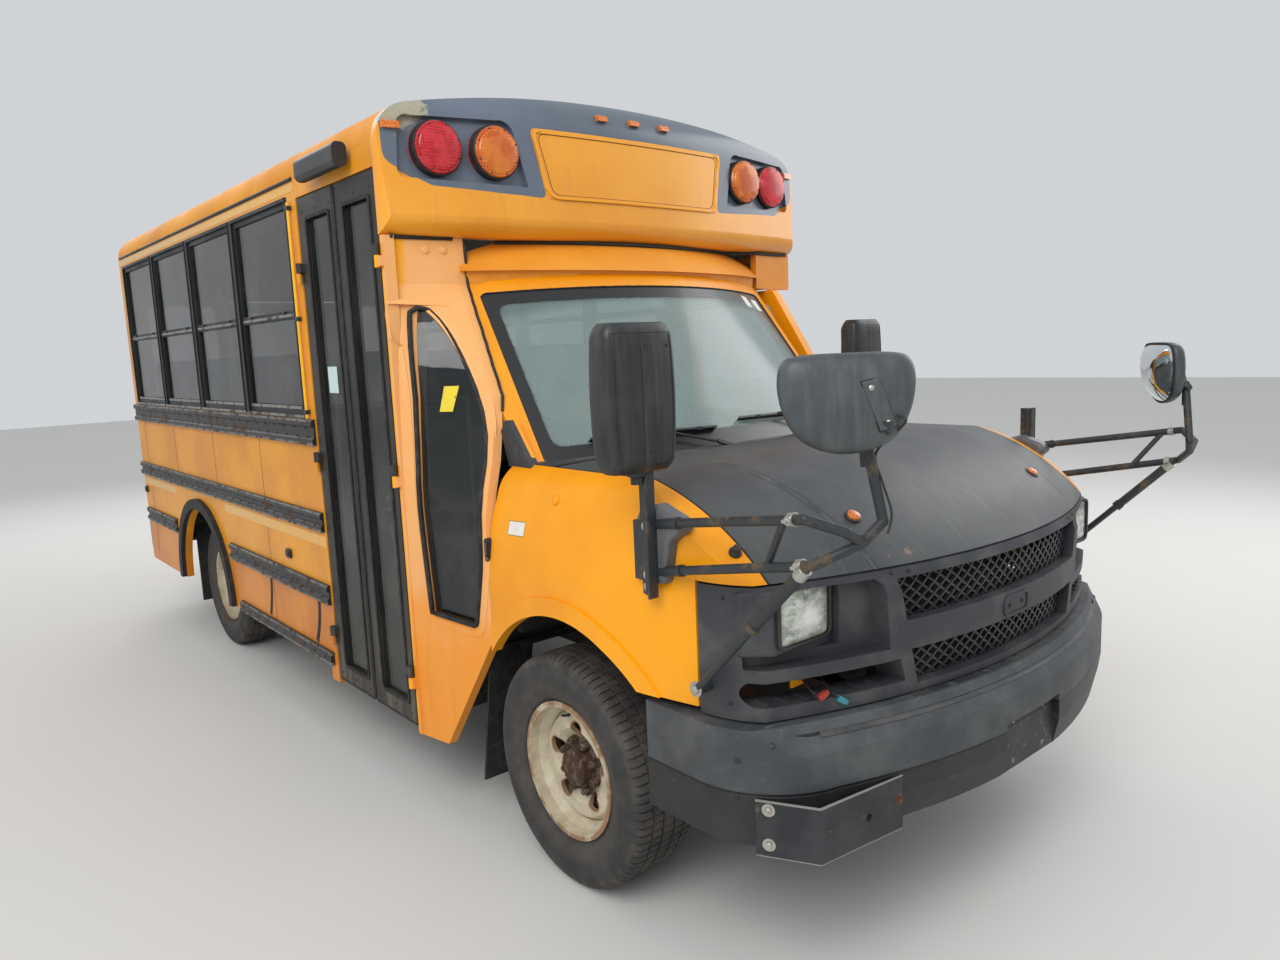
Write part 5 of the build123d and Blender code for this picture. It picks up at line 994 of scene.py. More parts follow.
def trimmedFascia():
    # the front moulding with its badge bar cut to the slimmer real depth
    source = nodes["front_fascia"]
    welded, plain = bmesh.new(), bpy.data.meshes.new("frontMoulding")
    welded.from_mesh(source.data)
    bmesh.ops.remove_doubles(welded, verts=welded.verts, dist=2e-6)
    welded.to_mesh(plain)
    welded.free()
    for layer in [a for a in plain.attributes if a.name == "custom_normal"]:
        plain.attributes.remove(layer)
    copy = bpy.data.objects.new("frontMoulding", plain)
    copy.matrix_world = source.matrix_world.copy()
    scene.collection.objects.link(copy)
    cutter = Shape()
    for low, high in ((nose["barLow"] - 4, nose["slotLow"]), (nose["slotHigh"], nose["barHigh"] + 4)):
        ring = [(-holeHalf(low), low), (holeHalf(low), low), (holeHalf(high), high), (-holeHalf(high), high)]
        cutter.plate([vec(x / 1000, -3.06, z / 1000) for x, z in ring], vec(0, 0.42, 0))
    for sign in (-1, 1):
        x0, x1 = sorted((sign * 640, sign * 770))
        cutter.block(at(x0, -870, 908), at(x1, -797, 1078))
    tool = cutter.make("barCutter", "mouldedGrey")
    cut = copy.modifiers.new("slimBar", "BOOLEAN")
    cut.operation, cut.solver, cut.object = "DIFFERENCE", "EXACT", tool
    bpy.context.view_layer.update()
    shape = bpy.data.meshes.new_from_object(copy.evaluated_get(bpy.context.evaluated_depsgraph_get()))
    copy.modifiers.clear()
    copy.data = shape
    shape.polygons.foreach_set("use_smooth", [True] * len(shape.polygons))
    shape.set_sharp_from_angle(angle=radians(32))
    shape.materials.clear()
    shape.materials.append(finishes["mouldedGrey"])
    return copy, tool


def meshDepth():
    # how far back the mesh lies at each height, read off the grille's own webs
    skin, depth = Skin("grille"), {}
    for z in range(774, 1070, 6):
        found = []
        for x in range(-46, 47, 3):
            hit = skin.front(x, z)
            if hit:
                found.append(hit[0].y - (2.1 - sqrt(2.1 ** 2 - (x / 1000) ** 2)))
        if found:
            depth[z] = min(found)
    return depth


def grilleMesh():
    # woven look: two crossing families of rounded bars in each opening
    depth = meshDepth()
    heights = sorted(depth)

    def onMesh(x, z, lift=0.0):
        low = max((h for h in heights if h <= z), default=heights[0])
        high = min((h for h in heights if h >= z), default=heights[-1])
        share = 0 if high == low else (z - low) / (high - low)
        y = depth[low] + (depth[high] - depth[low]) * share
        return vec(x / 1000, y + 2.1 - sqrt(2.1 ** 2 - (x / 1000) ** 2) - lift, z / 1000)

    bars = Shape()
    slope = nose["meshPitch"][0] / nose["meshPitch"][1]
    for low, high in ((nose["holeLow"][1] - 4, nose["slotLow"] + 5), (nose["slotHigh"] - 5, nose["holeHigh"][1] + 4)):
        reach = int(2 * (holeHalf(high) + (high - low) * slope) / nose["meshPitch"][0]) + 2
        for family in (-1, 1):
            for k in range(-reach, reach + 1):
                line = []
                for step in range(13):
                    z = low + (high - low) * step / 12
                    x = k * nose["meshPitch"][0] + family * (z - low) * slope
                    if abs(x) <= holeHalf(z) + 5:
                        line.append(onMesh(x, z, 0.001 if family > 0 else 0.0))
                if len(line) > 1:
                    bars.ribbon(line, vec(0, -1, 0), nose["meshWeb"] / 1000, 0.009)
    return bars.make("grilleMesh", "blackPlastic", sharpDeg=40)


moulding, barTool = trimmedFascia()
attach(moulding, "bus_body")
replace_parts(moulding, "front_fascia")
bpy.data.objects.remove(barTool)
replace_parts(grilleMesh(), "grille")


def fasciaDetail():
    # ribs on the ledges of the empty lamp slots, and screw heads
    ribs, screws = Shape(), Shape()
    for sign in (-1, 1):
        for k in range(7):
            x = sign * (560 + 52 * k)
            front = fasciaSkin.front(x, 778)
            if front:
                p = front[0] + vec(0, 0.012, 0.0075)
                ribs.block(p + vec(-0.0018, 0, 0), p + vec(0.0018, 0.045, 0.006))
        for x, z in ((935, 1068), (935, 905), (930, 792), (462, 1085), (520, 1088)):
            hit = fasciaSkin.front(sign * x, z)
            if hit:
                screws.dome(hit[0], hit[1], 0.006, 0.003, 14)
    ribs.make("slotLedgeRibs", "mouldedGrey")
    screws.make("fasciaScrews", "screwDark")


fasciaDetail()


def badgeSeat():
    # bare pad where a badge was fixed
    pad, rim = Shape(), Shape()
    corners = [(-62, 880), (62, 880), (70, 908), (62, 936), (-62, 936), (-70, 908)]
    path = densePath(roundedPath(corners, 14), 12)
    points = along([fasciaSkin.front(x, z) for x, z in path], -0.0005)[0]
    rim.ribbon(points, vec(0, -1, 0), 0.006, 0.005, closed=True)
    rim.make("badgeSeatRim", "mouldedGrey", bevel=0.001)
    for x in (-36, 36):
        hit = fasciaSkin.front(x, 908)
        pad.turned([(0.0065, -0.001), (0.0065, 0.003), (0.0035, 0.003), (0.003, 0.0005), (0, 0.0005)], hit[0],
                (0, -1, 0), 20)
    pad.make("badgeSeatHoles", "blackPlastic")


badgeSeat()


def looseConnectors():
    # lamp plugs hanging out of the right slot on short wires
    wires = Shape()
    for name, finish, x, z, turn in (("redConnector", "plugRed", -742, 797, 0.5),
            ("tealConnector", "plugTeal", -688, 776, -0.7)):
        lip = fasciaSkin.front(x, 770)
        centre = vec(x / 1000, lip[0].y - 0.006, z / 1000)
        heading = vec(cos(turn), -0.25, sin(turn) * 0.8)
        plug = Shape().tilted(centre, (0.013, 0.007, 0.008), heading, (0, 0, 1))
        plug.tilted(centre + heading.normalized() * 0.014, (0.006, 0.0055, 0.0062), heading, (0, 0, 1))
        plug.make(name, finish, bevel=0.0012)
        start = centre - heading.normalized() * 0.012
        root = vec(start.x + 0.02, start.y + 0.075, 0.822)
        for k in (-1, 1):
            side = vec(0, 0, 0.003 * k)
            line = smoothLine([start + side, start + vec(-0.006, 0.012, 0.012) + side,
                    start + vec(0.0, 0.04, 0.024) - side, root + side], 6)
            wires.pipe(line, 0.0016, 6)
    wires.make("plugWires", "wireBlack")


def plainPlastic(name, colour, roughness=0.45):
    newMaterial(name)
    rubbed = blobs(14, 3)
    return finished(mix(times(rubbed, 0.35), colour, "#5c564c"), Roughness=roughness)


finishes["plugRed"] = plainPlastic("redNylonPlug", "#a8271c")
finishes["plugTeal"] = plainPlastic("tealNylonPlug", "#2f8fa0")
finishes["wireBlack"] = plainPlastic("pvcWire", "#191919", 0.55)
looseConnectors()
yellowTab = Shape().block(at(-775, -772, 806), at(-725, -768, 846))
yellowTab.make("bodyEndBehindSlot", "enamelYellow")


# Bumper

def bumperMaterial():
    material = newMaterial("weatheredBumperCover")
    xyz = coords()
    z = inMm(xyz["Z"])
    wavy = plus(z, times(blobs(300, 2), 4.0))
    lower = ramp(wavy, nose["seamZ"] + 3.5, nose["seamZ"] + 1.0)
    line = times(ramp(wavy, nose["seamZ"] - 4.0, nose["seamZ"] - 1.5), ramp(wavy, nose["seamZ"] + 5.5,
            nose["seamZ"] + 3.0))
    faded = patches(0.36, 0.74, 190, 6, 0.62)
    upperColour = mix(faded, "#3c3f42", "#56585a")
    lowerColour = mix(faded, "#1d1e20", "#303031")
    colour = mix(lower, upperColour, lowerColour)
    scuff = patches(0.6, 0.72, 26, 6, 0.74, (0.35, 1, 1.6))
    top = ramp(z, 690.0, 738.0)
    amount = times(scuff, scaled(top, 0.5, 0.16))
    colour = mix(amount, colour, "#9b9689")
    x = absOf(xyz["X"])
    plate = times(ramp(x, 0.165, 0.15), times(ramp(z, 442.0, 452.0), ramp(z, 600.0, 590.0)))
    chalk = patches(0.55, 0.72, 18, 5, 0.7, (1, 1, 0.5))
    colour = mix(times(times(chalk, plate), 0.4), colour, "#aeaaa0")
    colour = mix(line, colour, "#0e0f10")
    feed(colour, "Base Color")
    feed(scaled(lower, -0.1, 0.6), "Roughness")
    height = plus(times(line, -2.2), times(blobs(2.2, 2), 0.35))
    bump(height, 1.0, 0.001)
    return material


finishes["bumperCover"] = bumperMaterial()
finishNode("front_bumper", "bumperCover")
bumperSkin = Skin("front_bumper")


def stepPads():
    # ribbed tread pads moulded on the middle of the bumper's top
    ribs = Shape()
    for centre in (-400, -240, -80, 80, 240, 400):
        for row in range(5):
            depth = 20 + row * 8.5
            line = []
            for k in range(9):
                x = centre - 66 + 132 * k / 8
                edge = -1050 + 2100 - sqrt(2100 ** 2 - x * x)
                hit = bumperSkin.above(x, edge + 34 + depth)
                if hit and hit[0].z > 0.7395:
                    line.append(hit[0] + vec(0, 0, -0.0004))
            if len(line) > 2:
                ribs.ribbon(line, vec(0, 0, 1), 0.0042, 0.0028)
    ribs.make("stepPadRibs", "bumperGrey")


def stepStrip():
    # backing strip under the chamfer, which closes the thin slit along it
    points = [at(x, -1050 + 34 + 2100 - sqrt(2100 ** 2 - x * x), 712) for x in range(-780, 781, 30)]
    Shape().ribbon(points, vec(0, -0.6, 0.8), 0.026, 0.004).make("bumperStepStrip", "bumperGrey")


def plateBolts():
    bolts = Shape()
    for x in (-1, 1):
        for z in (-1, 1):
            spot = at(x * nose["plateHoles"][0] / 2, nose["plateS"], nose["plateZ"] + z * nose["plateHoles"][1] / 2)
            bolts.turned([(0.0042, 0.001), (0.0065, 0.001), (0.0068, -0.0012), (0.0045, -0.0018), (0.0042, 0.001)],
                    spot, (0, 1, 0), 18)
    bolts.make("plateGrommets", "screwZinc")
    ends = Shape()
    for sign in (-1, 1):
        for x, z in ((905, 705), (960, 560), (958, 660)):
            hit = bumperSkin.front(sign * x, z)
            if hit:
                ends.dome(hit[0], hit[1], 0.008, 0.004, 16)
    ends.make("bumperPlugs", "blackPlastic")


stepPads()
stepStrip()
plateBolts()


def bracketMaterial():
    newMaterial("scrapedBlackBracket")
    patch = patches(0.6, 0.72, 70, 7, 0.7)
    base = mix(patches(0.4, 0.7, 120, 4), "#2a2c30", "#3b3d40")
    colour = mix(times(patch, 0.45), base, "#77705f")
    xyz = coords()
    edge = larger(ramp(xyz["Z"], 0.5625, 0.5655), ramp(xyz["Z"], 0.4215, 0.4185))
    colour = mix(times(edge, 0.7), colour, "#b9b6ae")
    for spot, size in ((at(-590, -975, 500), 0.028), (at(-690, -955, 428), 0.012)):
        away = awayFrom(spot)
        ragged = plus(away, times(blobs(9, 6, 0.75), 0.03))
        rust = ramp(ragged, size + 0.006, size - 0.004)
        colour = mix(times(rust, 0.85), colour, mix(blobs(5, 3), "#8a4720", "#c2723a"))
    return finished(colour, blobs(30, 4), 0.12, 0.002, Roughness=0.5, Metallic=0.25)


finishes["scrapedBracket"] = bracketMaterial()
finishNode("gate_bracket", "scrapedBracket")
bracketSkin = Skin("gate_bracket")
bracketBolts, rustyBolt = Shape(), Shape()
for x, z in ((-930, 545), (-930, 452)):
    hit = bracketSkin.front(x, z)
    bracketBolts.turned([(0, 0), (0.017, 0), (0.017, 0.002), (0, 0.002)], hit[0], hit[1], 24)
    bracketBolts.bolt(hit[0] + hit[1] * 0.002, hit[1], 0.0095, 0.008, 6, False)
hit = bracketSkin.front(-592, 500)
rustyBolt.bolt(hit[0], hit[1], 0.0085, 0.007)
hit = bracketSkin.front(-840, 500)
rustyBolt.dome(hit[0], hit[1], 0.004, 0.003)
bracketBolts.make("bracketBolts", "screwZinc")
rustyBolt.make("bracketRustyBolt", "rustySteel")
print("stage: nose and bumper")


# Mirrors: barrel-backed flat heads, half-round cross-view heads, arms with clamps, bases

mirrors = {"tip": -1110, "bigWidth": 236, "bigHeight": 375, "bigDepth": 105, "squareness": 4.2,
        "crossOutline": [(-145, 30), (-134, 74), (-96, 88), (0, 90), (96, 88), (134, 74), (145, 30), (134, -32),
        (104, -84), (56, -112), (0, -121), (-56, -112), (-104, -84), (-134, -32)]}


def mirrorSilver():
    material = newMaterial("silveredMirrorGlass")
    film = patches(0.45, 0.8, 60, 5)
    feed(mix(times(film, 0.3), "#cfd6d8", "#8f8c80"), "Base Color")
    feed(times(film, 0.25), "Roughness")
    setShader(Metallic=1.0)
    return material


def shellPlastic(name, base, pale, dusty):
    # textured black housing with dust lying in upright streaks
    newMaterial(name)
    streak = patches(0.42, 0.75, 30, 4, 0.6, (1, 1, 0.09))
    patch = patches(0.4, 0.7, 90, 5)
    colour = mix(times(patch, 0.5), base, pale)
    colour = mix(times(streak, 0.3), colour, dusty)
    return finished(colour, blobs(1.6, 2), 0.3, 0.0005, Roughness=0.42)


finishes["mirrorSilver"] = mirrorSilver()
finishes["mirrorShell"] = shellPlastic("texturedMirrorHousing", "#1f2123", "#34373a", "#5f5d57")
finishes["crossShell"] = shellPlastic("bleachedMirrorHousing", "#3c4246", "#4f565b", "#77756d")
finishes["baseGrey"] = shellPlastic("sunBleachedBaseCover", "#55575a", "#6b6c6c", "#8b867a")
finishes["armPaint"] = rustyMetal("powderCoatedArm", "#2c3033", "#6d6250", 0.34, 0.45, 0.0, 70)


def headPoint(head, t, u, front=True):
    # t runs -1 to 1 up the head, u -1 to 1 across it
    end = max(0.0, (abs(t) - 0.80) / 0.20)
    wide = head["w"] / 2 * (1 - 0.085 * t * t) * (1 - 0.16 * end ** 2.6)
    deep = head["d"] / 2 * (1 - 0.10 * t * t) * (1 - 0.30 * end ** 2.2)
    power = mirrors["squareness"]
    y = deep * (1 - min(1.0, abs(u)) ** power) ** (1 / power)
    y = -y if front else min(y, deep * 0.80)
    return at(head["x"] + wide * u, head["s"] + y, head["z"] + head["h"] / 2 * t)


def bigHead(name, x, s, z, width, body="bus_body"):
    head = {"x": x, "s": s, "z": z, "w": width, "h": mirrors["bigHeight"], "d": mirrors["bigDepth"]}
    levels = [-1, -0.985, -0.955, -0.91, -0.86, -0.8, -0.6, -0.35, 0, 0.35, 0.6, 0.8, 0.86, 0.91, 0.955, 0.985, 1]
    across = [sin(pi / 2 * k / 12) for k in range(-12, 13)]
    verts = []
    for t in levels:
        verts += [headPoint(head, t, u) for u in across] + [headPoint(head, t, u, False)
                for u in reversed(across[1:-1])]
    ring = 2 * len(across) - 2
    faces = ringFaces(len(levels), ring) + [tuple(range(ring)), tuple(reversed(range(len(verts) - ring, len(verts))))]
    Shape().add(verts, faces).make(name + "Housing", "mirrorShell", body, sharpDeg=50)
    out = vec(0, -1, 0)
    ridges, seam, screws = Shape(), Shape(), Shape()
    for u in (-0.78, 0.80):
        ridges.ribbon([headPoint(head, t / 20, u) for t in range(-17, 18)], out, 0.004, 0.0014)
    seam.ribbon([headPoint(head, t / 20, -0.1) for t in range(-19, 20)], out, 0.0022, 0.0004)
    seam.ribbon([headPoint(head, 0.86, k / 12) for k in range(-11, 12)], out, 0.0016, 0.0003)
    for t, u in ((0.68, 0.05), (0.68, 0.66), (-0.72, 0.1), (-0.7, -0.7), (-0.86, 0.3)):
        screws.turned([(0.0048, -0.0006), (0.0048, 0.0008), (0.003, 0.0008), (0.0022, -0.0004), (0, -0.0004)],
                headPoint(head, t, u), out, 14)
    ridges.make(name + "Ridges", "mirrorShell", body)
    seam.make(name + "Seam", "seamBlackAndGapShade", body)
    screws.make(name + "Screws", "blackPlastic", body)
    back = head["s"] + head["d"] / 2 * 0.80
    for part, low, high in (("Flat", -0.30, 0.86), ("Convex", -0.84, -0.36)):
        corners = [(x + width * 0.40 * i, z + head["h"] / 2 * t) for i, t in ((-1, low), (1, low), (1, high),
                (-1, high))]
        pane = roundedPath(corners, 22)
        bulge = 5.0 if part == "Convex" else 0.0
        middle = Vector((x, z + head["h"] / 4 * (low + high)))
        inner = [middle.lerp(Vector(p), 0.55) for p in pane]
        verts = [at(p[0], back + 1.2, p[1]) for p in pane]
        verts += [at(p[0], back + 1.6 + bulge * 0.7, p[1]) for p in inner] + [at(middle[0], back + 1.6 + bulge,
                middle[1])]
        n = len(pane)
        faces = ringFaces(2, n) + [(n + k, n + (k + 1) % n, 2 * n) for k in range(n)]
        Shape().add(verts, faces).make(name + part + "Glass", "mirrorSilver", body, sharpDeg=80)
        rim = [at(p[0], back - 0.3, p[1]) for p in pane]
        Shape().ribbon(rim, vec(0, 1, 0), 0.007, 0.004, closed=True).make(name + part + "Rim", "blackPlastic", body,
                bevel=0.001)
    foot = at(x, s, z - head["h"] / 2)
    Shape().turned([(0, 0.004), (0.030, 0.004), (0.026, -0.012), (0.017, -0.016), (0.016, -0.034), (0, -0.034)], foot,
            (0, 0, 1), 28).make(name + "Socket", "blackPlastic", body)


def crossHead(name, sign, x, s, z):
    # local axes: across, upright, and out of the black back
    back = vec(sign * 0.62, -0.78, 0.08).normalized()
    across = vec(0.78, sign * 0.62, 0).normalized()
    upright = back.cross(across)
    centre = at(x, s, z)

    def local(u, v, w):
        return centre + (across * u + upright * v + back * w) / 1000

    outline = smoothLine([vec(u, v, 0) for u, v in mirrors["crossOutline"]], 5, closed=True)
    n = len(outline)
    middle = vec(0, -8, 0)

    def dome(levels):
        verts = []
        for share, w in levels:
            verts += [local(p.x, p.y, w) for p in (middle.lerp(q, share) for q in outline)]
        return verts, ringFaces(len(levels), n) + [tuple(range((len(levels) - 1) * n, len(levels) * n))]

    shell = Shape().add(*dome([(0.955, -9), (0.985, -7), (1.0, 0), (0.995, 8), (0.97, 17), (0.92, 25), (0.84, 31),
            (0.7, 36), (0.5, 40), (0.25, 42), (0.05, 42.5)]))
    shell.make(name + "Housing", "crossShell", sharpDeg=60)
    Shape().add(*dome([(0.955, -8), (0.94, -12), (0.87, -21), (0.75, -33), (0.6, -44), (0.4, -53), (0.2, -58),
            (0.05, -59)])).make(name + "Glass", "mirrorSilver", sharpDeg=60)
    edge = Shape().ribbon([local(p.x * 0.957, p.y * 0.957 - 0.4, -9) for p in outline], -back, 0.009, 0.004,
            closed=True)
    edge.make(name + "Rim", "rubber", bevel=0.001)
    side = 1 if sign < 0 else -1
    spots = [(side * 20, 26), (side * 58, 34), (side * 92, -64), (side * 58, -76)]
    plate = Shape().plate([local(u, v, 33) for u, v in spots], back * 0.0125)
    plate.make(name + "Plate", "crossShell", bevel=0.003, bevelSteps=3)
    border = densePath(spots, 12)
    Shape().ribbon([local(u, v, 38 - 5.5 * ((u * u + v * v) / 9000)) for u, v in border], back, 0.005, 0.0045,
            closed=True).make(name + "PlateRecess", "seamBlackAndGapShade")
    bolts = Shape()
    for u, v in ((side * 40, 14), (side * 74, -58)):
        bolts.dome(local(u, v, 45.5), back, 0.0062, 0.004, 14)
    bolts.make(name + "Bolts", "screwZinc")
    return local, side


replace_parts(Shape().rod(at(-1011, -500, 1372), at(-1011, -500, 1400), 0.012).make("headStem", "armPaint"),
        "mirror_heads")
bigHead("rightMirror", -1042, -500, 1578, mirrors["bigWidth"])
localRight, sideRight = crossHead("rightCrossMirror", -1, -965, -1100, 1585)
localLeft, sideLeft = crossHead("leftCrossMirror", 1, 925, -1020, 1555)


def towards(a, b, share):
    return Vector(a).lerp(Vector(b), share)


def clampRing(shape, place, axis, radius, width):
    axis = Vector(axis).normalized()
    shape.turned([(radius * 0.9, -width / 2), (radius + 0.004, -width / 2), (radius + 0.004, width / 2),
            (radius * 0.9, width / 2)], place, axis, 24)
    side = axis.cross(vec(0, 0, 1)).normalized()
    shape.tilted(place + side * (radius + 0.009), (0.007, 0.004, width * 0.4), side, axis)


for sign, side, local, flip in ((-1, "Right", localRight, sideRight), (1, "Left", localLeft, sideLeft)):
    tip = mirrors["tip"]
    upper = [at(sign * 985, -470, 1240), at(sign * 1046, tip + 60, 1330)]
    lower = [at(sign * 985, -470, 1110), at(sign * 1020, tip + 60, 1225)]
    strut = [at(sign * 1020, tip + 70, 1225), at(sign * 985, -640, 830)]
    clamps, sleeves, bolts = Shape(), Shape(), Shape()
    for line in (upper, lower):
        run = line[1] - line[0]
        clampRing(clamps, towards(*line, 0.94), run, 0.012, 0.018)
        clampRing(clamps, towards(*line, 0.035), run, 0.012, 0.022)
        sleeves.rod(towards(*line, 0.06), towards(*line, 0.22), 0.0142, 20)
        sleeves.rod(towards(*line, 0.22), towards(*line, 0.24), 0.0158, 20)
        place = towards(*line, 0.94) + vec(sign * 0.018, 0, 0)
        bolts.bolt(place, (sign, 0, 0), 0.006, 0.006)
    sleeves.rod(towards(*strut, 0.03), towards(*strut, 0.44), 0.0148, 20)
    sleeves.rod(towards(*strut, 0.44), towards(*strut, 0.475), 0.0175, 20)
    clampRing(clamps, towards(*strut, 0.055), strut[1] - strut[0], 0.013, 0.03)
    bolts.turned([(0.021, -0.002), (0.021, 0.001), (0.0125, 0.0015), (0.0125, 0.008), (0.009, 0.0105), (0, 0.011)],
            at(sign * 992, -640, 830), (sign, 0, 0), 20)
    bar = Shape().block(at(sign * 1004, -516, 1056), at(sign * 1012, -470, 1398))
    bar.block(at(sign * 1000, -520, 1052), at(sign * 1032, -512, 1400))
    bar.make("mirrorPost" + side, "armPaint", bevel=0.002)
    for z in (1240, 1110, 1078):
        bolts.bolt(at(sign * 1013, -490, z), (sign, 0, 0), 0.0075, 0.007)
    cover = [(-428, 1086), (-428, 1246), (-448, 1280), (-500, 1296), (-585, 1268), (-606, 1240), (-560, 1200),
            (-540, 1086)]
    cover = [at(sign * 934, s, z) for s, z in cover]
    Shape().plate(cover, vec(sign * 0.064, 0, 0)).make("mirrorBaseCover" + side, "baseGrey", bevel=0.014,
            bevelSteps=4)
    clamps.make("armClamps" + side, "screwZinc", bevel=0.001)
    sleeves.make("armSleeves" + side, "armPaint", sharpDeg=40)
    bolts.make("armBolts" + side, "screwZinc")
    end = at(sign * 905, tip + 6, 1490)
    hook = smoothLine([end - vec(0, 0, 0.06), end, end.lerp(local(flip * 84, -72, 46), 0.6) + vec(0, -0.006, 0),
            local(flip * 72, -52, 45)], 6)
    Shape().pipe(hook, 0.0115, 16).make("crossMirrorStem" + side, "armPaint")
    if sign < 0:
        cable = smoothLine([local(flip * 96, -44, 36), local(flip * 108, -60, 44), end + vec(0.018, -0.014, -0.03),
                at(-884, tip - 20, 1400), at(-872, tip - 36, 1330), at(-884, tip - 34, 1285)], 7)
        Shape().pipe(cable, 0.0028, 8).make("mirrorHeaterCable", "wireBlack")
finishNode("mirror_arms", "armPaint")

# Driver's mirror on the door, on its bent arm
doorArm = Shape().pipe(smoothLine([at(1019, 430, 1120), at(1052, 414, 1160), at(1083, 402, 1200), at(1085, 372, 1320),
        at(1084, 345, 1440)], 5), 0.0118, 16)
doorArm.block(at(1008, 405, 1085), at(1016, 455, 1172))
doorArm.make("doorMirrorArm", "armPaint", "driver_door", bevel=0.0015)
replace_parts(Shape().rod(at(1084, 345, 1400), at(1084, 345, 1420), 0.016).make("doorMirrorCollar", "screwZinc",
        "driver_door"), "door_mirror")
bigHead("driverMirror", 1050, 330, 1600, 220, "driver_door")
doorBolts = Shape()
for s, z in ((418, 1100), (442, 1100), (418, 1158), (442, 1158)):
    doorBolts.bolt(at(1016, s, z), (1, 0, 0), 0.0055, 0.005)
doorBolts.make("doorMirrorBolts", "screwZinc", "driver_door")
print("stage: mirrors")


# Wheels: tyres with cut tread and ringed walls, cream discs rusted at the hub, nuts, caps, valves

tyre = {"middle": 866, "radius": 379, "blocks": 88, "wheelbase": 3531, "lugPcr": 82.5, "holePcr": 122, "face": 899,
        "hubR": 58}


def lengthOf(a, b):
    return maths("SQRT", plus(times(a, a), times(b, b)))


def wheelPlace():
    # y, z and radius about the nearer axle, in millimetres
    xyz = coords()
    centre = scaled(isOver(xyz["Y"], 0.0), tyre["wheelbase"] / 1000, axleY)
    y = times(minus(xyz["Y"], centre), 1000.0)
    z = minus(inMm(xyz["Z"]), float(tyre["radius"]))
    return y, z, lengthOf(y, z)


def wheelMaterial():
    material = newMaterial("creamWheelEnamelRustedHub")
    y, z, r = wheelPlace()
    soft = patches(0.35, 0.7, 90, 4)
    colour = mix(soft, "#c8bda4", "#aa9d84")
    grime = patches(0.52, 0.74, 22, 6, 0.7)
    colour = mix(times(grime, 0.4), colour, "#8a7355")
    hole = None
    for k in range(5):
        turn = radians(90 + 72 * k)
        away = lengthOf(minus(y, cos(turn) * tyre["holePcr"]), minus(z, sin(turn) * tyre["holePcr"]))
        hole = away if hole is None else maths("MINIMUM", hole, away)
    ragged = times(minus(blobs(9, 5, 0.7), 0.5), 16.0)
    burnt = ramp(plus(hole, ragged), 35.0, 27.5)
    lip = ramp(plus(r, ragged), 203.0, 212.0)
    edge = larger(burnt, times(lip, patches(0.36, 0.56, 60, 4)))
    rust = mix(blobs(6, 4), "#6a4527", "#a3764a")
    colour = mix(times(edge, 0.85), colour, rust)
    wide = times(minus(blobs(30, 5, 0.65), 0.5), 46.0)
    hub = ramp(plus(r, wide), 101.0, 90.0)
    crust = mix(blobs(14, 6, 0.7), "#3f332b", "#7b6a5c")
    colour = mix(hub, colour, crust)
    inside = isUnder(absOf(coords()["X"]), 0.862)
    colour = mix(times(inside, 0.85), colour, "#3a2d24")
    feed(colour, "Base Color")
    feed(scaled(larger(hub, edge), 0.35, 0.42), "Roughness")
    height = times(plus(hub, times(edge, 0.4)), blobs(7, 5))
    bump(height, 0.9, 0.003)
    return material


def tyreMaterial():
    newMaterial("weatheredTyreRubber")
    r = wheelPlace()[2]
    wall = ramp(r, 352.0, 340.0)
    dust = patches(0.36, 0.7, 85, 5, 0.62)
    base = mix(wall, "#333130", "#2d2d2d")
    dusty = mix(wall, "#615a52", "#4a4846")
    colour = mix(times(dust, 0.6), base, dusty)
    brown = times(ramp(r, 226.0, 250.0), ramp(r, 300.0, 262.0))
    colour = mix(times(brown, 0.22), colour, "#665747")
    specks = patches(0.70, 0.74, 5, 3)
    colour = mix(times(specks, 0.5), colour, "#8b8478")
    return finished(colour, blobs(3, 3), 0.3, 0.0006, Roughness=0.78)


finishes["wheelCream"] = wheelMaterial()
finishes["tyreRubber"] = tyreMaterial()
finishes["rustyNut"] = rustyMetal("rustedHubSteel", "#5d5147", "#4b3323", 0.7, 0.75, 0.1, 25)

# section rows: radius, offset from the middle plane, how deep the cross cuts go
tyreWall = [(212, 88, 0), (221, 92, 0), (227, 95, 0), (232, 100.5, 0), (235, 103.5, 0), (239, 103.2, 0),
        (248, 107.5, 0), (262, 114.6, 0), (266, 117.0, 0), (270, 117.4, 0), (273, 118.2, 0), (287, 122.3, 0),
        (301.5, 124.2, 0), (315, 123.9, 0), (318, 125.2, 0), (321, 125.0, 0), (324, 123.2, 0), (334, 121.4, 0),
        (342, 118.6, 0), (348, 116.2, 0.8), (355, 113.6, 3.6), (361, 111.0, 5.5), (366, 107.8, 6.0),
        (370, 103.4, 6.0), (373.5, 97.6, 5.8), (375.4, 89, 5.6), (376.8, 76, 5.2), (377.2, 67, 5.0), (370.4, 65.6, 0),
        (370.4, 59.4, 0), (377.8, 57.8, 3.4), (378.4, 42, 2.6), (378.7, 27.6, 3.4), (371.6, 26, 0), (371.6, 20, 0),
        (379, 18.4, 3.0), (379, 0, 1.4)]


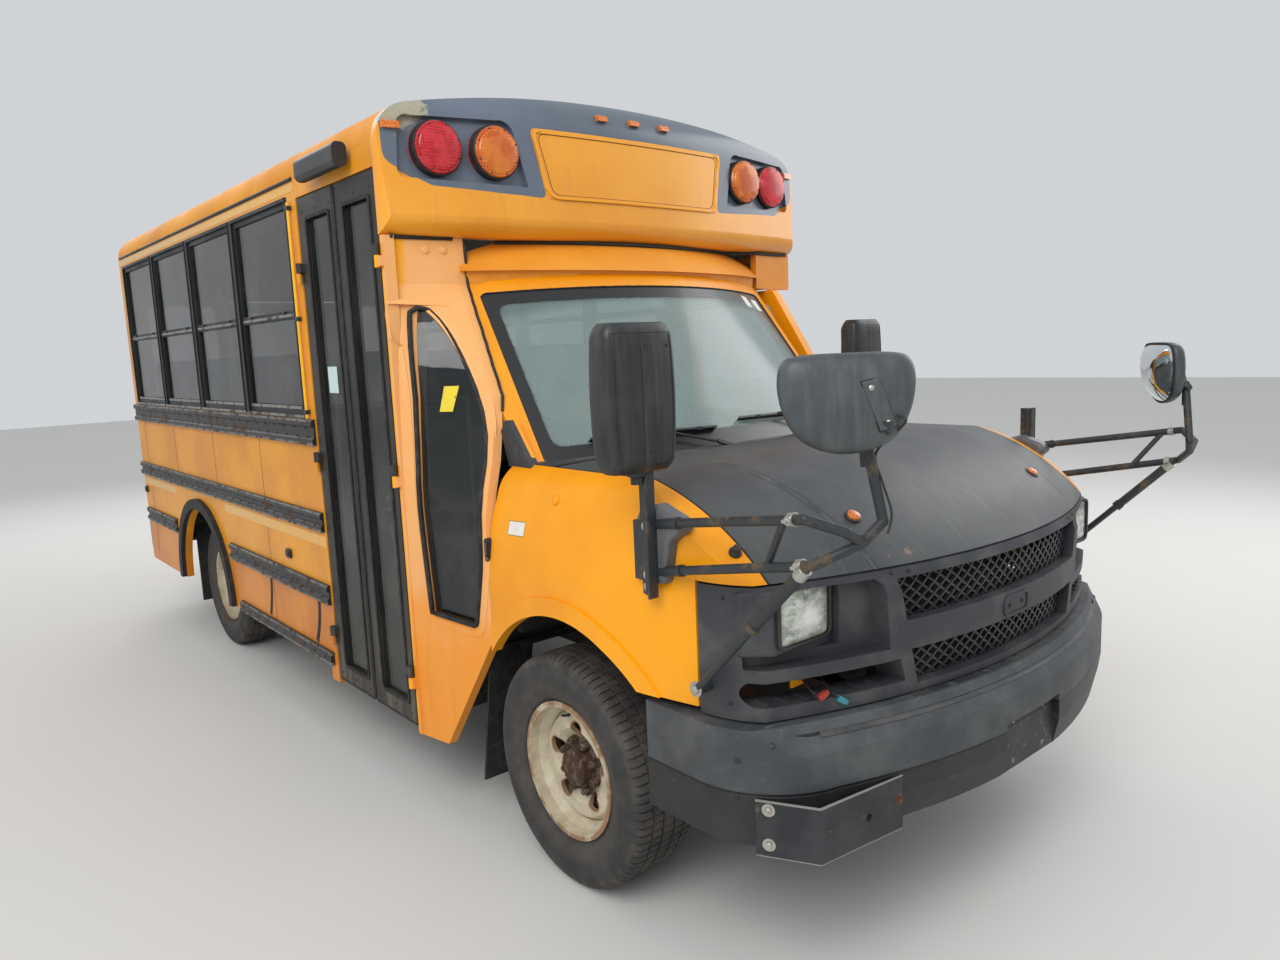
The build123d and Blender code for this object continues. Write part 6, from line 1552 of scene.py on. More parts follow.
def treadTyre(name, sign, station):
    rows = tyreWall + [(r, -a, cut) for r, a, cut in reversed(tyreWall[:-1])]
    steps = (0.0, 0.40, 0.76, 0.80, 0.96)
    centre = at(sign * tyre["middle"], station, tyre["radius"])
    verts, n = [], len(rows)
    for block in range(tyre["blocks"]):
        for step in steps:
            cutting = step > 0.78
            for r, a, cut in rows:
                skew = 0.22 * max(-1.0, min(1.0, a / 95)) * (1 if abs(a) > 60 else 0.4)
                turn = 2 * pi * (block + step + skew) / tyre["blocks"]
                depth = cut if cutting else 0.0
                radius = (r - depth) / 1000
                inset = -0.0022 if cutting and abs(a) > 105 and cut else 0.0
                verts.append(centre + vec(sign * (a / 1000 + copysign(inset, a)), cos(turn) * radius,
                        sin(turn) * radius))
    count = tyre["blocks"] * len(steps)
    faces = []
    for k in range(count):
        a, b = k * n, ((k + 1) % count) * n
        faces += [(a + i, b + i, b + (i + 1) % n, a + (i + 1) % n) for i in range(n)]
    return Shape().add(verts, faces).make(name, "tyreRubber", name.replace("tread", "wheel"), sharpDeg=32)


def wheelDetails(name, sign, station, body):
    skin = Skin(body)
    out = vec(sign, 0, 0)
    nuts, cap = Shape(), Shape()
    rng = random.Random(len(name) + station)
    for k in range(8):
        turn = radians((k + 0.5) * 45)
        s, z = station + cos(turn) * tyre["lugPcr"], tyre["radius"] + sin(turn) * tyre["lugPcr"]
        spot = at(sign * (tyre["face"] + 1), s, z)
        nuts.turned([(0, 0), (0.0175, 0), (0.0175, 0.004), (0.0145, 0.006), (0.0145, 0.023), (0.0125, 0.026),
                (0.0085, 0.026)], spot, out, 6, twist=rng.uniform(0, 60))
        nuts.turned([(0.0085, 0.020), (0.0085, 0.032), (0.006, 0.034), (0, 0.034)], spot, out, 14)
    centre = at(0, station, tyre["radius"]) + vec(sign * tyre["face"] / 1000, 0, 0)
    cap.turned([(0.0645, 0.002), (0.0645, 0.008), (0.0595, 0.010), (0.0595, 0.041), (0.056, 0.045), (0.050, 0.0465),
            (0.046, 0.049), (0.040, 0.0492), (0.037, 0.0515), (0.012, 0.0525), (0.011, 0.0545), (0, 0.055)], centre,
            out, 48)
    for k in range(8):
        turn = radians(45 * k)
        cap.bolt(centre + vec(sign * 0.0455, cos(turn) * 0.050, sin(turn) * 0.050), out, 0.0045, 0.004, 6, False)
    nuts.make(name + "Nuts", "rustyNut", body, sharpDeg=30)
    cap.make(name + "HubCap", "rustyNut", body, sharpDeg=30)
    hit = skin.beside(sign, station + 36, tyre["radius"] + 163)
    if hit:
        root = hit[0]
        stem = smoothLine([root - out * 0.004, root + out * 0.012, root + out * 0.030 + vec(0, 0.002, 0.005)], 5)
        Shape().pipe(stem, [0.0055] * 4 + [0.0038] * (len(stem) - 4), 12).make(name + "Valve", "rubber", body)
    ring = Shape()
    flange = tyre["middle"] + 99
    ring.tilted(centre + vec(sign * (flange - tyre["face"]) / 1000, 0.150, 0.150), (0.002, 0.006, 0.019), out,
            (0, 0.7, -0.7))
    ring.make(name + "BalanceWeight", "screwZinc", body, bevel=0.0015)


for end, station in (("front", 0), ("rear", tyre["wheelbase"])):
    for sign, side in ((-1, "right"), (1, "left")):
        wheel = f"wheel_{end}_{side}"
        finishNode(wheel, "wheelCream")
        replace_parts(treadTyre(f"tread_{end}_{side}", sign, station), f"tyre_{end}_{side}")
        wheelDetails(end + side.capitalize() + "Wheel", sign, station, wheel)
print("stage: wheels")


# Sides: cap and fairing seams, quarter window, rails, window band, tape, rivets, entrance leaves

body = {"half": 1085, "windowFrom": 1640, "windowTo": 4785, "bandLow": 1462, "bandTop": 2384, "paneFrom": 1660,
        "paneTo": 4751, "post": 58, "skin": 1084.6, "tape": 1086.2, "railSpans": [(1348, 1458), (972, 1058),
        (650, 738), (372, 430)], "quarter": [(655, 790), (668, 985), (681, 1175), (694, 1370), (708, 1560),
        (731, 1714), (752, 1860), (750, 1876), (741, 1869), (630, 1724), (520, 1580), (470, 1505), (428, 1425),
        (400, 1335), (379, 1240), (370, 1170), (366, 1100), (368, 1040), (375, 980), (393, 886), (412, 792),
        (418, 783), (430, 778)]}
wallSkin = Skin("side_walls", "window_bands", "roof")
railSkin = Skin("rub_rails")
panelSkin = Skin("transition_panels")
fairingSkin = Skin("cap_fairing")
cabSkin = Skin("cab_frame")
fenderSkin = Skin("cab_fenders")


def bandMaterial():
    # black between and round the windows, yellow above and at the rear corner, lining inside
    newMaterial("windowBandEnamel")
    xyz = coords()
    z = inMm(xyz["Z"])
    black = times(isUnder(z, float(body["bandTop"])), isOver(z, float(body["bandLow"])))
    heading = times(isOver(xyz["Y"], st(body["windowFrom"])), isUnder(xyz["Y"], st(body["windowTo"])))
    black = times(black, heading)
    fade = patches(0.38, 0.66, 420, 4)
    yellow = mix(fade, "#eb9c1c", "#d98c14")
    dark = mix(patches(0.4, 0.7, 120, 4), "#232426", "#33332f")
    colour = mix(black, yellow, dark)
    streak = patches(0.5, 0.8, 40, 4, 0.6, (1, 1, 0.1))
    colour = mix(times(streak, 0.22), colour, "#77694f")
    inner = insideOfWalls(xyz)
    return finished(mix(inner, colour, "#b9b4a3"), Roughness=0.4)


def wallMaterial():
    # lower side panels: yellow, more orange and scuffed towards the skirt, cream lining
    material = newMaterial("sidePanelEnamel")
    xyz = coords()
    z = inMm(xyz["Z"])
    fade = patches(0.38, 0.66, 520, 4)
    upper = mix(fade, "#ee9f18", "#dd8e12")
    lower = mix(fade, "#e08a22", "#c9761c")
    colour = mix(ramp(z, 690.0, 630.0), upper, lower)
    rub = patches(0.60, 0.72, 46, 6, 0.72, (1, 0.4, 1.4))
    band = times(ramp(z, 360.0, 430.0), ramp(z, 900.0, 700.0))
    colour = mix(times(times(rub, band), 0.45), colour, "#7d4d1c")
    streak = patches(0.48, 0.8, 50, 4, 0.6, (1, 1, 0.12))
    grime = times(streak, ramp(z, 1500.0, 500.0))
    colour = mix(times(grime, 0.35), colour, "#7f6a47")
    inner = insideOfWalls(xyz)
    feed(mix(inner, colour, "#b9b4a3"), "Base Color")
    setShader(Roughness=0.38, Specular_IOR_Level=0.3, Coat_Weight=0.1, Coat_Roughness=0.2)
    waves = blobs(260, 2)
    bump(waves, 0.10, 0.01)
    return material


def peachPanel():
    # sun-bleached panels ahead of the door: peach along the window, deeper orange low down
    newMaterial("bleachedPanelEnamel")
    xyz = coords()
    z = inMm(xyz["Z"])
    edge = plus(z, times(blobs(220, 4), 520.0))
    bleached = ramp(edge, 880.0, 1240.0)
    deep = mix(blobs(160, 4), "#ee8f1e", "#f2a045")
    pale = mix(blobs(190, 3), "#efa75e", "#f4b878")
    colour = mix(bleached, deep, pale)
    rear = ramp(xyz["Y"], st(778), st(786))
    bright = times(rear, isUnder(xyz["X"], -1.0))
    colour = mix(bright, colour, "#fbab12")
    streak = patches(0.5, 0.8, 36, 4, 0.6, (1, 1, 0.1))
    low = ramp(z, 900.0, 330.0)
    colour = mix(times(times(streak, low), 0.4), colour, "#9a6a36")
    inner = isUnder(absOf(xyz["X"]), 0.772)
    return finished(mix(inner, colour, "#4a4640"), blobs(240, 2), 0.1, 0.01, Roughness=0.5, Specular_IOR_Level=0.3)


def tape(name, colour, shade):
    # reflective sheeting with a fine honeycomb
    newMaterial(name)
    cell = cells("DISTANCE_TO_EDGE", 3.2, 0.1)
    worn = patches(0.45, 0.75, 120, 5)
    base = mix(times(worn, 0.5), colour, shade)
    return finished(mix(ramp(cell, 0.1, 0.0), base, shade), Roughness=0.28, Coat_Weight=0.5, Coat_Roughness=0.1)


finishes["bandBlack"] = bandMaterial()
finishes["sidePanel"] = wallMaterial()
finishes["peachPanel"] = peachPanel()
finishes["tapeYellow"] = tape("yellowReflectiveTape", "#ffc409", "#e3a40e")
finishes["railBlack"] = rustyMetal("channelRailPaint", "#1f1f20", "#5d4632", 0.36, 0.42, 0.0, 110)
# pale rail and bumper edges: worn paint, partly a painted highlight along the flanges
finishes["railEdgeWearAndHighlight"] = rustyMetal("wornRailEdgeWithPaintedHighlight", "#77766f", "#3b3834", 0.5, 0.42, 0.25, 45)
finishes["postGrey"] = shellPlastic("paintedGreyPost", "#8e8e8a", "#a2a29c", "#77756c")
finishes["sillMetal"] = rustyMetal("mattAluminiumSill", "#8f8e88", "#55524b", 0.4, 0.4, 0.6, 60)
finishNode("window_bands", "bandBlack")
finishNode("side_walls", "sidePanel")
finishNode("transition_panels", "peachPanel")
finishNode("rub_rails", "railBlack")


def offsetPath(points, distance):
    # outward by a distance for a counter-clockwise or clockwise loop alike
    pts = [Vector(p) for p in points]
    area = sum(a.x * b.y - b.x * a.y for a, b in zip(pts, pts[1:] + pts[:1]))
    turned = 1 if area > 0 else -1
    moved = []
    for i, p in enumerate(pts):
        run = (pts[(i + 1) % len(pts)] - pts[i - 1]).normalized()
        moved.append(p + Vector((run.y, -run.x)) * distance * turned)
    return moved


def quarterWindow():
    ring = densePath(body["quarter"], 26)
    outer, inner = offsetPath(ring, 8), offsetPath(ring, -2)
    points, out = [], []
    for a, b in zip(outer, inner):
        hit = panelSkin.beside(-1, a.x, a.y)
        if hit:
            points.append(hit[0] + vec(-0.001, (b.x - a.x) / 1000, (b.y - a.y) / 1000))
            out.append(hit[1])
    Shape().pipe(points, 0.0095, 10, closed=True).make("quarterGasket", "rubber")
    lip = densePath(offsetPath(body["quarter"], 30), 30)
    points, out = along([panelSkin.beside(-1, s, z) for s, z in lip], -0.0012)
    Shape().ribbon(points, out, 0.022, 0.0032, closed=True).make("quarterLip", "peachPanel", bevel=0.0016)
    pane = Skin("body_glass")
    points, out = along([pane.beside(-1, 655 + (z - 800) * 0.07, z) for z in range(800, 1761, 60)], -0.016)
    Shape().ribbon(points, out, 0.034, 0.008).make("quarterInnerPost", "postGrey", bevel=0.002)
    corners = [(634, 1508), (587, 1508), (587, 1596), (634, 1596)]
    points, out = along([pane.beside(-1, s, z) for s, z in corners], 0.0012)
    if len(points) == 4:
        Shape().plate(points, out[0] * 0.0004).make("yellowSlip", "paperYellow")


def capSeams():
    # black sealant where fairing, cab roof and panels meet; the black line along the fairing under the cap is painted
    # shade in that gap
    line = []
    # painted shade: dark pipe along the fairing just under the cap's edge, standing in for the shade in the gap
    for k in range(-32, 33):
        x = 31 * k
        hit = fairingSkin.front(x, 2116)
        if hit and abs(hit[0].y - st(720)) < 0.16:
            line.append(hit[0] + vec(0, -0.004, 0.006))
    Shape().pipe(line, 0.0075, 10).make("capFairingGapShade", "seamBlackAndGapShade")
    seal, low, high = Shape(), [], []
    for k in range(-31, 32):
        x = 25 * k
        top = fairingSkin.front(x, 2014) or fairingSkin.front(x, 2030)
        foot = None
        for z in (1992, 1984, 1976, 1968, 1956):
            foot = cabSkin.front(x, z)
            if foot and foot[0].y < st(760):
                break
            foot = None
        if top and foot and top[0].y < st(800):
            low.append(foot[0] + vec(0, 0.004, -0.004))
            high.append(top[0] + vec(0, 0.012, 0.002))
    n = len(low)
    verts = low + high + [p + vec(0, 0.006, 0) for p in low] + [p + vec(0, 0.006, 0) for p in high]
    faces = [(i, i + 1, n + i + 1, n + i) for i in range(n - 1)]
    faces += [(2 * n + i, 3 * n + i, 3 * n + i + 1, 2 * n + i + 1) for i in range(n - 1)]
    faces += [(i, 2 * n + i, 2 * n + i + 1, i + 1) for i in range(n - 1)]
    faces += [(n + i, n + i + 1, 3 * n + i + 1, 3 * n + i) for i in range(n - 1)]
    seal.add(verts, faces).make("cabRoofSeal", "fairingOrange")
    for sign, side in sides:
        skin = panelSkin if sign < 0 else fairingSkin
        edge = [skin.front(sign * x, 2112) for x in range(815, 1071, 16)]
        points = along([h for h in edge if h and abs(h[0].y - st(760)) < 0.12], 0.0005)[0]
        if len(points) > 2:
            Shape().pipe([p + vec(0, -0.002, 0.012) for p in points], 0.007, 10).make("capPanelSeam" + side,
                    "seamBlackAndGapShade")


def pillarSeam():
    # sealant between the bleached panel and the cab's pillar, down to the sail
    line = []
    for z in range(2104, 1480, -26):
        for x in range(764, 880, 3):
            hit = panelSkin.front(-x, z)
            if hit and hit[0].y < st(800):
                line.append(hit[0] + vec(0.002, -0.002, 0))
                break
    Shape().pipe(line, 0.0055, 10).make("pillarSeam", "seamBlackAndGapShade")


def fenderFittings():
    plug = fenderSkin.beside(-1, 6, 1251)
    Shape().turned([(0.0165, -0.001), (0.016, 0.004), (0.011, 0.0075), (0, 0.0085)], plug[0], plug[1],
            28).make("fenderPlug", "enamelYellow")
    grommet = fenderSkin.beside(-1, -688, 1175)
    if grommet:
        Shape().turned([(0.017, -0.001), (0.017, 0.006), (0.012, 0.010), (0.010, 0.024), (0.006, 0.026), (0, 0.026)],
                grommet[0], grommet[1], 24).make("fenderGrommet", "rubber")
    corners = [(142, 1124), (142, 1168), (232, 1164), (232, 1120)]
    points, out = along([fenderSkin.beside(-1, s, z) for s, z in corners], 0.0007)
    if len(points) == 4:
        Shape().plate(points, out[0] * 0.0004).make("blankFenderLabel", "filmWhite")
        Shape().ribbon([p + out[0] * 0.0003 for p in points], out[0], 0.0014, 0.0004,
                closed=True).make("blankFenderLabelEdge", "wireBlack")
    slot = [(326, 1030), (326, 1088), (334, 1096), (344, 1096), (352, 1088), (352, 1030), (344, 1020), (334, 1020)]
    hits = [panelSkin.beside(-1, s, z) or fenderSkin.beside(-1, s, z) for s, z in slot]
    points, out = along(hits, 0.0006)
    if len(points) == len(slot):
        Shape().plate(points, out[0] * 0.0008).make("releaseRecess", "seamBlackAndGapShade")
        knob = points[0].lerp(points[4], 0.5)
        lever = Shape().tilted(knob + out[0] * 0.006, (0.005, 0.0035, 0.022), vec(0, 1, 0), (0, 0, 1))
        lever.turned([(0.008, 0), (0.008, 0.006), (0.005, 0.009), (0, 0.009)], knob - vec(0, 0, 0.034), out[0], 16)
        lever.make("releaseLever", "rustySteel", bevel=0.0012)
    plugs = Shape()
    for x, z in ((-921, 2082), (-853, 2083)):
        hit = panelSkin.front(x, z)
        if hit:
            plugs.turned([(0.015, -0.001), (0.0148, 0.003), (0.010, 0.006), (0, 0.0066)], hit[0], hit[1], 24)
    plugs.make("panelPlugs", "peachPanel")


def railEdges(sign, side):
    # pale flanges along each rail's top and bottom edges: worn paint, partly a painted highlight
    edges, bolts, caps = Shape(), Shape(), Shape()
    for low, high in body["railSpans"]:
        for z in (low + 6, high - 6):
            runs, run = [], []
            for k in range(168):
                s = 1545 + 20 * k
                hit = railSkin.beside(sign, s, z)
                if hit and abs(hit[0].x) > 1.094:
                    run.append((s, hit[0].x))
                elif run:
                    runs.append(run)
                    run = []
            if run:
                runs.append(run)
            for run in runs:
                if len(run) < 3:
                    continue
                a, b, x = run[0][0] - 4, run[-1][0] + 4, abs(run[len(run) // 2][1]) * 1000
                edges.block(at(sign * (x - 1), a, z - 5.5), at(sign * (x + 4.5), b, z + 5.5))
                caps.turned([(0, 0), (0.0075, 0.001), (0.0075, 0.009), (0, 0.010)], at(sign * (x + 1), a - 8, z),
                        (0, 1, 0), 14)
                if z == low + 6:
                    for s in range(a + 60, b - 20, 128):
                        for dz in ((0.32, 0.68) if high - low > 80 else (0.5,)):
                            spot = at(sign * x, s + (30 if dz > 0.5 else 0), low + (high - low) * dz)
                            hit = railSkin.hit((sign * 2, spot.y, spot.z), (-sign, 0, 0))
                            if hit:
                                bolts.dome(hit[0], hit[1], 0.0062, 0.0035, 10)
    edges.make("railFlanges" + side, "railEdgeWearAndHighlight", bevel=0.0028)
    bolts.make("railBolts" + side, "screwDark")
    caps.make("railCaps" + side, "sillMetal")


def wallDetails(sign, side):
    sills, drip, strip, rivets, seams, latches = Shape(), Shape(), Shape(), Shape(), Shape(), Shape()
    pitch = (body["paneTo"] - body["paneFrom"] + body["post"]) / 4
    for k in range(4):
        a = body["paneFrom"] + k * pitch
        b = a + pitch - body["post"]
        sills.block(at(sign * 1072, a - 10, 1462), at(sign * 1094, b + 10, 1474))
        sills.block(at(sign * 1079, a + 34, 1498), at(sign * 1083, b - 34, 1512))
        sills.block(at(sign * 1077, a + 30, 1896), at(sign * 1083, b - 30, 1908))
        for s in (a + 140, b - 140):
            latches.block(at(sign * 1077, s - 16, 1912), at(sign * 1087, s + 16, 1922))
        for s in (a - 2, b + 2):
            drip.block(at(sign * 1084, s - 5, 1474), at(sign * 1090, s + 5, 2374))
        drip.block(at(sign * 1084, a - 2, 2366), at(sign * 1091, b + 2, 2380))
    lip = [at(sign * 1088, s, 2441) for s in range(1560 if sign < 0 else 820, 4850, 60)]
    drip.pipe(lip, 0.0075, 8)
    start = 1562 if sign < 0 else 830
    strip.block(at(sign * body["skin"], start, 2394), at(sign * body["tape"], 4848, 2428))
    for s0, s1 in ((1552, 2990), (4012, 4848)):
        strip.block(at(sign * body["skin"], s0, 905), at(sign * body["tape"], s1, 952))
    for s in (2300, 3080, 3900, 4660):
        for z0, z1 in ((1058, 1348), (738, 905), (430, 650)):
            if 3000 < s < 4000 and z1 < 1300:
                continue
            seams.block(at(sign * 1084.7, s - 1.2, z0), at(sign * 1085.8, s + 1.2, z1))
            for j in range(int((z1 - z0) / 58)):
                hit = wallSkin.beside(sign, s + 14, z0 + 30 + 58 * j)
                if hit:
                    rivets.dome(hit[0], (sign, 0, 0), 0.0042, 0.0022, 8)
    for s in range(1600, 4820, 92):
        if abs(s - 3501) > 20:
            rivets.dome(at(sign * 1085, s, 1334), (sign, 0, 0), 0.0042, 0.0022, 8)
    sills.make("windowSills" + side, "sillMetal", bevel=0.0012)
    latches.make("sashLatches" + side, "blackPlastic", bevel=0.0012)
    drip.make("dripRail" + side, "frameBlack", bevel=0.001)
    strip.make("reflectiveTape" + side, "tapeYellow")
    seams.make("panelSeams" + side, "seamShadow")
    rivets.make("panelRivets" + side, "sidePanel")
    marker = Shape()
    for s, z in ((2020, 813), (4800, 866)):
        ring = oblong(s - 30, z - 22, s + 30, z + 22, 14)
        marker.plate([at(sign * 1084.5, p[0], p[1]) for p in ring], vec(sign * 0.012, 0, 0))
    marker.make("sideMarkers" + side, "blackPlastic", bevel=0.002)
    lens = Shape()
    for s, z in ((2020, 813), (4800, 866)):
        ring = oblong(s - 22, z - 13, s + 22, z + 13, 9)
        lens.plate([at(sign * 1096, p[0], p[1]) for p in ring], vec(sign * 0.004, 0, 0))
    lens.make("sideMarkerLenses" + side, "blackPaint", bevel=0.0015)


def doorPost():
    post = Shape().pipe([at(-1097, 1600, 1464), at(-1097, 1600, 2352)], 0.0075, 14)
    post.make("guidePost", "tapeYellow")
    clips = Shape()
    for z in (1490, 1880, 2330):
        clips.block(at(-1084.5, 1588, z - 9), at(-1107, 1612, z + 9))
    clips.make("guidePostClips", "blackPlastic", bevel=0.003)


def scrapes():
    # dark rub marks curving down the skirt behind the door
    marks = Shape()
    for s, lean in ((1700, 66), (2330, 58)):
        line = [at(-1085.0, s + lean * (1 - (k / 12)) ** 1.8, 440 + 205 * k / 12) for k in range(13)]
        marks.ribbon(line, vec(-1, 0, 0), 0.030, 0.0009)
    marks.make("rubMarks", "seamBlackAndGapShade")


def entryLeaves():
    for name, bodyName, spans in (("entry_door_front", "entry_front", (806, 1163, 854, 1085)),
            ("entry_door_rear", "entry_rear", (1175, 1534, 1218, 1452))):
        a, b, c, d = spans
        gasket, seal, screws = Shape(), Shape(), Shape()
        pane = oblong(c, 400, d, 2272, 18)
        for face, thick in ((-1084, -1), (-1048, 1)):
            gasket.ribbon([at(face, p[0], p[1]) for p in densePath(pane, 60)], vec(thick, 0, 0), 0.014, 0.004,
                    closed=True)
        for s in ((1160, 1167) if "front" in name else (1171, 1178)):
            seal.block(at(-1088, s - 3, 338), at(-1050, s + 3, 2350))
        seal.block(at(-1084, a + 6, 322), at(-1056, b - 6, 333))
        for z in (360, 2300):
            for s in (a + 40, (a + b) / 2, b - 40):
                screws.dome(at(-1083, s, z), (-1, 0, 0), 0.0045, 0.0022, 10)
        gasket.make(name + "Gasket", "rubber", bodyName, bevel=0.001)
        seal.make(name + "Seal", "rubber", bodyName, bevel=0.001)
        screws.make(name + "Screws", "screwDark", bodyName)
        finishNode(name, "leafBlack")
    label = Shape().block(at(-1071.6, 1300, 1572), at(-1072.4, 1392, 1678))
    label.make("doorLeafLabel", "paperTeal", "entry_rear")
    rods = Shape().pipe([at(-1040, 930, 760), at(-1040, 1000, 1180)], 0.006, 12)
    rods.make("leafGrabRod", "sillMetal", "entry_front")


finishes["leafBlack"] = agedPaint("anodisedDoorLeaf", "#2a2826", "#3a3734", "#6f6555", 0.42, 0.05, dirtTop=0.9)
finishes["paperTeal"] = paper("paleDoorNotice", "#c8dedb")
quarterWindow()
capSeams()
pillarSeam()
fenderFittings()
for sign, side in sides:
    railEdges(sign, side)
    wallDetails(sign, side)
doorPost()
scrapes()
entryLeaves()
aerial = Shape().rod(at(140, 1180, 2655), at(140, 1180, 2664), 0.014)
aerial.make("aerialBase", "blackPlastic")
print("stage: sides")


# Rear and driver's side: lamps, gaskets, handles, stop arm, fuel flap, bumper

rear = {"face": 4853, "tailX": 905, "stopS": 1790, "stopZ": 1190, "stopAcross": 450, "stopX": 1113}
rearSkin = Skin("rear_wall", "rear_door")


def rearLamp(name, x, z, radius, depth, finish):
    centre = at(x, rear["face"] + depth, z)
    out = vec(0, 1, 0)
    r = radius / 1000
    Shape().turned([(r + 0.0025, -depth / 1000 + 0.004), (r + 0.0025, 0.001), (r - 0.004, 0.003),
            (r - 0.006, -0.004)], centre, out, 48).make(name + "Gasket", "rubber")
    Shape().turned([(r - 0.004, 0.0), (r - 0.008, 0.004), (r * 0.72, 0.0075), (r * 0.4, 0.009), (0, 0.0095)], centre,
            out, 48).make(name + "Lens", finish, sharpDeg=28)
    screws = Shape()
    for k in range(6):
        turn = radians(30 + 60 * k)
        screws.dome(centre + vec(cos(turn), 0, sin(turn)) * (r - 0.011) + out * 0.0045, out, 0.003, 0.0016, 8)
    screws.make(name + "Screws", "screwDark")


def windowGasket(shape, x0, x1, z0, z1, radius, width=0.020, thick=0.006):
    ring = densePath(oblong(x0, z0, x1, z1, radius), 50)
    hits = [rearSkin.hit((p[0] / 1000, 4.0, p[1] / 1000), (0, -1, 0)) for p in ring]
    points = along(hits, -0.001)[0]
    if len(points) > len(ring) * 0.8:
        shape.ribbon(points, vec(0, 1, 0), width, thick, closed=True)


def rearDetails():
    for sign, side in sides:
        rearLamp("tailStop" + side, sign * rear["tailX"], 1330, 88, 30, "ledRed")
        rearLamp("tailTurn" + side, sign * rear["tailX"], 1090, 88, 30, "ledAmber")
        rearLamp("tailReverse" + side, sign * rear["tailX"], 880, 52, 24, "lampClear")
        rearLamp("rearRedLamp" + side, sign * 875, 2330, 93, 40, "ledRed")
        rearLamp("rearAmberLamp" + side, sign * 657, 2330, 93, 40, "ledAmber")
    fixed, moving = Shape(), Shape()
    for sign in (-1, 1):
        a, b = sorted((sign * 488, sign * 962))
        windowGasket(fixed, a, b, 1488, 2132, 60)
    windowGasket(moving, -302, 302, 893, 1302, 45)
    windowGasket(moving, -302, 302, 1458, 2087, 45)
    fixed.make("rearWindowGaskets", "rubber", bevel=0.0015)
    moving.make("rearDoorGaskets", "rubber", "rear_door", bevel=0.0015)
    hit = rearSkin.hit((0.31, 4.0, 1.385), (0, -1, 0))
    face = hit[0].y
    handle = Shape().block((0.235, face, 1.355), (0.365, face + 0.006, 1.415))
    handle.turned([(0.016, 0), (0.016, 0.018), (0.012, 0.022), (0, 0.022)], (0.335, face + 0.005, 1.385), (0, 1, 0),
            24)
    handle.pipe([(0.335, face + 0.022, 1.385), (0.30, face + 0.026, 1.385), (0.235, face + 0.026, 1.380)], 0.0075, 12)
    handle.make("rearDoorHandle", "railBlack", "rear_door", bevel=0.002)
    edge = Shape()
    for x in (-396, 396):
        edge.block(at(x - 5, 4851, 770), at(x + 5, 4856, 2142))
    edge.block(at(-396, 4851, 2136), at(396, 4856, 2146))
    edge.make("rearDoorWeatherstrip", "rubber", "rear_door")
    rivets = Shape()
    for x in list(range(-1030, -440, 84)) + list(range(1030, 440, -84)):
        for z in (1440, 2180, 790):
            hit = rearSkin.hit((x / 1000, 4.0, z / 1000), (0, -1, 0))
            if hit:
                rivets.dome(hit[0], hit[1], 0.0045, 0.0024, 8)
    rivets.make("rearRivets", "rearYellow")
    marks = Shape()
    for x in (-165, 0, 165):
        marks.turned([(0.024, 0), (0.022, 0.006), (0.012, 0.009), (0, 0.0095)], at(x, 4871, 2510), (0, 1, 0), 20)
    marks.make("rearClearanceLenses", "ledRed")
    bar = Shape()
    for z in (442, 628):
        bar.block(at(-1058, 4982, z - 6), at(1058, 4988, z + 6))
    for x in (-900, -640, 640, 900):
        bar.bolt(at(x, 4973, 535), (0, 1, 0), 0.011, 0.008)
    bar.make("rearBumperFlanges", "railEdgeWearAndHighlight", bevel=0.002)


def stopArmDetails():
    x = rear["stopX"] + 6
    ring = []
    radius = (rear["stopAcross"] / 2 - 17) / cos(pi / 8)
    for k in range(8):
        turn = pi / 8 + k * pi / 4
        ring.append(at(x - 0.2, rear["stopS"] + radius * cos(turn), rear["stopZ"] + radius * sin(turn)))
    Shape().ribbon(ring, vec(1, 0, 0), 0.013, 0.0008, closed=True).make("stopArmBorder", "filmWhite", "stop_arm")
    lamps, rims, hinge = Shape(), Shape(), Shape()
    for z in (135, -135):
        spot = at(x, rear["stopS"], rear["stopZ"] + z)
        lamps.turned([(0.041, 0.002), (0.040, 0.008), (0.030, 0.0105), (0.012, 0.0115), (0, 0.0115)], spot, (1, 0, 0),
                36)
        rims.turned([(0.049, 0), (0.049, 0.0045), (0.043, 0.007), (0.040, 0.003)], spot, (1, 0, 0), 36)
    lamps.make("stopArmLamps", "ledRed", "stop_arm", sharpDeg=28)
    rims.make("stopArmLampRims", "blackPlastic", "stop_arm")
    for z in (1080, 1300):
        hinge.rod(at(1119, 1508, z - 30), at(1119, 1508, z + 30), 0.008, 14)
    for s, z in ((1560, 1145), (1560, 1235), (1615, 1145), (1615, 1235)):
        hinge.bolt(at(x + 5.8, s, z), (1, 0, 0), 0.006, 0.005)
    hinge.make("stopArmFixings", "screwZinc", "stop_arm")


def driverDoorDetails():
    skin = Skin("driver_door")
    grip = skin.beside(1, 1255, 1095)
    if grip:
        face = grip[0].x
        handle = Shape().plate([vec(face - 0.001, st(s), z / 1000) for s, z in oblong(1170, 1068, 1300, 1122, 20)],
                vec(0.004, 0, 0))
        handle.pipe(smoothLine([vec(face + 0.002, st(1186), 1.100), vec(face + 0.020, st(1200), 1.102),
                vec(face + 0.021, st(1270), 1.102), vec(face + 0.002, st(1286), 1.100)], 5), 0.0085, 12)
        handle.make("driverDoorHandle", "blackPlastic", "driver_door", bevel=0.0018)
        lock = Shape().turned([(0.010, 0), (0.010, 0.003), (0.004, 0.0035), (0, 0.002)], vec(face, st(1322), 1.095),
                (1, 0, 0), 18)
        lock.make("driverDoorLock", "screwZinc", "driver_door")
    moulding = []
    for s in range(420, 1380, 40):
        hit = skin.beside(1, s, 905)
        if hit:
            moulding.append(hit[0])
    Shape().ribbon(moulding, vec(1, 0, 0), 0.055, 0.006).make("driverDoorMoulding", "mouldedGrey", "driver_door",
            bevel=0.003)


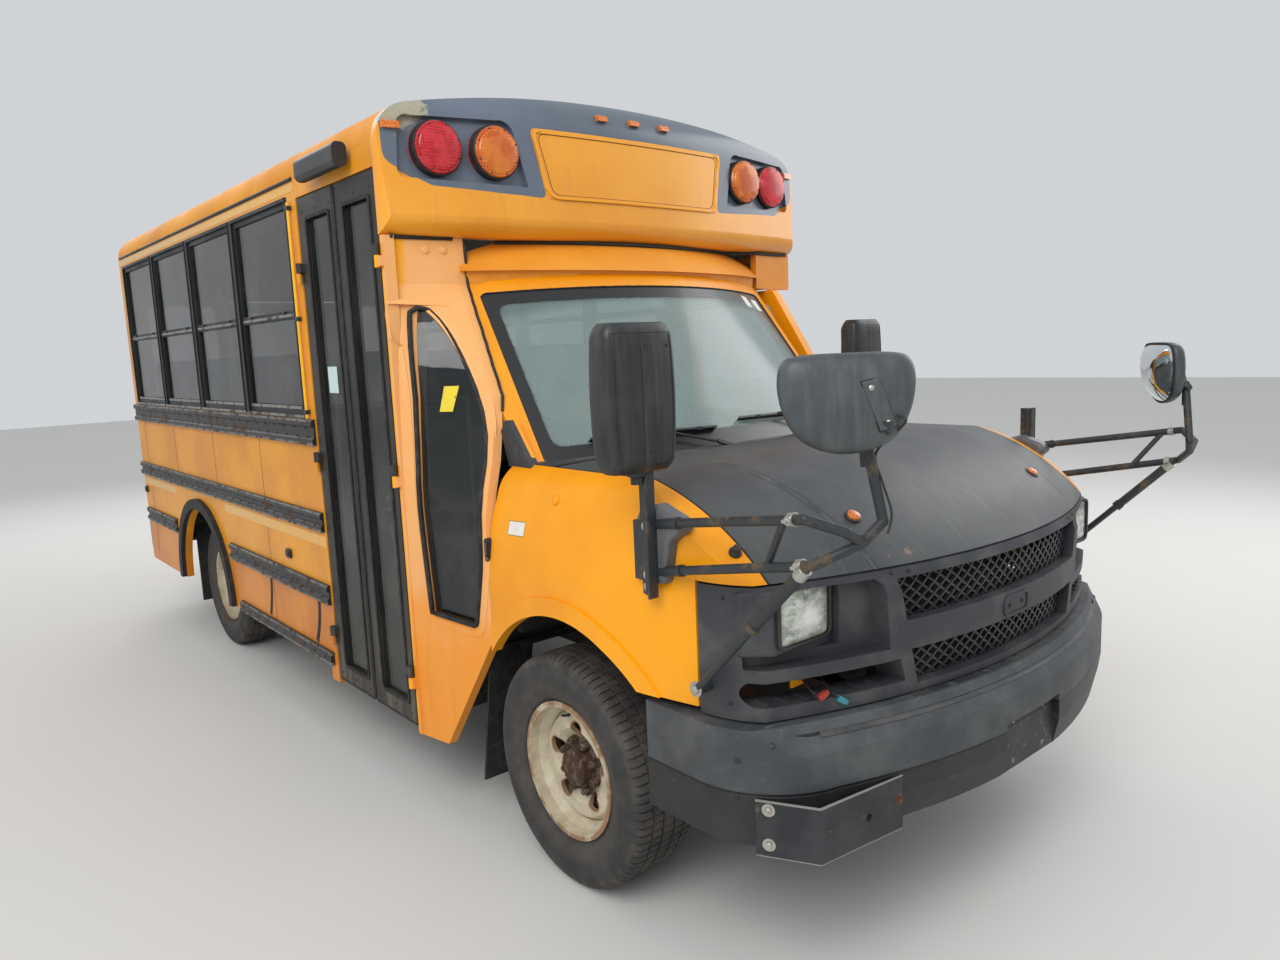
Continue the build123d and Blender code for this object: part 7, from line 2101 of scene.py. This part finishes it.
def fuelFlap():
    ring = oblong(2060, 1090, 2240, 1270, 22)
    flap = Shape().plate([at(1084.4, p[0], p[1]) for p in ring], vec(0.0045, 0, 0))
    flap.make("fuelFlap", "sidePanel", bevel=0.0015)
    # painted shade: dark ribbon round the flap standing in for the shade in its gap
    edge = densePath(offsetPath([tuple(p) for p in ring], 4), 40)
    Shape().ribbon([at(1084.6, p[0], p[1]) for p in edge], vec(1, 0, 0), 0.005, 0.0012,
            closed=True).make("fuelFlapGapShade", "seamBlackAndGapShade")
    knuckle = Shape().rod(at(1091, 2054, 1140), at(1091, 2054, 1220), 0.006, 14)
    knuckle.turned([(0.011, 0), (0.011, 0.005), (0, 0.006)], at(1088, 2215, 1180), (1, 0, 0), 20)
    knuckle.make("fuelFlapHinge", "blackPlastic")


rearDetails()
stopArmDetails()
driverDoorDetails()
fuelFlap()
print("stage: rear and driver's side")


# Inside: padded benches and driver's seat, dash, wheel, rails; then the chassis fittings

inside = {"rows": 4, "firstRow": 1616, "pitch": 793.75, "floor": 745}


def vinylMaterial():
    material = newMaterial("calenderedVinylCover")
    worn = patches(0.42, 0.72, 130, 5)
    colour = mix(times(worn, 0.5), "#2f3a46", "#4d5965")
    crease = patches(0.62, 0.7, 34, 5, 0.7, (1, 1, 0.5))
    colour = mix(times(crease, 0.3), colour, "#77808a")
    feed(colour, "Base Color")
    setShader(Roughness=0.46)
    grain = cells("DISTANCE_TO_EDGE", 2.4)
    height = plus(grain, times(blobs(60, 3), 3.0))
    bump(height, 0.4, 0.0009)
    return material


finishes["vinylCover"] = vinylMaterial()


def padMesh(centre, half, axes, radius, crown, seed):
    # rounded pad: a gridded box whose broad face crowns and sags a little between its welts
    steps = 18
    spread = [sin(pi / 2 * (2 * i / steps - 1)) for i in range(steps + 1)]
    verts, faces, index = [], [], {}
    rng = vec(seed * 3.1, seed * 1.7, seed * 0.9)

    def corner(p):
        # grid point on the unit box to a rounded, crowned pad
        core = Vector([max(-h + radius, min(h - radius, c * h)) for c, h in zip(p, half)])
        full = Vector([c * h for c, h in zip(p, half)])
        away = full - core
        point = core + (away.normalized() * radius if away.length > 1e-9 else vec(0, 0, 0))
        swell = (1 - p[0] ** 4) * (1 - p[1] ** 4)
        dent = exp(-((p[0] * 1.6) ** 2 + (p[1] * 1.4) ** 2)) * 0.35
        wave = noise.noise(point * 14 + rng) * 0.0022 + noise.noise(point * 45 + rng) * 0.0007
        point.z += copysign(1, p[2]) * crown * (swell - dent) * (abs(p[2]) > 0.5)
        return point + vec(0, 0, wave)

    def vertex(axis, side, i, j):
        p = [0, 0, 0]
        p[axis], p[(axis + 1) % 3], p[(axis + 2) % 3] = side, spread[i], spread[j]
        key = tuple(round(c, 6) for c in p)
        if key not in index:
            index[key] = len(verts)
            q = corner(p)
            verts.append(centre + axes[0] * q.x + axes[1] * q.y + axes[2] * q.z)
        return index[key]

    for axis in range(3):
        for side in (-1, 1):
            grid = [[vertex(axis, side, i, j) for j in range(steps + 1)] for i in range(steps + 1)]
            faces += [(grid[i][j], grid[i + 1][j], grid[i + 1][j + 1], grid[i][j + 1]) for i in range(steps)
                    for j in range(steps)]
    return verts, faces


def pad(name, centre, half, axes, radius, crown, seed, stands):
    obj = Shape().add(*padMesh(centre, half, axes, radius, crown, seed)).make(name, "vinylCover", sharpDeg=180)
    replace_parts(obj, stands)


def welt(shape, centre, half, axes, inset, height):
    # piping round the broad face
    line = []
    for p in densePath(oblong(-half[0] + inset, -half[1] + inset, half[0] - inset, half[1] - inset, 0.035), 0.06):
        line.append(centre + axes[0] * p[0] + axes[1] * p[1] + axes[2] * height)
    shape.pipe(line, 0.0035, 8, closed=True)


def benches():
    welts, legs, bolts = Shape(), Shape(), Shape()
    flat = (vec(1, 0, 0), vec(0, 1, 0), vec(0, 0, 1))
    for row in range(inside["rows"]):
        start = inside["firstRow"] + row * inside["pitch"]
        for sign, side in sides:
            name = f"bench{row + 1}{side}"
            middle = at(sign * 620, start + 205, 1032)
            half = vec(0.384, 0.222, 0.056)
            pad(name + "Cushion", middle, half, flat, 0.034, 0.010, row * 2 + sign, "passenger_seats")
            welt(welts, middle, half, flat, 0.006, 0.040)
            lean = vec(0, 0.07, 0.67).normalized()
            axes = (vec(1, 0, 0), lean, vec(1, 0, 0).cross(lean))
            middle = at(sign * 620, start + 492, 1395)
            half = vec(0.384, 0.345, 0.052)
            pad(name + "Back", middle, half, axes, 0.038, 0.008, row * 5 + sign + 9, "passenger_seats")
            welt(welts, middle, half, axes, 0.006, 0.038)
            welt(welts, middle, half, axes, 0.006, -0.038)
            legs.pipe([at(sign * 300, start + 90, inside["floor"] + 6), at(sign * 300, start + 120, 972)], 0.0125, 12)
            legs.pipe([at(sign * 300, start + 430, inside["floor"] + 6), at(sign * 300, start + 400, 972)], 0.0125,
                    12)
            legs.block(at(sign * 270, start + 60, inside["floor"]), at(sign * 330, start + 460, inside["floor"] + 6))
            for s in (start + 75, start + 445):
                bolts.bolt(at(sign * 320, s, inside["floor"] + 6), (0, 0, 1), 0.007, 0.006)
    welts.make("benchWelts", "vinylCover")
    legs.make("benchLegs", "railBlack")
    bolts.make("benchBolts", "screwZinc")


def driverSeat():
    flat = (vec(1, 0, 0), vec(0, 1, 0), vec(0, 0, 1))
    welts = Shape()
    middle, half = at(510, 1068, 1042), vec(0.252, 0.192, 0.062)
    pad("driverCushion", middle, half, flat, 0.040, 0.012, 31, "driver_seat")
    welt(welts, middle, half, flat, 0.008, 0.044)
    lean = (at(0, 1345, 1668) - at(0, 1262, 1075)).normalized()
    axes = (vec(1, 0, 0), lean, vec(1, 0, 0).cross(lean))
    middle, half = at(510, 1318, 1370), vec(0.252, 0.300, 0.058)
    pad("driverBack", middle, half, axes, 0.042, 0.010, 37, "driver_seat")
    welt(welts, middle, half, axes, 0.008, 0.042)
    welts.make("driverWelts", "vinylCover")
    stand = Shape().block(at(375, 990, 748), at(645, 1300, 925)).block(at(350, 960, 925), at(670, 1330, 945))
    for x in (385, 635):
        stand.block(at(x - 16, 930, 945), at(x + 16, 1330, 982))
    stand.pipe([at(430, 905, 962), at(590, 905, 962)], 0.009, 12)
    stand.make("driverPedestal", "railBlack", bevel=0.004)
    belt = Shape().ribbon(smoothLine([at(770, 1300, 1560), at(700, 1262, 1420), at(560, 1232, 1220),
            at(420, 1180, 1120)], 6), vec(0, -1, 0.3), 0.046, 0.0018)
    belt.make("driverBelt", "rubber")


def dashDetails():
    skin = Skin("dashboard")
    panel, dark, lens = Shape(), Shape(), Shape()

    def face(x, z):
        hit = skin.hit((x / 1000, st(760), z / 1000), (0, -1, 0))
        return hit[0] if hit else None

    for x in (-760, -420, 120, 770):
        p = face(x, 1195)
        if p:
            dark.block(p + vec(-0.055, -0.002, -0.022), p + vec(0.055, 0.004, 0.022))
            for k in range(5):
                panel.tilted(p + vec(0, 0.0055, -0.016 + 0.008 * k), (0.052, 0.0025, 0.0012), (1, 0, 0), (0, 0.4, 1))
    hood = []
    for k in range(13):
        turn = pi * k / 12
        hood.append(at(480 + 178 * cos(turn), 560, 1205 + 62 * sin(turn)))
    Shape().ribbon(hood, [vec(cos(pi * k / 12), 0, sin(pi * k / 12)) for k in range(13)], 0.09,
            0.006).make("clusterHood", "dash", bevel=0.002)
    for x, r in ((400, 44), (480, 50), (560, 44)):
        p = face(x, 1205)
        if p:
            lens.turned([(r / 1000, 0), (r / 1000, 0.004), (r / 1000 - 0.004, 0.005), (r / 1000 - 0.005, 0.002),
                    (0, 0.002)], p, (0, 1, 0), 32)
    p = face(230, 1190)
    if p:
        dark.block(p + vec(-0.085, -0.002, -0.026), p + vec(0.085, 0.007, 0.026))
        for k in (-1, 1):
            panel.turned([(0.013, 0), (0.012, 0.014), (0, 0.015)], p + vec(0.07 * k, 0.007, 0), (0, 1, 0), 20)
    dark.make("dashRecesses", "blackPlastic", bevel=0.002)
    panel.make("dashLouvres", "dash")
    lens.make("gaugeFaces", "blackPaint")
    centre = at(480, 700, 1198)
    axis = vec(0, 220, 75).normalized()
    wheel = Shape().turned([(0.078, -0.016), (0.084, -0.004), (0.080, 0.014), (0.062, 0.026), (0.03, 0.032),
            (0, 0.033)], centre, axis, 36)
    wheel.make("steeringPad", "dash")
    stalks = Shape()
    for k in (-1, 1):
        root = centre - axis * 0.07
        stalks.pipe([root, root + vec(0.07 * k, 0.0, 0.008), root + vec(0.145 * k, 0.006, 0.02)],
                [0.006, 0.0065, 0.009], 10)
    stalks.make("columnStalks", "blackPlastic")
    Shape().block(at(-190, 500, 748), at(190, 900, 1010)).make("engineCover", "dash", bevel=0.06, bevelSteps=5)


def entryDetails():
    rail = smoothLine([at(-1000, 1566, 900), at(-985, 1570, 960), at(-985, 1570, 1500), at(-1000, 1566, 1560)], 6)
    Shape().pipe(rail, 0.0145, 16).make("entryGrabRail", "brightSteel")
    barrier = Shape().pipe([at(-1000, 1592, 1500), at(-330, 1592, 1500), at(-330, 1592, 760)], 0.0145, 14)
    barrier.make("barrierRail", "brightSteel")
    modesty = Shape().block(at(-1000, 1586, 930), at(-340, 1598, 1480))
    modesty.make("modestyPanel", "dash", bevel=0.004)


def chassisFittings():
    straps, shocks, clamps = Shape(), Shape(), Shape()
    low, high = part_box("fuel_tank")
    for share in (0.22, 0.78):
        y = low[1] + (high[1] - low[1]) * share
        straps.block((low[0] - 0.002, y - 0.017, low[2] - 0.003), (high[0] + 0.002, y + 0.017, low[2] + 0.0005))
        straps.block((high[0] - 0.0005, y - 0.017, low[2] - 0.003), (high[0] + 0.003, y + 0.017, high[2]))
        straps.bolt((high[0] - 0.05, y, low[2] - 0.003), (0, 0, -1), 0.008, 0.008)
    straps.make("fuelTankStraps", "railBlack", bevel=0.001)
    for sign in (-1, 1):
        top, foot = at(sign * 470, 3360, 640), at(sign * 560, 3420, 330)
        shocks.rod(top, top.lerp(foot, 0.52), 0.030, 20)
        shocks.rod(top.lerp(foot, 0.5), foot, 0.024, 20)
        shocks.turned([(0.014, -0.022), (0.020, -0.022), (0.020, 0.022), (0.014, 0.022)], foot, (1, 0, 0), 16)
    shocks.make("rearDampers", "undercoat")
    pipe = Skin("exhaust")
    for s in (2000, 2600, 3100, 4200):
        hit = pipe.hit((-0.64, st(s), 0.2), (0, 0, 1))
        if hit:
            clamps.turned([(0.031, -0.014), (0.036, -0.014), (0.036, 0.014), (0.031, 0.014)],
                    hit[0] + vec(0, 0, 0.030), (0, 1, 0), 24)
    clamps.make("exhaustClamps", "rustySteel")


def brightTube():
    newMaterial("brushedStainlessTube")
    brushed = blobs(3, 3, 0.6, (1, 1, 0.05))
    return finished(mix(brushed, "#c3c4c2", "#9fa09d"), Metallic=0.9, Roughness=0.32)


finishes["brightSteel"] = brightTube()
benches()
driverSeat()
dashDetails()
entryDetails()
chassisFittings()
print("stage: inside and chassis")


# Studio

studio = {"floor": "#d9d8d4", "worldStrength": 0.72, "worldColour": "#f1f4f8", "keyWatts": 400.0, "fillWatts": 190.0}


def makeStudio():
    bpy.ops.mesh.primitive_plane_add(size=60, location=(0, 0, 0))
    floor = bpy.context.object
    floor.name = "studioFloor"
    material = newMaterial("paintedStudioFloor")
    grain = blobs(400, 3)
    colour = mix(times(grain, 0.2), studio["floor"], "#cfcdc8")
    feed(colour, "Base Color")
    setShader(Roughness=0.85)
    floor.data.materials.append(material)
    world = bpy.data.worlds.new("softWorld")
    scene.world = world
    world.use_nodes = True
    background = world.node_tree.nodes["Background"]
    background.inputs[0].default_value = hexColour(studio["worldColour"])
    background.inputs[1].default_value = studio["worldStrength"]
    for name, place, size, watts in (("keyPanel", (-6.0, -5.0, 6.5), 5.0, studio["keyWatts"]),
            ("fillPanel", (6.5, -3.0, 5.0), 5.0, studio["fillWatts"]), ("rearPanel", (0.0, 8.0, 6.0), 5.0,
            studio["fillWatts"])):
        lamp = bpy.data.lights.new(name, "AREA")
        lamp.energy, lamp.size = watts, size
        holder = bpy.data.objects.new(name, lamp)
        scene.collection.objects.link(holder)
        holder.location = place
        holder.rotation_euler = (vec(0, 0, 1.2) - Vector(place)).to_track_quat("-Z", "Y").to_euler()


def makeCamera():
    # solved from the photograph: 40.1 degrees off the bus's axis, 8.3 down, rolled 2.4
    yaw, pitch, roll = radians(40.08), radians(8.305), radians(-2.43)
    forward = vec(sin(yaw) * cos(pitch), cos(yaw) * cos(pitch), -sin(pitch))
    right = vec(cos(yaw), -sin(yaw), 0)
    up = right.cross(forward)
    across = cos(roll) * right + sin(roll) * up
    upward = -sin(roll) * right + cos(roll) * up
    data = bpy.data.cameras.new("photoCamera")
    data.lens, data.sensor_width, data.clip_end = 25.61, 36.0, 200.0
    holder = bpy.data.objects.new("photoCamera", data)
    scene.collection.objects.link(holder)
    turn = Matrix((across, upward, -forward)).transposed().to_4x4()
    holder.matrix_world = Matrix.Translation((-2.5225, axleY - 2.2721, 1.7045)) @ turn
    scene.camera = holder


makeStudio()
makeCamera()
print("stage: studio and camera")
